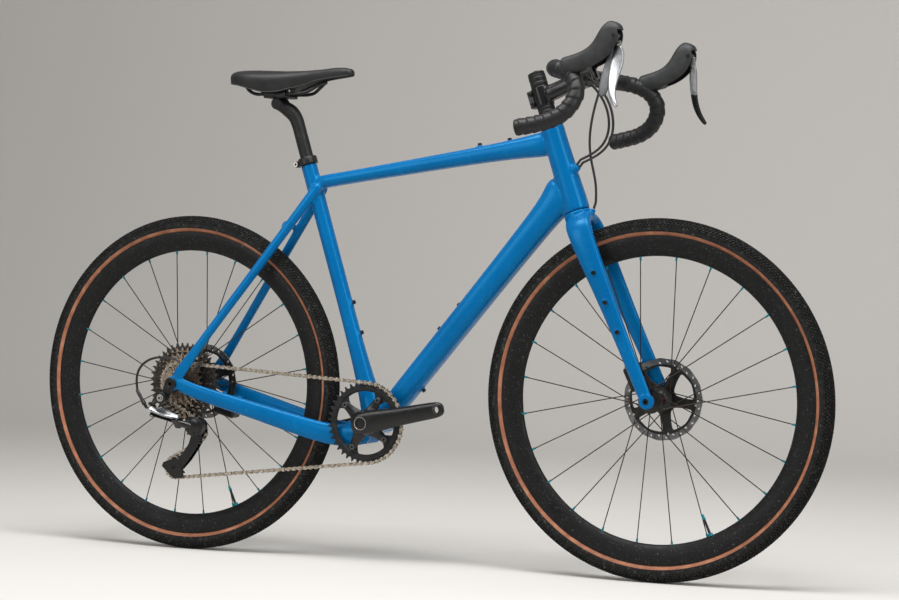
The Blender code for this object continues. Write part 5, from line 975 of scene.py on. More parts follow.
def frame_boss_places():
    """Foot and direction of each boss on the frame."""
    along = (DOWN_TUBE_TOP - BOTTOM_BRACKET).normalized()
    out = along.cross(SIDE)
    foot = BOTTOM_BRACKET + FORWARD * 0.010
    places = [(foot + along * reach + out * 0.0235, out) for reach in (0.229, 0.293)]
    places += [(foot + along * reach - out * 0.0235, -out) for reach in (0.049, 0.113)]
    places += [(BOTTOM_BRACKET + SEAT_UP * reach + SEAT_FORWARD * 0.0145, SEAT_FORWARD)
               for reach in (0.182, 0.246)]
    rear, front = TOP_TUBE
    rise = SIDE.cross((front - rear).normalized()) * -1
    places += [(rear.lerp(front, share) + rise * 0.0160, rise) for share in (0.70, 0.82)]
    return places


def make_frame(surface):
    """The moulded frame, its tubes melted together and bored."""
    parts = main_tubes(surface) + rear_stays(surface)
    for foot, out in frame_boss_places():
        parts.append(rod("boss", foot - out * 0.004, foot + out * 0.0035, 0.0072, surface, 24,
                         0.0060))
    parts.append(rod("hose_port", HEAD_PORT - HEAD_PORT_WAY * 0.018, HEAD_PORT, 0.0100, surface, 24,
                     0.0082))
    out = CALIPER_SLOPE.cross(SIDE).normalized() * -1
    parts.append(block("caliper_pad", near_axle(0.070, 0.0640, -0.0195) + out * 0.0130,
                       (0.050, 0.0165, 0.012), surface, CALIPER_SLOPE))
    skin = fuse("frame_paintwork", parts, VOXEL, 5)
    hollow(skin,
           rod("post_bore", SEAT_TOP - SEAT_UP * 0.190, SEAT_TOP + SEAT_UP * 0.02,
               POST_RADIUS + 0.0003, surface, 32),
           rod("steerer_bore", CROWN - STEER_UP * 0.01, HEAD_TOP + STEER_UP * 0.01, 0.0165, surface,
               32),
           through("shell_bore", BOTTOM_BRACKET, SIDE * (SHELL_WIDTH / 2 + 0.005), 0.0205, surface),
           through("axle_bore", REAR_AXLE, SIDE * 0.095, AXLE_BORE, surface, 24))
    return settle(skin, "frame", ["frame"], 60)


def leg_line(drop):
    """Centre of the fork legs in the bike's plane, 0 at the crown and 1 at the axle."""
    return CROWN.lerp(FRONT_AXLE, drop) + STEER_FORWARD * 0.002 * (1 - drop)


def make_fork(surface):
    """The fork: one arch from dropout to dropout with its crown seat."""
    rows = [
        (0.0566, 1.00, 0.026, 0.0115), (0.0562, 0.95, 0.026, 0.0125),
        (0.0525, 0.75, 0.027, 0.0150), (0.0480, 0.51, 0.033, 0.0180),
        (0.0430, 0.28, 0.043, 0.0215), (0.0405, 0.165, 0.048, 0.0235),
        (0.0350, 0.088, 0.051, 0.0265), (0.0200, 0.046, 0.053, 0.029)]
    stations = [(leg_line(drop) + SIDE * side * y, chord, thick, 2.5)
                for side in (1, -1) for y, drop, chord, thick in rows[::side]]
    parts = [loft("fork_arch", stations, surface, across=STEER_FORWARD, count=14)]
    parts.append(spun("crown_seat", [(0, -0.0008), (0.0265, -0.0008), (0.0275, -0.018),
                                     (0.0225, -0.026), (0, -0.026)], surface, CROWN, STEER_UP))
    for side in (-1, 1):
        foot = FRONT_AXLE + SIDE * side * 0.050
        parts.append(rod("fork_foot", foot, foot + SIDE * side * 0.0134, 0.0145, surface, 32))
        for drop, y in LEG_BOSSES:
            place = leg_line(drop) + SIDE * side * y
            parts.append(rod("leg_boss", place - SIDE * side * 0.002, place + SIDE * side * 0.0028,
                             0.0062, surface, 24, 0.0052))
    along = (FRONT_AXLE - CROWN).normalized()
    pad = FRONT_AXLE - along * 0.060 + SIDE * 0.0545 + SIDE.cross(along).normalized() * 0.0105
    parts.append(block("caliper_pad", pad, (0.050, 0.013, 0.012), surface, along))
    parts.append(rod("hose_port", FORK_PORT - FORK_PORT_WAY * 0.020, FORK_PORT, 0.0058, surface, 24,
                     0.0045))
    skin = fuse("fork_paintwork", parts, 0.0021, 4)
    hollow(skin, through("axle_bore", FRONT_AXLE, SIDE * 0.075, AXLE_BORE, surface, 24))
    return settle(skin, "steering", ["fork"], 60)


# Wheels

def section(angle):
    """A point of the tyre's outside as (radius, offset), by its angle from the crown."""
    return (SECTION_CENTRE + SECTION_RADIUS * math.cos(angle), SECTION_RADIUS * math.sin(angle))


def make_casing(name, axle, tan, black):
    """The casing with its tan band between rim and tread."""
    turns = [math.radians(turn)
             for turn in (0, 16, 32, 48, 64, 80, 95, 108, 110, 118, 127, 137, 144)]
    half = [section(turn) for turn in turns] + [(BEAD_RADIUS, 0.0085), (BEAD_RADIUS, 0)]
    casing = spun(name, both_sides(half), black, axle, SIDE, 160)
    casing.data.materials.append(tan)
    for face in casing.data.polygons:
        spot = face.center - axle
        reach = math.hypot(spot.x, spot.z)
        if TAN_FOOT < reach < TAN_EDGE and abs(spot.y) > BEAD_OFFSET:
            face.material_index = 1
    return casing


def tread_knob(name, length, width, height, surface):
    """One tapered knob standing on the crown of a tyre, its foot left open."""
    deselect()
    bpy.ops.mesh.primitive_cube_add(size=1)
    knob = bpy.context.object
    knob.name = name
    knob.data.transform(Matrix.Diagonal((length, width, height, 1)))
    edit(knob)
    bpy.ops.mesh.select_mode(type="FACE")
    pick(knob, lambda spot: spot.z > height * 0.4)
    bpy.ops.transform.resize(value=(0.66, 0.66, 1))
    bpy.ops.mesh.select_all(action="DESELECT")
    pick(knob, lambda spot: spot.z < -height * 0.4)
    bpy.ops.mesh.delete(type="FACE")
    bpy.ops.object.mode_set(mode="OBJECT")
    return paint(knob, surface)


def make_tread(name, axle, surface):
    """Rows of small knobs round the tyre, the outer ones larger."""
    small = tread_knob("small_knob", 0.0046, 0.0030, 0.0026, surface)
    large = tread_knob("large_knob", 0.0048, 0.0042, 0.0034, surface)
    copies = []
    step = math.tau / KNOB_COUNT
    rows = [(0, small, 0), (11, small, 0.5), (22, small, 0), (33, small, 0.5), (45, large, 0),
            (59, large, 0.5), (73, small, 0)]
    for turn, knob, share in rows:
        for side in ((1, -1) if turn else (1,)):
            lean = Matrix.Rotation(-side * math.radians(turn), 4, "X")
            lift = Matrix.Translation((0, 0, SECTION_RADIUS + 0.0009))
            place = (Matrix.Translation(axle) @ Matrix.Rotation(step * share, 4, "Y")
                     @ Matrix.Translation((0, 0, SECTION_CENTRE)) @ lean @ lift)
            copies.append(copy_of(knob, "knob", place))
    for knob in (small, large):
        bpy.data.objects.remove(knob)
    tread = join(*copies)
    tread.name = name
    return ring_of(tread, KNOB_COUNT, axle)


def make_tyre(tag, axle, tan, black):
    """A tyre with its tread."""
    tyre = join(make_casing(tag + "_tyre_dressed", axle, tan, black),
                make_tread(tag + "_tread", axle, black))
    return settle(tyre, tag + "_wheel", [tag + "_tyre"], 50)


def make_rim(tag, axle, carbon, teal, black):
    """A deep rim with nipples and valve."""
    half = [(0.3085, 0), (0.3087, 0.0050), (0.3118, 0.0108), (0.3165, 0.0118), (0.3168, 0.0136),
            (0.3150, 0.0143), (0.3060, 0.0143), (0.2980, 0.0133), (0.2900, 0.0108),
            (0.2835, 0.0074), (0.2792, 0.0044), (0.2774, 0.0020), (RIM_INNER, 0)]
    rim = spun(tag + "_rim_dressed", both_sides(half), carbon, axle, SIDE, 144)
    nipples = []
    for i in range(2):
        way = polar(math.tau * (i + 0.5) / SPOKE_COUNT)
        foot = axle + SIDE * (NIPPLE_OFFSET if i % 2 else -NIPPLE_OFFSET)
        low, high = (foot + way * reach for reach in NIPPLE_REACH)
        nipples.append(rod("nipple", low, high, 0.0018, teal, 8, 0.0024))
    ring_of(join(*nipples), SPOKE_COUNT // 2, axle)
    way = polar(VALVE_ANGLE)
    stem = rod("valve_stem", axle + way * 0.2430, axle + way * 0.2800, 0.0026, black, 16)
    nut = rod("valve_nut", axle + way * 0.2725, axle + way * 0.2780, 0.0052, teal, 12)
    cap = rod("valve_cap", axle + way * 0.2340, axle + way * 0.2440, 0.0021, teal, 12, 0.0034)
    join(rim, nipples[0], stem, nut, cap)
    return settle(rim, tag + "_wheel", [tag + "_rim"], 35)


def make_spokes(axle, flanges, wire):
    """Crossed spokes with heads in the flanges; flanges are offsets, right then left."""
    inner, outer = SPOKE_REACH
    spokes = []
    for i in range(4):
        offset = flanges[i % 2]
        lean = SPOKE_LEAN if (i // 2) % 2 else -SPOKE_LEAN
        rim_angle = math.tau * (i + 0.5) / SPOKE_COUNT
        foot = axle + polar(rim_angle + lean) * inner + SIDE * offset
        tip = axle + polar(rim_angle) * outer + SIDE * math.copysign(NIPPLE_OFFSET, offset)
        spokes.append(rod("spoke", foot, tip, SPOKE_RADIUS, wire, 8))
        out = SIDE * math.copysign(0.0022, offset)
        spokes.append(rod("spoke_head", foot - out * 0.2, foot + out, 0.0017, wire, 10))
    return ring_of(join(*spokes), SPOKE_COUNT // 4, axle)


def make_hub(tag, axle, flanges, end, shell, rotor, black, wire, band):
    """Hub shell with flanges and end caps, its spokes and a thin colour band."""
    right, left = flanges
    bore = AXLE_BORE + 0.0001
    profile = [
        (bore, end), (0.0095, end), (0.0100, end - 0.0008), (0.0100, rotor + 0.0052),
        (0.0162, rotor + 0.0040), (0.0162, rotor - 0.0012), (0.0198, rotor - 0.0014),
        (0.0198, rotor - 0.0035), (0.0125, rotor - 0.0052), (0.0125, left + 0.0042),
        (0.0190, left + 0.0028), (FLANGE_RADIUS, left + 0.0020), (FLANGE_RADIUS + 0.0004, left),
        (FLANGE_RADIUS, left - 0.0020), (0.0180, left - 0.0036), (shell + 0.001, left - 0.0075),
        (shell, left - 0.0120), (shell, right + 0.0120), (shell + 0.001, right + 0.0075),
        (0.0180, right + 0.0036), (FLANGE_RADIUS, right + 0.0020), (FLANGE_RADIUS + 0.0004, right),
        (FLANGE_RADIUS, right - 0.0020), (0.0190, right - 0.0028), (0.0125, right - 0.0042),
        (0.0122, -end + 0.0060), (0.0100, -end + 0.0045), (0.0100, -end + 0.0008), (0.0095, -end),
        (bore, -end)]
    hub = spun(tag + "_hub_dressed", profile, black, axle, SIDE, 48)
    middle = (right + left) / 2
    ring = spun("hub_band", [(shell - 0.001, middle + 0.006), (shell + 0.0006, middle + 0.006),
                             (shell + 0.0006, middle - 0.006), (shell - 0.001, middle - 0.006)],
                band, axle, SIDE, 48)
    join(hub, ring, make_spokes(axle, flanges, wire))
    return settle(hub, tag + "_wheel", [tag + "_hub_and_spokes"], 35)


def rounded(corners):
    """A closed outline with each corner turned into three points."""
    share = 0.28
    found = []
    for i, corner in enumerate(corners):
        here = Vector(corner)
        before, after = Vector(corners[i - 1]), Vector(corners[(i + 1) % len(corners)])
        start, end = here.lerp(before, share), here.lerp(after, share)
        middle = (start + end) / 4 + here / 2
        found += [tuple(start), tuple(middle), tuple(end)]
    return found


def wavy(radius, depth, waves, count):
    """A circle that swings in and out by a depth."""
    angles = [math.tau * i / count for i in range(count)]
    return [spot_at(radius + depth * math.cos(waves * angle), angle) for angle in angles]


def vent(reach, angle):
    """A slanted oval hole of a brake track."""
    (x, z), (a, b) = spot_at(reach, angle), spot_at(1, angle + 0.9)
    return [(x + across * a - rise * b, z + across * b + rise * a)
            for across, rise in ((0.0031 * math.cos(turn), 0.0017 * math.sin(turn))
                                 for turn in (math.tau * k / 8 for k in range(8)))]


def make_rotor(tag, axle, offset, steel, black, bolt, phase):
    """A drilled brake track riveted to a black carrier with wide windows."""
    vents = [vent(VENT_REACH[i % 2], math.tau * i / VENT_COUNT) for i in range(VENT_COUNT)]
    track = plate(tag + "_rotor_dressed",
                  [wavy(TRACK_OUTER, 0.0006, 15, 150), wavy(TRACK_INNER, 0.0010, 15, 120), *vents],
                  0.0018, steel, axle + SIDE * offset, bevel=0.0002)
    windows = []
    for i in range(ROTOR_ARMS):
        middle = math.tau * i / ROTOR_ARMS + phase
        windows.append(rounded([spot_at(reach, middle + turn) for reach, turn in (
            (0.0642, -0.47), (0.0660, 0.0), (0.0642, 0.47), (0.0450, 0.43),
            (0.0275, 0.20), (0.0275, -0.20), (0.0450, -0.43))]))
    carrier = plate("rotor_carrier", [circle(0.0683, 60), circle(0.0168, 32), *windows], 0.0019,
                    black, axle + SIDE * offset, bevel=0.0004)
    lock = spun("rotor_lockring", [(0.0166, 0.0048), (0.0215, 0.0044), (0.0225, 0.0030),
                                   (0.0225, 0.0010), (0.0166, 0.0010)],
                black, axle + SIDE * offset, SIDE, 48)
    rivet = through("rotor_rivet",
                    axle + polar(phase + math.pi / ROTOR_ARMS) * 0.0672 + SIDE * offset,
                    SIDE * 0.00098, 0.0022, bolt, 12)
    ring_of(rivet, ROTOR_ARMS, axle)
    join(track, carrier, lock, rivet)
    return settle(track, tag + "_wheel", [tag + "_rotor"], 30)


# Cockpit

def bar_places(side):
    """Places of the bar's centre line from the stem to the end of the drop."""
    places = [
        (0.000, 0.000, 0.000), (0.000, 0.050, 0.000), (0.000, 0.120, 0.001),
        (0.002, 0.165, 0.002), (0.012, 0.193, 0.001), (0.030, HOOD_OFFSET - 0.006, -0.004),
        (BAR_REACH - 0.016, HOOD_OFFSET + 0.003, -0.016),
        (BAR_REACH - 0.002, HOOD_OFFSET + 0.012, -0.038),
        (BAR_REACH - 0.004, HOOD_OFFSET + 0.020, -0.062),
        (BAR_REACH - 0.020, HOOD_OFFSET + 0.028, -0.085),
        (0.022, HOOD_OFFSET + 0.035, -0.100),
        (-0.010, DROP_OFFSET - 0.006, -BAR_DROP + 0.005), (-0.038, DROP_OFFSET, -BAR_DROP)]
    return [BAR_CENTRE + Vector((x, side * y, z)) for x, y, z in places]


def make_bar(carbon):
    """The bare bar between the tapes, thicker where the stem holds it."""
    rings = []
    for y, radius in ((-0.060, 0.0125), (-0.052, 0.0125), (-0.040, 0.0155), (-0.036, 0.0159),
                      (0.036, 0.0159), (0.040, 0.0155), (0.052, 0.0125), (0.060, 0.0125)):
        rings.append(oval(BAR_CENTRE + SIDE * y, FORWARD, UP, radius * 2, radius * 2, 32))
    return settle(wrap("bar_centre", rings, carbon), "steering", ["handlebar"], 30)


def make_tape(tag, side, tape, band):
    """Bar tape wound in overlapping turns, with a finishing band beside the stem."""
    points = smooth_line(bar_places(side), TAPE_PITCH / 12)
    points = [point for point in points if abs(point.y) > TAPE_START - 0.0002]
    rings, across, travelled = [], UP, 0.0
    count = 24
    for i, (point, along) in enumerate(zip(points, directions(points))):
        if i:
            travelled += (point - points[i - 1]).length
        across = (across - along * across.dot(along)).normalized()
        rise = along.cross(across) * side
        ring = []
        for k in range(count):
            angle = math.tau * k / count
            phase = (travelled / TAPE_PITCH + k / count) % 1.0
            step = phase / TAPE_RISE if phase < TAPE_RISE else (1 - phase) / (1 - TAPE_RISE)
            radius = TAPE_RADIUS + TAPE_LAP * step ** 0.8
            if i in (0, len(points) - 1):
                radius = TAPE_END
            ring.append(point + (across * math.cos(angle) + rise * math.sin(angle)) * radius)
        rings.append(ring)
    wound = wrap("bar_tape_wound_" + tag, rings, tape)
    start = BAR_CENTRE + SIDE * side * TAPE_START
    finish = spun("finishing_band", [(0.0150, -0.001), (0.0164, 0.0), (0.0166, 0.012),
                                     (0.0150, 0.013)], band, start, SIDE * side, 48)
    end, out = points[-1], directions(points)[-1]
    plug = spun("bar_end_plug", [(0, 0.0042), (0.0100, 0.0042), (0.0136, 0.0032), (0.0152, 0.0012),
                                 (0.0152, -0.0020), (0, -0.0020)], band, end, out, 32)
    join(wound, finish, plug)
    return settle(wound, "steering", ["bar_tape_" + tag, "bar_plug_" + tag], 35)


def hood_place(side, x, y, z):
    """A place given from the bar clamp, with y counted outward."""
    return BAR_CENTRE + Vector((x, side * y, z))


def lever_pivot(side):
    """The middle of the pin that a brake lever turns on."""
    return hood_place(side, 0.1395, LEVER_OFFSET, 0.055)


def make_hood(tag, side, rubber, black, pin):
    """The rubber hood over the lever's body, with a slot for the lever."""
    rows = []
    for x, z, height, width, power in (
            (0.034, 0.000, 0.033, 0.034, 2.2), (0.042, 0.001, 0.036, 0.037, 2.6),
            (0.072, 0.007, 0.037, 0.0365, 3.2), (0.098, 0.017, 0.041, 0.037, 3.4),
            (0.117, 0.032, 0.048, 0.0375, 3.4), (0.1275, 0.050, 0.048, 0.0375, 3.4),
            (0.1325, 0.064, 0.043, 0.0350, 3.2), (0.1360, 0.0745, 0.033, 0.0290, 2.8),
            (0.1385, 0.0810, 0.019, 0.017, 2.2)):
        rows.append((hood_place(side, x, LEVER_OFFSET, z), width, height, power))
    hood = loft("hood_dressed_" + tag, rows, rubber, count=14)
    pocket = block("lever_pocket", hood_place(side, 0.151, LEVER_OFFSET, 0.026),
                   (0.060, 0.029, 0.080), black)
    ramp = block("lever_ramp", hood_place(side, 0.1155, LEVER_OFFSET, -0.0035),
                 (0.050, 0.029, 0.090), black, polar(math.radians(-27)))
    hollow(hood, pocket, ramp)
    join(hood, through("pivot_pin", lever_pivot(side), SIDE * 0.0196, 0.0030, pin, 16))
    return settle(hood, "steering", ["hood_" + tag], 45)


def blade_stations(side):
    """Stations of a brake lever blade, flaring outward, with a hooked tip."""
    rows = []
    for x, y, z, chord, thick in (
            (0.1452, -0.0005, 0.0365, 0.0085, 0.0070), (0.1458, 0.0000, 0.0310, 0.0140, 0.0080),
            (0.1455, 0.0015, 0.0220, 0.0215, 0.0086), (0.1440, 0.0070, 0.0050, 0.0250, 0.0086),
            (0.1425, 0.0140, -0.012, 0.0225, 0.0082), (0.1420, 0.0225, -0.029, 0.0180, 0.0076),
            (0.1430, 0.0300, -0.044, 0.0150, 0.0072), (0.1475, 0.0390, -0.061, 0.0110, 0.0068),
            (0.1565, 0.0455, -0.0760, 0.0086, 0.0064), (0.1595, 0.0463, -0.0785, 0.0048, 0.0038)):
        rows.append((hood_place(side, x, LEVER_OFFSET + y, z), thick, chord, 3.0))
    return rows


def make_left_lever(silver, black):
    """The left brake lever, slim as seen from its inner side, its lower part in gloss black as
    painted shade.
    """
    slim = (1.0, 0.85, 0.72, 0.62, 0.62, 0.70, 0.84, 0.95, 1.0, 1.0)
    rows = [(place, thick, chord * share, power)
            for (place, thick, chord, power), share in zip(blade_stations(1), slim)]
    left = loft("brake_blade_left", rows[:6], silver, count=12)
    # Painted shade: below this station the silver blade is drawn in gloss black.
    place, _, chord, power = rows[4]
    first = (place, 0.0086, chord * 1.06, power)
    low = loft("brake_blade_left_painted_shade", [first, *rows[5:]], black, count=12)
    barrel = through("lever_barrel", lever_pivot(1), SIDE * 0.0142, 0.0058, black, 24)
    neck = block("lever_neck", hood_place(1, 0.1450, LEVER_OFFSET, 0.0435), (0.0085, 0.010, 0.020),
                 silver)
    break_edges(neck, 0.0015)
    join(left, low, barrel, neck)
    settle(left, "left_lever", ["brake_lever_left"], 40)


def make_right_lever(silver, black, grey_paddle):
    """The right shift bracket with its brake lever and, behind that, the shift paddle."""
    bracket = dressed("lever_bracket_right", "lever_bracket_dressed", black, 0.0006)
    settle(bracket, "right_bracket", ["lever_bracket_right"], 35)
    right = loft("brake_blade_right", blade_stations(-1), silver, count=12)
    pin = lever_pivot(-1) - UP * 0.014
    eye = rod("blade_eye", pin + FORWARD * 0.0033, pin + FORWARD * 0.0083, 0.0055, silver, 24)
    neck = block("blade_neck", pin + FORWARD * 0.0058 - UP * 0.0085, (0.0044, 0.008, 0.014), silver)
    break_edges(neck, 0.0012)
    join(right, eye, neck)
    settle(right, "right_lever", ["brake_lever_right"], 40)
    rows = []
    for x, y, z, chord, thick in (
            (0.1340, 0.0000, 0.0390, 0.0040, 0.0050), (0.1310, 0.0020, 0.024, 0.0065, 0.0048),
            (0.1270, 0.0080, 0.006, 0.0100, 0.0044), (0.1260, 0.0140, -0.012, 0.0150, 0.0042),
            (0.1260, 0.0205, -0.027, 0.0185, 0.0042), (0.1258, 0.0262, -0.043, 0.0185, 0.0042),
            (0.1250, 0.0300, -0.054, 0.0135, 0.0040), (0.1245, 0.0312, -0.0580, 0.0070, 0.0030)):
        rows.append((hood_place(-1, x, LEVER_OFFSET + y, z), thick, chord, 2.8))
    paddle = loft("shift_paddle_dressed", rows, grey_paddle, count=12)
    back = pin - FORWARD * 0.0033
    join(paddle, rod("paddle_eye", back - FORWARD * 0.005, back, 0.0055, black, 24))
    settle(paddle, "shift_paddle", ["shift_paddle_right"], 40)


def cap_screw(name, head, hole, surface, dark):
    """A cap screw at the origin pointing up, with a round socket."""
    deselect()
    bpy.ops.mesh.primitive_cylinder_add(vertices=24, radius=head, depth=head * 1.3)
    screw = bpy.context.object
    screw.name = name
    paint(screw, surface)
    screw.data.materials.append(dark)
    edit(screw)
    bpy.ops.mesh.select_mode(type="FACE")
    pick(screw, lambda spot: spot.z > head * 0.6)
    bpy.ops.mesh.inset(thickness=head * 0.10)
    bpy.ops.mesh.extrude_region_move(TRANSFORM_OT_translate={"value": (0, 0, head * 0.12)})
    bpy.ops.mesh.inset(thickness=head - hole - head * 0.10)
    bpy.ops.mesh.extrude_region_move(TRANSFORM_OT_translate={"value": (0, 0, -head * 0.6)})
    screw.active_material_index = 1
    bpy.ops.object.material_slot_assign()
    bpy.ops.object.mode_set(mode="OBJECT")
    return screw


def place_copy(thing, name, place, way):
    """A copy of a piece modelled upright at the origin, put at a place and turned to a way."""
    turn = UP.rotation_difference(Vector(way)).to_matrix().to_4x4()
    return copy_of(thing, name, Matrix.Translation(place) @ turn)


# Drivetrain

def pitch_radius(teeth):
    """Radius at which the chain's pins ride on a wheel."""
    return teeth * CHAIN_PITCH / math.tau


def chain_pins():
    """Places of the chain's pins on its way round sprocket, ring and pulleys."""
    wheels = [(SPROCKET, pitch_radius(SPROCKET_TEETH[IN_USE]), 1),
              (RING, pitch_radius(RING_TEETH), 1),
              (TENSION, pitch_radius(PULLEY_TEETH), 1), (GUIDE, pitch_radius(PULLEY_TEETH), -1)]
    touch = []
    for (c1, r1, s1), (c2, r2, s2) in zip(wheels, wheels[1:] + wheels[:1]):
        away = c2 - c1
        offset = math.asin((r1 * s1 - r2 * s2) / math.hypot(away.x, away.z))
        normal = polar(math.atan2(away.z, away.x) + math.pi / 2 - offset)
        touch.append((c1 + normal * r1 * s1, c2 + normal * r2 * s2))
    line = []
    for i, (centre, radius, sense) in enumerate(wheels):
        arrive, leave = touch[i - 1][1] - centre, touch[i][0] - centre
        start = math.atan2(arrive.z, arrive.x)
        sweep = (math.atan2(leave.z, leave.x) - start) % math.tau
        sweep -= math.tau if sense > 0 else 0
        steps = round(abs(sweep) * radius / 0.0005)
        line += [centre + polar(start + sweep * k / steps) * radius for k in range(steps)]
        steps = round((touch[i][1] - touch[i][0]).length / 0.0005)
        line += [touch[i][0].lerp(touch[i][1], k / steps) for k in range(steps)]
    reaches = [0.0]
    for here, after in zip(line, line[1:] + line[:1]):
        reaches.append(reaches[-1] + (after - here).length)
    pins, k = [], 0
    for i in range(CHAIN_LINKS):
        reach = reaches[-1] * i / CHAIN_LINKS
        while reaches[k + 1] < reach:
            k += 1
        share = (reach - reaches[k]) / (reaches[k + 1] - reaches[k])
        pins.append(line[k].lerp(line[(k + 1) % len(line)], share))
    return pins


def pin_angle(pins, centre, teeth):
    """Angle of a pin that lies on a wheel, seen from the wheel's middle."""
    pin = min(pins, key=lambda spot: abs((spot - centre).length - pitch_radius(teeth))
              + abs(spot.y - centre.y))
    return math.atan2(pin.z - centre.z, pin.x - centre.x)


def make_chain(pins, steel):
    """Links with outer and inner plates by turns, their pins and their rollers."""
    waist = []
    for way, middle in ((1, 0), (-1, CHAIN_PITCH)):
        waist += [(middle - way * 0.0041 * math.cos(turn), way * 0.0041 * math.sin(turn))
                  for turn in (math.radians(40 * k - 120) for k in range(7))]
        waist.append((CHAIN_PITCH / 2, -way * 0.0030))
    kinds = []
    for offset, barrel, reach in ((0.0024, 0.0018, 0.0031), (0.0016, 0.0038, 0.0011)):
        sides = [plate("link_plate", [waist], 0.0008, steel, SIDE * side * offset)
                 for side in (1, -1)]
        sides += [rod("link_pin", (x, -reach, 0), (x, reach, 0), barrel, steel, 10)
                  for x in (0, CHAIN_PITCH)]
        kinds.append(join(*sides))
    links = []
    for i, pin in enumerate(pins):
        along = (pins[(i + 1) % len(pins)] - pin).normalized()
        out = along.cross(SIDE).normalized()
        turn = Matrix((along, out.cross(along), out)).transposed().to_4x4()
        links.append(copy_of(kinds[i % 2], "link", Matrix.Translation(pin) @ turn))
    for kind in kinds:
        bpy.data.objects.remove(kind)
    chain = join(*links)
    chain.name = "chain_dressed"
    return settle(chain, "frame", ["chain"], 30)


def tooth_outline(teeth, phase):
    """Outline of a toothed wheel with round seats for the rollers."""
    radius = pitch_radius(teeth)
    seat = [(-0.0056, 0.0031), (-0.0048, 0.0010), (-0.0038, -0.0018), (-0.0021, -0.0041),
            (0.0021, -0.0041), (0.0038, -0.0018), (0.0048, 0.0010), (0.0056, 0.0031)]
    return [spot_at(radius + rise, phase + math.tau * i / teeth + along / radius)
            for i in range(teeth) for along, rise in seat]


def holes_round(count, reach, radius, start=0.0, sides=8):
    """Outlines of round holes spaced round a wheel."""
    return [circle(radius, sides, *spot_at(reach, start + math.tau * i / count))
            for i in range(count)]


def make_cassette(pins, steel, dark, black):
    """Eleven sprockets, the larger ones pierced, on a carrier with its lockring."""
    pieces = []
    for i, teeth in enumerate(SPROCKET_TEETH):
        centre = REAR_AXLE - SIDE * (FIRST_SPROCKET - SPROCKET_PITCH * i)
        phase = pin_angle(pins, centre, teeth) if i == IN_USE else STAGGER * i
        radius = pitch_radius(teeth)
        outlines = [tooth_outline(teeth, phase), circle(0.0130, 24)]
        if i > IN_USE:
            under = pitch_radius(SPROCKET_TEETH[i - 1]) + 0.0030
            room = radius - 0.0041 - under
            outlines += holes_round(teeth // 2, under + room * 0.45, max(0.0011, room * 0.42))
            outlines += holes_round(6, (under + 0.013) / 2, 0.0085, 0.2 * i, 12)
        metal = dark if teeth == max(SPROCKET_TEETH) else steel
        pieces.append(plate("sprocket", outlines, 0.0017, metal, centre))
    first, last = -FIRST_SPROCKET - 0.0018, -FIRST_SPROCKET + SPROCKET_PITCH * 10 + 0.0012
    pieces.append(spun("sprocket_carrier",
                       [(0.0128, first), (0.0160, first), (0.0172, first + 0.001),
                        (0.0172, last), (0.0128, last)], dark, REAR_AXLE))
    pieces.append(plate("lockring", [notched(0.0162, 48, 4, 0.93), circle(0.0129, 32)], 0.0016,
                        black, REAR_AXLE + SIDE * (first - 0.0004), bevel=0.0002))
    cassette = join(*pieces)
    cassette.name = "cassette_dressed"
    return settle(cassette, "cassette", ["cassette"], 25)


def make_chainring(pins, black):
    """The ring with its wide band and four inner tabs."""
    inner = []
    for k in range(160):
        angle = math.tau * k / 160
        near = min(abs((angle - CRANK_ANGLE - turn + math.pi) % math.tau - math.pi)
                   for turn in SPIDER_TURNS)
        share = min(1.0, max(0.0, (0.26 - near) / 0.17))
        reach = 0.0640 - 0.0165 * share * share * (3 - 2 * share)
        inner.append(spot_at(reach, angle))
    ring = plate("chainring_dressed", [tooth_outline(RING_TEETH, pin_angle(pins, RING, RING_TEETH)),
                                       inner], 0.0018, black, RING, bevel=0.0003)
    lip = spun("ring_lip", [(0.0655, -0.0009), (0.0755, -0.0009), (0.0745, -0.0020),
                            (0.0665, -0.0020)], black, RING, SIDE, 96)
    join(ring, lip)
    return settle(ring, "crank", ["chainring"], 30)


def crank_rows(along, side):
    """Stations of a crank arm from behind the axle to the pedal's eye."""
    rows = []
    for reach, width, thickness, centre in (
            (-0.0235, 0.018, 0.012, 0.0630), (-0.0215, 0.030, 0.017, 0.0632),
            (-0.010, 0.045, 0.0200, 0.0640), (0.020, 0.0475, 0.0200, 0.0645),
            (0.058, 0.0400, 0.0180, 0.0655), (0.100, 0.0350, 0.016, 0.0675),
            (0.150, 0.0330, 0.0142, 0.0704), (0.172, 0.0315, 0.014, 0.0705),
            (0.181, 0.0250, 0.0138, 0.0705), (0.1852, 0.0130, 0.0125, 0.0705)):
        rows.append((BOTTOM_BRACKET + along * reach + SIDE * side * centre, thickness, width, 3.6))
    return rows


def pedal_bore(along, side, surface):
    """A cutter for the pedal's eye of a crank."""
    eye = BOTTOM_BRACKET + along * CRANK_LENGTH
    out = SIDE * side
    return rod("eye_bore", eye + out * 0.060, eye + out * 0.090, 0.0092, surface, 32)


def pedal_eye(along, side, steel):
    """The threaded insert at the pedal's end of a crank."""
    eye = BOTTOM_BRACKET + along * CRANK_LENGTH
    return spun("pedal_insert", [(0.0070, 0.0640), (0.0070, 0.0779), (0.0078, 0.0782),
                                 (0.0094, 0.0779), (0.0094, 0.0640)], steel, eye, SIDE * side, 32)


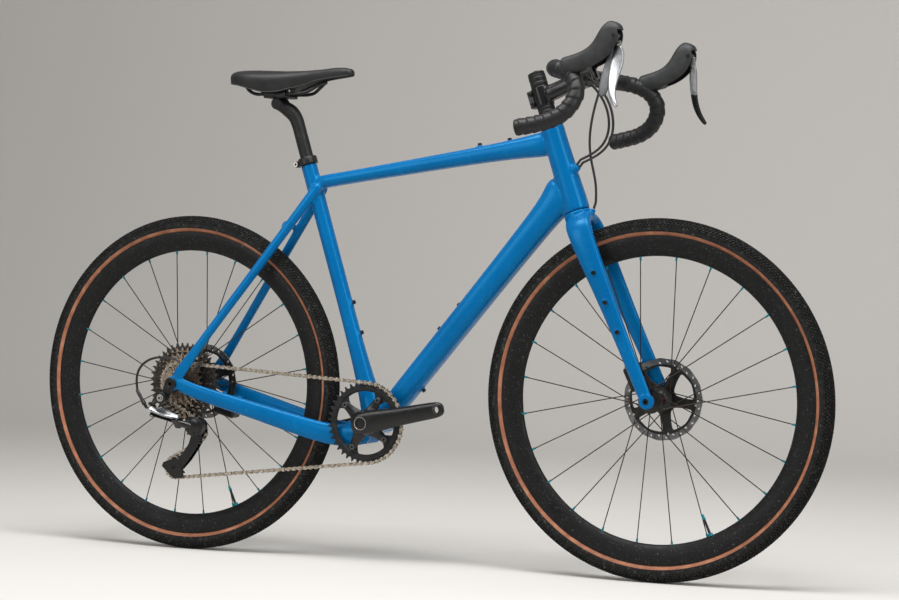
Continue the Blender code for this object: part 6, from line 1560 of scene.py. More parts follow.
def make_right_crank(gloss, silver, black, screw):
    """The drive side crank: arm, four-armed spider and cap, moulded in one."""
    along = polar(CRANK_ANGLE)
    parts = [loft("crank_arm", crank_rows(along, -1), gloss, count=16)]
    middle = BOTTOM_BRACKET - SIDE * SPIDER_OFFSET
    for turn in SPIDER_TURNS:
        out = polar(CRANK_ANGLE + turn)
        rows = [(middle + out * reach - SIDE * lift, thick, width, 3.0)
                for reach, lift, thick, width in (
                    (0, 0.003, 0.0100, 0.040), (0.016, 0.002, 0.0090, 0.034),
                    (0.034, 0, 0.0064, 0.021), (0.050, 0, 0.0052, 0.0175),
                    (0.0625, 0, 0.0050, 0.013))]
        parts.append(loft("spider_arm", rows, gloss, count=12))
    parts.append(rod("crank_boss", middle + SIDE * 0.0025, middle - SIDE * 0.0140, 0.0235, gloss,
                     48))
    skin = fuse("crank_right_dressed", parts, 0.0013, 4)
    hollow(skin, pedal_bore(along, -1, gloss),
           rod("cap_bore", BOTTOM_BRACKET - SIDE * 0.0712, BOTTOM_BRACKET - SIDE * 0.090, 0.0134,
               gloss, 48))
    ring = spun("cap_ring", [(0.0118, 0.0712), (0.0118, 0.0741), (0.0122, 0.0746), (0.0130, 0.0746),
                             (0.0132, 0.0741), (0.0132, 0.0712)], silver, BOTTOM_BRACKET, -SIDE, 64)
    cap = plate("crank_cap", [circle(0.0117, 48), notched(0.0100, 48, 6, 0.80)], 0.0022, black,
                BOTTOM_BRACKET - SIDE * 0.0728, bevel=0.0003)
    floor = rod("cap_floor", BOTTOM_BRACKET - SIDE * 0.0705, BOTTOM_BRACKET - SIDE * 0.0720, 0.0117,
                black, 32)
    spindle = rod("spindle", BOTTOM_BRACKET - SIDE * 0.055, BOTTOM_BRACKET + SIDE * 0.066, 0.0120,
                  silver, 40)
    bolts = [place_copy(screw, "ring_bolt", BOTTOM_BRACKET + polar(CRANK_ANGLE + turn) * 0.055
                        - SIDE * (SPIDER_OFFSET + 0.0022), -SIDE) for turn in SPIDER_TURNS]
    join(skin, ring, cap, floor, spindle, pedal_eye(along, -1, black), *bolts)
    return settle(skin, "crank", ["crank_right"], 45)


def make_left_crank(gloss, black, screw):
    """The other crank with its pinch bolts and preload cap."""
    along = -polar(CRANK_ANGLE)
    skin = fuse("crank_left_dressed", [loft("crank_arm", crank_rows(along, 1), gloss, count=16)],
                0.0013, 3)
    hollow(skin, pedal_bore(along, 1, gloss),
           rod("cap_bore", BOTTOM_BRACKET + SIDE * 0.045, BOTTOM_BRACKET + SIDE * 0.090, 0.0123,
               gloss, 40))
    cap = spun("preload_cap", [(0.0060, 0.0700), (0.0060, 0.0735), (0.0075, 0.0752),
                               (0.0112, 0.0752),
                               (0.0121, 0.0738), (0.0121, 0.0700)], black, BOTTOM_BRACKET, SIDE, 48)
    across = along.cross(SIDE)
    pinch = [place_copy(screw, "pinch_bolt", BOTTOM_BRACKET + along * reach + SIDE * 0.0600
                        - across * 0.0215, -across) for reach in (-0.004, 0.008)]
    join(skin, cap, pedal_eye(along, 1, black), *pinch)
    return settle(skin, "crank", ["crank_left"], 45)


def make_cups(black, steel):
    """Bearing cups with a notched rim, each with its bright seal."""
    for side, tag in ((-1, "right"), (1, "left")):
        face = 0.0433
        cup = plate("cup_" + tag, [notched(0.0235, 96, 6, 0.955), circle(0.0165, 40)], 0.0034,
                    black, BOTTOM_BRACKET + SIDE * side * (face + 0.0018), bevel=0.0004)
        seal = spun("cup_seal",
                    [(0.0122, face - 0.010), (0.0122, face + 0.0028), (0.0167, face + 0.0028),
                     (0.0167, face - 0.010)], steel, BOTTOM_BRACKET, SIDE * side, 40)
        sleeve = spun("cup_sleeve", [(0.0167, face - 0.012), (0.0202, face - 0.012), (0.0202, face),
                                     (0.0167, face)], black, BOTTOM_BRACKET, SIDE * side, 40)
        join(cup, seal, sleeve)
        settle(cup, "frame", ["bottom_bracket_cup_" + tag], 30)


# Rear derailleur

def hull(circles, count=12):
    """Outline round a row of circles (x, z, radius)."""
    left, right = [], []
    last = len(circles) - 1
    for i, (x, z, radius) in enumerate(circles):
        before, after = circles[max(i - 1, 0)], circles[min(i + 1, last)]
        heading = math.atan2(after[1] - before[1], after[0] - before[0])
        turns = [math.pi / 2]
        if i == 0:
            turns = [math.pi / 2 + math.pi / 2 * k / count for k in range(count, -1, -2)]
        if i == last:
            turns = [math.pi / 2 - math.pi / 2 * k / count for k in range(0, count + 1, 2)]
        for turn in turns:
            for edge, way in ((left, heading + turn), (right, heading - turn)):
                across, rise = spot_at(radius, way)
                edge.append((x + across, z + rise))
    points = left + right[::-1]
    return [spot for i, spot in enumerate(points) if math.dist(spot, points[i - 1]) > 0.0003]


def make_hanger(black, screw):
    """The hanger that the axle clamps, with its rounded edges and screw."""
    outline = hull([(0.0, 0.0, 0.0120), (-0.006, -0.013, 0.0095), (-0.014, -0.029, 0.0090)])
    hanger = plate("hanger_dressed", [outline, circle(0.0063, 24)], 0.0050, black,
                   near_axle(0, -0.0823, 0), bevel=0.0009)
    join(hanger, place_copy(screw, "hanger_screw", near_axle(-0.0035, -0.0843, 0.0085), -SIDE))
    return settle(hanger, "frame", ["derailleur_hanger"], 30)


def make_knuckle(gloss, black, silver, screw):
    """The upper knuckle: mounting drum, arm and carrier in one casting, with its adjuster."""
    bolt = near_axle(-0.014, -0.0851, -0.029)
    level = LINK_AXIS * KNUCKLE_LEVEL
    middle = (OUTER_PIN + INNER_PIN) / 2 + level
    parts = [rod("drum", bolt, bolt - SIDE * 0.0135, 0.0125, gloss, 40),
             block("carrier", middle, PIN_CARRIER, gloss, side=LINK_ACROSS),
             loft("arm", [(bolt - SIDE * 0.0075, 0.012, 0.020, 2.6),
                          (near_axle(-0.0310, -0.0906, -0.0325), 0.0080, 0.0150, 2.6),
                          (middle - LINK_ACROSS * 0.005 + LINK_AXIS * 0.0005, 0.0060, 0.0070, 2.6)],
                  gloss),
             rod("seat", middle - FORWARD * 0.0055, BARREL_START, 0.0044, gloss, 20)]
    knuckle = fuse("knuckle_dressed", parts, 0.0009, 3)
    way = (BARREL_END - BARREL_START).normalized()
    barrel = spun("adjuster", [(0, -0.003), (0.0030, -0.003), (0.0030, 0.004), (0.0046, 0.0055),
                               (0.0046, 0.0125), (0.0038, 0.0140), (0.0038, 0.0170),
                               (0.0031, 0.0250), (0, 0.0250)], black, BARREL_START, way, 16)
    pins = [rod("link_pin", pin + level * 1.36, pin - LINK_AXIS * 0.0070, 0.0022, silver, 16)
            for pin in (OUTER_PIN, INNER_PIN)]
    face = bolt - SIDE * 0.0135
    washer = spun("mount_washer", [(0.0050, 0), (0.0078, 0), (0.0078, 0.0012), (0.0050, 0.0012)],
                  silver, face, -SIDE, 32)
    limits = [place_copy(screw, "limit_screw", middle + LINK_ACROSS * shift - FORWARD * 0.0060,
                         -FORWARD)
              for shift in (-0.0055, 0.0035)]
    join(knuckle, barrel, washer, place_copy(screw, "mount_bolt", face - SIDE * 0.0006, -SIDE),
         *pins, *limits)
    return settle(knuckle, "frame", ["derailleur_knuckle"], 45)


def make_links(silver, black):
    """The wide silver outer link and the plain inner one."""
    thin = LINK_ALONG.cross(LINK_AXIS).normalized()
    thin *= -math.copysign(1, thin.dot(LINK_ACROSS))
    rows = []
    for reach, thick, depth, shift in (
            (-0.0042, 0.0046, 0.0110, 0), (0.000, 0.0088, 0.0134, 0),
            (0.007, 0.0070, 0.0134, 0.0004), (0.015, 0.0048, 0.0170, 0.0012),
            (0.030, 0.0044, 0.0200, 0.0018), (0.045, 0.0048, 0.0170, 0.0012),
            (0.053, 0.0070, 0.0134, 0.0004), (0.060, 0.0088, 0.0134, 0),
            (0.0642, 0.0046, 0.0110, 0)):
        rows.append((OUTER_PIN + LINK_ALONG * reach + thin * shift, thick, depth, 3.4))
    outer = loft("outer_link_dressed", rows, silver, across=thin, count=16)
    channel = [(OUTER_PIN + LINK_ALONG * reach + thin * 0.0048, 0.0030, 0.0085, 3.0)
               for reach in (0.014, 0.018, 0.042, 0.046)]
    hollow(outer, loft("link_channel", channel, silver, across=thin, count=12))
    settle(outer, "outer_link", ["derailleur_outer_link"], 35)
    inner = dressed("derailleur_inner_link", "inner_link_dressed", black, 0.0005, 2)
    settle(inner, "inner_link", ["derailleur_inner_link"], 35)


def make_cage_knuckle(gloss, silver, screw):
    """The lower knuckle that holds the cage's spring and clutch."""
    drum = Vector((CAGE_PIVOT.x, -0.0523, CAGE_PIVOT.z))
    level = LINK_AXIS * KNUCKLE_LEVEL
    ends = [pin + LINK_ALONG * LINK_LENGTH for pin in (OUTER_PIN, INNER_PIN)]
    middle = (ends[0] + ends[1]) / 2 - level
    parts = [rod("drum", drum, drum - SIDE * 0.0155, 0.0205, gloss, 48),
             block("carrier", middle, PIN_CARRIER, gloss, side=LINK_ACROSS),
             loft("arm", [(middle + FORWARD * 0.002, 0.016, 0.0072, 3.0),
                          (middle + FORWARD * 0.012, 0.016, 0.0112, 3.0),
                          (drum - SIDE * 0.0095, 0.012, 0.0180, 3.0)], gloss, across=LINK_ACROSS)]
    knuckle = fuse("cage_knuckle_dressed", parts, 0.0010, 3)
    face = drum - SIDE * 0.0153
    cover = spun("clutch_cover", [(0, -0.002), (0.0165, -0.002), (0.0165, 0.0008), (0.0140, 0.0016),
                                  (0.0040, 0.0020), (0, 0.0020)], gloss, face, -SIDE, 48)
    pins = [rod("link_pin", pin - level * 1.12, pin + LINK_AXIS * 0.0070, 0.0022, silver, 16)
            for pin in ends]
    screws = [place_copy(screw, "cover_screw",
                         face + polar(math.radians(turn)) * 0.0125 - SIDE * 0.0008,
                         -SIDE) for turn in (40, 160, 280)]
    join(knuckle, cover, *pins, *screws)
    return settle(knuckle, "cage_knuckle", ["derailleur_cage_knuckle"], 45)


def make_cage(gloss, screw):
    """Two bevelled cage plates on the pulleys' bolts."""
    cos_turn, sin_turn = math.cos(CAGE_TURN), math.sin(CAGE_TURN)
    rows = []
    for x, z, radius in ((0.049, -0.086, 0.0130), (0.046, -0.106, 0.0122), (0.034, -0.130, 0.0092),
                         (0.016, -0.153, 0.0092), (-0.004, -0.168, 0.0125),
                         (-0.013, -0.175, 0.0122)):
        x, z = REAR_AXLE.x + x - CAGE_PIVOT.x, REAR_AXLE.z + z - CAGE_PIVOT.z
        rows.append((CAGE_PIVOT.x + x * cos_turn - z * sin_turn - REAR_AXLE.x,
                     CAGE_PIVOT.z + x * sin_turn + z * cos_turn - REAR_AXLE.z, radius))
    plates = []
    for side in (-1, 1):
        centre = REAR_AXLE + SIDE * (side * 0.0075 - CHAIN_LINE)
        plates.append(plate("cage_plate", [hull(rows)], 0.0020, gloss, centre, bevel=0.0006))
    foot = [(-0.027, 0.002), (-0.024, 0.009), (-0.002, 0.017), (0.006, 0.021), (0.014, 0.017),
            (0.024, -0.014), (0.020, -0.021), (0.000, -0.022)]
    corner = TENSION - REAR_AXLE
    plates.append(plate("cage_foot", [[(corner.x + x, corner.z + z) for x, z in foot]], 0.0022,
                        gloss, REAR_AXLE - SIDE * 0.0519, bevel=0.0009))
    for middle in (GUIDE, TENSION):
        plates.append(through("cage_bolt", middle, SIDE * 0.0075, 0.0024, gloss, 16))
        plates.append(place_copy(screw, "cage_bolt_head", middle + SIDE * 0.0080, SIDE))
    plates.append(place_copy(screw, "cage_screw", TENSION - SIDE * 0.0080, -SIDE))
    cage = join(*plates)
    cage.name = "cage_dressed"
    return settle(cage, "cage", ["derailleur_cage"], 35)


def make_pulleys(pins, black, steel):
    """Toothed pulleys with pierced webs and steel bearings."""
    for tag, centre in (("guide", GUIDE), ("tension", TENSION)):
        phase = pin_angle(pins, centre, PULLEY_TEETH)
        wheel = plate(tag + "_pulley_dressed",
                      [tooth_outline(PULLEY_TEETH, phase), circle(0.0062, 24),
                       *holes_round(5, 0.0112, 0.0024, phase, 10)],
                      0.0020, black, centre, bevel=0.0002)
        bearing = spun("pulley_bearing", [(0.0026, -0.0026), (0.0050, -0.0026), (0.0064, -0.0018),
                                          (0.0064, 0.0018), (0.0050, 0.0026), (0.0026, 0.0026)],
                       steel, centre, SIDE, 32)
        join(wheel, bearing)
        settle(wheel, tag + "_pulley", [tag + "_pulley"], 30)


# Brakes and axles

def caliper_frame(tag):
    """Seat, direction along the mount, outward direction and width of a caliper."""
    if tag == "front":
        along = (FRONT_AXLE - CROWN).normalized()
        out = SIDE.cross(along).normalized()
        foot, half, low, high = FRONT_AXLE - along * 0.060, 0.0125, 0.0245, 0.0595
    else:
        along = CALIPER_SLOPE
        out = along.cross(SIDE).normalized() * -1
        foot, half, low, high = near_axle(0.070, 0, -0.0195), 0.0150, 0.0330, 0.0690
    seat = Vector((foot.x, (low + high) / 2, foot.z)) + out * (half + 0.0043)
    return seat, along, out, high - low


def make_caliper(tag, axle, offset, black, bolt, screw):
    """A two piston caliper, slotted for its rotor, with fins, bolts and hose fitting."""
    seat, along, out, width = caliper_frame(tag)
    middle = seat + out * 0.018
    body = block("caliper_core", middle, (0.050, width * 0.98, 0.030), black, along)
    break_edges(body, 0.0050, 3)
    foot = block("caliper_foot", seat + out * 0.0045, (0.052, width * 0.62, 0.009), black, along)
    parts = [body, break_edges(foot, 0.0015)]
    for side in (-1, 1):
        face = middle + SIDE * side * (width / 2 - 0.0045)
        parts.append(rod("piston_boss", face, face + SIDE * side * 0.0043, 0.0125, black, 32,
                         0.0112))
    skin = fuse(tag + "_caliper_dressed", parts, 0.0011, 2)
    disc = axle + SIDE * offset
    hollow(skin, through("slot", disc, SIDE * 0.0060, 0.0820, black, 96))
    extra = []
    for side in (-1, 1):
        face = middle + SIDE * side * (width / 2 - 0.0004)
        extra.append(spun("piston_cap",
                          [(0, -0.002), (0.0090, -0.002), (0.0090, 0.0002), (0.0082, 0.0005),
                           (0, 0.0005)], bolt, face - SIDE * side * 0.0008, SIDE * side, 32))
    for share in (-1, 1):
        extra.append(place_copy(screw, "caliper_bolt", seat + along * share * 0.0215 + out * 0.0095
                                + SIDE * 0.004, out))
    row = middle + out * 0.0170 + SIDE * 0.0110
    for step in (-2, -1, 0, 1, 2):
        extra.append(block("cooling_fin", row + along * step * 0.0055, (0.0016, 0.0080, 0.0060),
                           bolt, along))
    joint = middle - along * 0.0210 + out * 0.0130 + SIDE * (width / 2 - 0.008)
    extra.append(rod("hose_fitting", joint, joint - along * 0.0100, 0.0042, black, 16, 0.0032))
    join(skin, *extra)
    settle(skin, "steering" if tag == "front" else "frame", [tag + "_caliper"], 40)


def make_pads(steel, dark):
    """Brake pads: friction block on a steel backing plate."""
    for tag in ("front", "rear"):
        for kind in ("inner", "outer"):
            pad = dressed(f"{tag}_pad_{kind}", f"{tag}_pad_{kind}_dressed", steel, 0.0007, 2)
            pad.data.materials.append(dark)
            depths = [corner.co.y for corner in pad.data.vertices]
            middle = sum(depths) / len(depths)
            toward = 1 if kind == "inner" else -1
            for face in pad.data.polygons:
                if (face.center.y - middle) * toward > 0:
                    face.material_index = 1
            settle(pad, f"{tag}_pad_{kind}", [f"{tag}_pad_{kind}"], 30)


def make_axle(tag, axle, right, left, body, black):
    """A thru axle with a rounded head and a round socket on the left."""
    shaft = spun(tag + "_axle_dressed", [
        (0, left + 0.0015), (0.0036, left + 0.0015), (0.0038, left + 0.0045),
        (0.0080, left + 0.0045),
        (0.0092, left + 0.0036), (0.0100, left + 0.0018), (0.0100, left + 0.0003),
        (0.0060, left + 0.0003), (0.0060, right + 0.001), (0.0052, right), (0.0035, right),
        (0.0033, right + 0.006), (0, right + 0.006)], black, axle, SIDE, 36)
    return settle(shaft, body, [tag + "_thru_axle"], 30)


# Stem, headset and seat

def make_headset(carbon, screw):
    """Cover, spacers and cap round the steerer."""
    def ring(name, low, high, radius, foot=None):
        foot = foot or radius
        return spun(name, [(0.0146, low), (foot - 0.0005, low), (foot, low + 0.0006),
                           (radius, high - 0.0006), (radius - 0.0005, high), (0.0146, high)],
                    carbon, HEAD_TOP, STEER_UP, 48)

    settle(ring("headset_cover_dressed", 0.0003, 0.0155, 0.0180, 0.0230), "frame",
           ["headset_cover"], 40)
    stack = [ring("lower_spacers_dressed", low, high, 0.0172)
             for low, high in ((0.0158, 0.0257), (0.0259, 0.0358), (0.0360, 0.0438))]
    settle(join(*stack), "steering", ["lower_spacers"], 40)
    stack = [ring("upper_spacer_dressed", low, high, 0.0172)
             for low, high in ((0.0844, 0.0943), (0.0945, 0.1044), (0.1046, 0.1084))]
    settle(join(*stack), "steering", ["upper_spacer"], 40)
    cap = spun("top_cap_dressed",
               [(0, 0.1087), (0.0160, 0.1087), (0.0166, 0.1095), (0.0166, 0.1125),
                (0.0150, 0.1140), (0.0060, 0.1147), (0, 0.1147)], carbon, HEAD_TOP, STEER_UP, 48)
    join(cap, place_copy(screw, "cap_bolt", HEAD_TOP + STEER_UP * 0.1140, STEER_UP))
    settle(cap, "steering", ["top_cap"], 40)


def make_stem(gloss, screw):
    """Stem and faceplate with their bolts."""
    middle = HEAD_TOP + STEER_UP * 0.0641
    ahead = (BAR_CENTRE - middle).normalized()
    upward = SIDE.cross(ahead) * -1
    body = loft("stem_body", [
        (middle + ahead * 0.004, 0.036, 0.034, 3.0), (middle + ahead * 0.030, 0.033, 0.031, 2.8),
        (BAR_CENTRE - ahead * 0.034, 0.034, 0.031, 2.8),
        (BAR_CENTRE - ahead * 0.014, 0.044, 0.038, 3.6),
        (BAR_CENTRE - ahead * 0.0015, 0.046, 0.040, 4.0),
        (BAR_CENTRE - ahead * 0.0005, 0.046, 0.040, 4.0)], gloss)
    clamp = through("stem_clamp", middle, STEER_UP * 0.0198, 0.0187, gloss, 48)
    lug = block("stem_lug", middle - STEER_FORWARD * 0.0185, (0.0165, 0.022, 0.035), gloss,
                STEER_FORWARD)
    skin = fuse("stem_dressed", [body, clamp, lug], 0.0011, 3)
    hollow(skin, through("steerer_bore", middle, STEER_UP * 0.04, 0.0147, gloss, 40),
           through("bar_bore", BAR_CENTRE, SIDE * 0.04, BAR_BORE, gloss, 40),
           block("slot", middle - STEER_FORWARD * 0.023, (0.020, 0.0022, 0.060), gloss,
                 STEER_FORWARD))
    spot = middle - STEER_FORWARD * 0.0205 - SIDE * 0.0110
    for rise in (0.01, -0.01):
        join(skin, place_copy(screw, "clamp_bolt", spot + STEER_UP * rise, -SIDE))
    settle(skin, "steering", ["stem"], 45)
    face = block("faceplate_dressed", BAR_CENTRE + ahead * 0.0096, (0.0185, 0.046, 0.040), gloss,
                 ahead)
    break_edges(face, 0.0050, 4)
    hollow(face, through("bar_bore", BAR_CENTRE, SIDE * 0.04, BAR_BORE, gloss, 48),
           block("window", BAR_CENTRE + ahead * 0.0150, (0.020, 0.020, 0.020), gloss, ahead))
    bolts = [place_copy(screw, "face_bolt", BAR_CENTRE + ahead * 0.0180 + SIDE * side * 0.0165
                        + upward * rise * 0.0145, ahead) for side in (-1, 1) for rise in (-1, 1)]
    join(face, *bolts)
    settle(face, "steering", ["stem_faceplate"], 40)


def make_post(carbon):
    """The seatpost, bending back into the wide neck that holds the clamp."""
    top = SEAT_TOP + SEAT_UP * 0.106
    tube = rod("post_tube", SEAT_TOP - SEAT_UP * 0.115, top - SEAT_UP * 0.012, POST_RADIUS, carbon,
               40)
    neck = loft("post_neck", [
        (top - SEAT_UP * 0.034, 0.0274, 0.0274, 2.0), (top - SEAT_UP * 0.016, 0.0276, 0.0276, 2.0),
        (top - SEAT_UP * 0.002 - FORWARD * 0.002, 0.0290, 0.0285, 2.1),
        (top + Vector((-0.0115, 0, 0.0085)), 0.0320, 0.0310, 2.4),
        (top.lerp(HEAD_PIN, 0.66) + UP * 0.0003, 0.0360, 0.0262, 2.8),
        (HEAD_PIN - UP * 0.0030, 0.0380, 0.0220, 3.0),
        (HEAD_PIN - UP * 0.0028 - FORWARD * 0.0070, 0.0380, 0.0190, 2.8)], carbon)
    barrel = through("post_barrel", HEAD_PIN, SIDE * 0.019, 0.0124, carbon, 40)
    skin = fuse("post_dressed", [tube, neck, barrel], 0.0012, 3)
    return settle(skin, "post", ["seatpost"], 50)


def saddle_place(x, y, z):
    """A place given from the middle of the saddle's clamp, z from the top of the saddle."""
    return Vector((HEAD_PIN.x + x, y, SADDLE_HEIGHT + z))


def saddle_rows():
    """Half width, skirt and top along the saddle, on smooth lines."""
    stations = [
        (-0.098, 0.034, -0.0250, -0.0080), (-0.0955, 0.044, -0.0290, -0.0040),
        (-0.086, 0.056, -0.0315, -0.0010), (-0.066, 0.0675, -0.0350, 0.0000),
        (-0.038, 0.071, -0.0425, 0.0000), (-0.008, 0.0645, -0.0490, -0.0010),
        (0.024, 0.0450, -0.0450, -0.0020), (0.060, 0.0275, -0.0345, -0.0010),
        (0.098, 0.0205, -0.0240, 0.0010), (0.130, 0.0185, -0.0190, 0.0030),
        (0.152, 0.0155, -0.0165, 0.0025),
        (0.1645, 0.0105, -0.0150, -0.0005), (0.169, 0.0050, -0.0125, -0.0050)]
    widths = smooth_line([(x, half, 0) for x, half, _, _ in stations], 0.006)
    heights = smooth_line([(x, skirt, top) for x, _, skirt, top in stations], 0.006)
    return [(spot.x, spot.y, near.y, near.z) for spot in widths
            for near in [min(heights, key=lambda other: abs(other.x - spot.x))]]


def make_saddle(skin, black, thread):
    """The cushioned skin drawn down over its shell, with a channel and a seam each side."""
    cover_rings = []
    rows = saddle_rows()
    for x, half, skirt, top in rows:
        deep = top - skirt
        wall = min(0.004, half * 0.3)
        fade = max(0.0, min(1.0, (x + 0.075) / 0.03, (0.125 - x) / 0.04))
        ring = []
        for k in range(25):
            turn = math.pi * k / 24
            y = half * math.copysign(abs(math.cos(turn)) ** 0.62, math.cos(turn))
            z = top - 0.0035 - (deep - 0.0035) * (1 - math.sin(turn) ** 0.50) * 0.96
            z += 0.0035 * math.sin(turn) ** 2
            z -= 0.0038 * math.exp(-(y / 0.0085) ** 2) * fade * (math.sin(turn) > 0.6)
            tuck = 1 - 0.10 * (1 - math.sin(turn)) ** 3
            ring.append(saddle_place(x, y * tuck, z))
        inner = half * 0.90 - wall
        under = min(-0.0120, skirt + 0.010)
        ring += [saddle_place(x, y, z) for y, z in (
            (wall * 0.5 - half * 0.90, skirt), (-inner, skirt + 0.002), (-inner, under),
            (0, under + 0.001), (inner, under), (inner, skirt + 0.002),
            (half * 0.90 - wall * 0.5, skirt))]
        cover_rings.append(ring)
    cover = wrap("saddle_cover_dressed", cover_rings, skin)
    soften(cover, 1)
    settle(cover, "saddle", ["saddle_cover"], 60)
    outline = ((-0.78, 0.0125), (0.78, 0.0125), (0.74, 0.0035), (0, 0.0075), (-0.74, 0.0035))
    base_rings = [[saddle_place(x, half * share, skirt + rise) for share, rise in outline]
                  for x, half, skirt, _ in rows[3:-3]]
    shell = wrap("saddle_shell_dressed", base_rings, black)
    settle(break_edges(shell, 0.0008, 2, 50), "saddle", ["saddle_shell"], 50)
    seam = []
    for side in (1, -1):
        edge = [saddle_place(x, side * half * 0.897, skirt + 0.0022)
                for x, half, skirt, _ in rows[2:-2]]
        seam.append(tubing("saddle_seam", edge, 0.0005, thread, 0.006, 1))
    settle(join(*seam), "saddle", (), 50)


def make_rails(black, screw):
    """Saddle rails and the clamp that grips them, with its bolts."""
    top = -0.0235
    nose = top - 0.0035
    half = [(-0.064, 0.033, top), (-0.0635, 0.0327, top - 0.008), (-0.059, 0.0305, -0.0400),
            (-0.051, 0.0255, -0.0467), (-0.0415, 0.0220, -0.0494), (-0.034, 0.0220, -0.0494),
            (0.000, 0.0220, -0.0494), (0.044, 0.0220, -0.0494), (0.052, 0.0219, -0.0493),
            (0.070, 0.0172, -0.0462), (0.087, 0.0108, -0.0358),
            (0.0975, 0.0072, nose - 0.0020), (0.1035, 0.0036, nose)]
    points = [saddle_place(*spot) for spot in half]
    points += [saddle_place(x, -y, z) for x, y, z in reversed(half)]
    rails = tubing("rails_dressed", points, 0.0035, black, 0.004, 4)
    settle(rails, "saddle", ["saddle_rails"], 50)
    clamp = dressed("saddle_clamp", "saddle_clamp_dressed", black, 0.0010, 3)
    centre = saddle_place(0, 0, -0.0429)
    bolts = [place_copy(screw, "clamp_bolt", centre + FORWARD * reach, UP)
             for reach in (-0.018, 0.018)]
    join(clamp, *bolts)
    settle(clamp, "clamp", ["saddle_clamp"], 35)


def make_seat_clamp(black, screw):
    """The seat collar with its ears and bolt."""
    collar = spun("seat_collar",
                  [(0.0139, 0.0003), (0.0192, 0.0003), (0.0198, 0.0010), (0.0198, 0.0135),
                   (0.0190, 0.0150), (0.0139, 0.0150)], black, SEAT_TOP, SEAT_UP, 64)
    middle = SEAT_TOP + SEAT_UP * 0.0077
    ears = block("collar_ears", middle - SEAT_FORWARD * 0.0225, (0.0100, 0.018, 0.0120), black,
                 SEAT_FORWARD)
    break_edges(ears, 0.0022, 3)
    hollow(ears, block("slit", middle - SEAT_FORWARD * 0.022, (0.020, 0.0022, 0.030), black,
                       SEAT_FORWARD))
    spot = middle - SEAT_FORWARD * 0.0238 - SIDE * 0.0085
    join(collar, ears, place_copy(screw, "collar_bolt", spot, -SIDE))
    collar.name = "seat_clamp_dressed"
    settle(collar, "frame", ["seat_clamp"], 40)


# Hoses and small screws

def eased(points, rounds, held=3):
    """A line with its kinks drawn out, its ends held."""
    points = [point.copy() for point in points]
    for _ in range(rounds):
        before = [point.copy() for point in points]
        for i in range(held, len(points) - held):
            points[i] = before[i] * 0.4 + (before[i - 1] + before[i + 1]) * 0.3
    return points


def make_hose(name, route, surface, rounds=60):
    """A hose on an eased route."""
    return tubing(name, eased(smooth_line(route, 0.006), rounds), HOSE_RADIUS, surface, 0.006, 3)


def bar_exit(side, x, z):
    """Where a hose leaves the tape beside the stem."""
    return BAR_CENTRE + Vector((x, side * (TAPE_START + 0.001), z))


def make_hoses(black):
    """Front brake hose, rear brake hose, shift housing and the derailleur's loop."""
    start = bar_exit(1, 0.0160, -0.006)
    end = FORK_PORT + FORK_PORT_WAY * 0.0006
    front = make_hose("front_hose_dressed", [
        start, start + Vector((0.002, -0.012, -0.001)), start + Vector((0.004, -0.030, -0.020)),
        start + Vector((-0.008, -0.042, -0.070)), start + Vector((-0.010, -0.054, -0.150)),
        end + FORK_PORT_WAY * 0.045 + SIDE * 0.001, end + FORK_PORT_WAY * 0.020, end], black)
    settle(front, "steering", ["front_brake_hose"], 60)
    inward = HEAD_PORT_WAY.cross(SIDE).normalized()
    for name, node, x, z, inner in (("rear_hose_dressed", "rear_brake_hose", 0.0170, -0.004, -1),
                                    ("shift_housing_dressed", "shift_housing", 0.0155, -0.0110, 1)):
        start = bar_exit(-1, x, z)
        end = HEAD_PORT + HEAD_PORT_WAY * 0.0006 + inward * inner * 0.0038
        base = bar_exit(-1, 0.0160, -0.0075)
        offset = -inner * 0.0042
        hose = make_hose(name, [
            start, start + Vector((0.002, 0.012, 0.0)),
            base + Vector((0.025, 0.020, -0.016)) + Vector((0.5, 0, 0.87)) * offset,
            base + Vector((0.046, 0.026, -0.054)) + Vector((0.93, 0, 0.37)) * offset,
            base + Vector((0.049, 0.030, -0.101)) + Vector((1.0, 0, -0.1)) * offset,
            base + Vector((0.033, 0.036, -0.141)) + Vector((0.85, 0, -0.50)) * offset,
            end + HEAD_PORT_WAY * 0.024, end], black)
        select_only(hose)
        bpy.ops.object.shade_smooth_by_angle(angle=math.radians(60))
        hose.data.name = hose.name
        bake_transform(hose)
        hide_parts(node)
    way = (BARREL_END - BARREL_START).normalized()
    loop = make_hose("derailleur_loop_dressed", [
        near_axle(0.0178, -0.0752, 0.0442), near_axle(0.004, -0.0752, 0.0530),
        near_axle(-0.030, -0.0760, 0.0590), near_axle(-0.062, -0.0755, 0.0520),
        near_axle(-0.087, -0.0750, 0.0330), near_axle(-0.0965, -0.0740, 0.0100),
        BARREL_END + way * 0.018, BARREL_END + way * 0.0006], black, 40)
    boot = rod("housing_boot", BARREL_END + way * 0.0010, BARREL_END + way * 0.0160, 0.0042, black,
               20, 0.0031)
    join(loop, boot)
    settle(loop, "frame", ["derailleur_housing"], 60)


def make_boss_screws(screw):
    """Cap screws in the bosses of frame and fork."""
    frame_set = [place_copy(screw, "boss_screw", foot + out * 0.0046, out)
                 for foot, out in frame_boss_places()]
    screws = join(*frame_set)
    screws.name = "frame_boss_screws"
    settle(screws, "frame", (), 30)
    fork_set = []
    for side in (-1, 1):
        for drop, y in LEG_BOSSES:
            spot = leg_line(drop) + SIDE * side * (y + 0.0040)
            fork_set.append(place_copy(screw, "boss_screw", spot, SIDE * side))
    screws = join(*fork_set)
    screws.name = "fork_boss_screws"
    settle(screws, "steering", (), 30)


# The bike

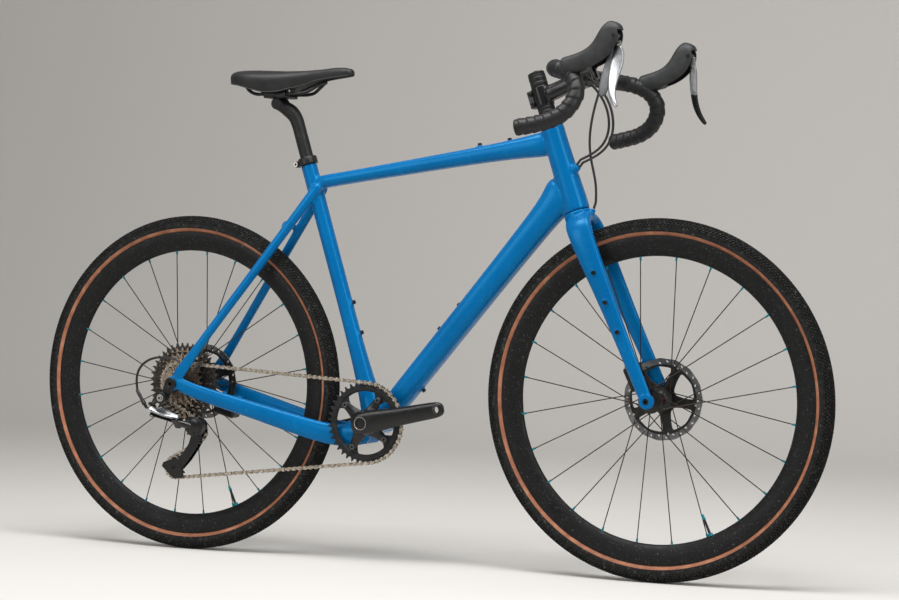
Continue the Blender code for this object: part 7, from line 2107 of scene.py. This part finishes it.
BLUE = blue_paint()
TREAD = knob_rubber()
TAN = sidewall_tan()
RIM = rim_carbon()
WIRE = spoke_black()
TEAL = teal_anodised()
RED = red_anodised()
BLACK = black_alloy()
GLOSS = gloss_black()
CARBON = matt_carbon()
TAPE = tape_black()
HOOD = hood_rubber()
SADDLE = saddle_skin()
THREAD = thread_grey()
HOSE = hose_black()
SILVER = lever_silver()
PADDLE = paddle_grey()
BOLT = bolt_steel()
BRONZE = bronze_steel()
CHAIN = chain_steel()
DARK_STEEL = dark_steel()
DARK = socket_dark()
TRACK = rotor_steel()

make_camera()
make_stage()
make_lamps()
bpy.context.scene.view_settings.view_transform = "Standard"

make_frame(BLUE)
make_fork(BLUE)
for tag, axle in (("front", FRONT_AXLE), ("rear", REAR_AXLE)):
    make_tyre(tag, axle, TAN, TREAD)
    make_rim(tag, axle, RIM, TEAL, BLACK)
make_hub("front", FRONT_AXLE, FRONT_FLANGES, FRONT_HUB_END, FRONT_HUB_SHELL, FRONT_ROTOR, BLACK,
         WIRE, RED)
make_hub("rear", REAR_AXLE, REAR_FLANGES, REAR_HUB_END, REAR_HUB_SHELL, REAR_ROTOR, BLACK, WIRE,
         BLACK)
make_rotor("front", FRONT_AXLE, FRONT_ROTOR, TRACK, BLACK, BOLT, math.radians(28))
make_rotor("rear", REAR_AXLE, REAR_ROTOR, TRACK, BLACK, BOLT, math.radians(60))
make_bar(CARBON)
for tag, side in (("right", -1), ("left", 1)):
    make_tape(tag, side, TAPE, CARBON)
    make_hood(tag, side, HOOD, BLACK, GLOSS)
make_left_lever(SILVER, GLOSS)
make_right_lever(SILVER, GLOSS, PADDLE)

PINS = chain_pins()
SMALL_SCREW = cap_screw("small_screw", 0.0024, 0.0012, BLACK, DARK)
SCREW = cap_screw("black_screw", 0.0042, 0.0022, BLACK, DARK)
RING_SCREW = cap_screw("ring_screw", 0.0052, 0.0030, PADDLE, DARK)
BRIGHT_SCREW = cap_screw("bright_screw", 0.0048, 0.0025, BOLT, DARK)
make_chain(PINS, CHAIN)
make_cassette(PINS, BRONZE, DARK_STEEL, BLACK)
make_chainring(PINS, BLACK)
make_right_crank(GLOSS, BOLT, BLACK, RING_SCREW)
make_left_crank(GLOSS, BLACK, SCREW)
make_cups(BLACK, BOLT)
make_hanger(BLACK, SMALL_SCREW)
make_knuckle(GLOSS, BLACK, BOLT, BRIGHT_SCREW)
make_links(SILVER, BLACK)
make_cage_knuckle(GLOSS, BOLT, SMALL_SCREW)
make_cage(GLOSS, SCREW)
make_pulleys(PINS, CARBON, BOLT)
make_caliper("front", FRONT_AXLE, FRONT_ROTOR, BLACK, BOLT, BRIGHT_SCREW)
make_caliper("rear", REAR_AXLE, REAR_ROTOR, BLACK, BOLT, BRIGHT_SCREW)
make_pads(TRACK, DARK)
make_axle("front", FRONT_AXLE, -0.0631, 0.0634, "steering", BLACK)
make_axle("rear", REAR_AXLE, -0.0845, 0.0795, "frame", BLACK)
make_headset(CARBON, SCREW)
make_stem(GLOSS, SCREW)
make_post(CARBON)
make_saddle(SADDLE, CARBON, THREAD)
make_rails(BLACK, BRIGHT_SCREW)
make_seat_clamp(BLACK, BRIGHT_SCREW)
make_hoses(HOSE)
make_boss_screws(SCREW)
for spare in (SMALL_SCREW, SCREW, RING_SCREW, BRIGHT_SCREW):
    bpy.data.objects.remove(spare)
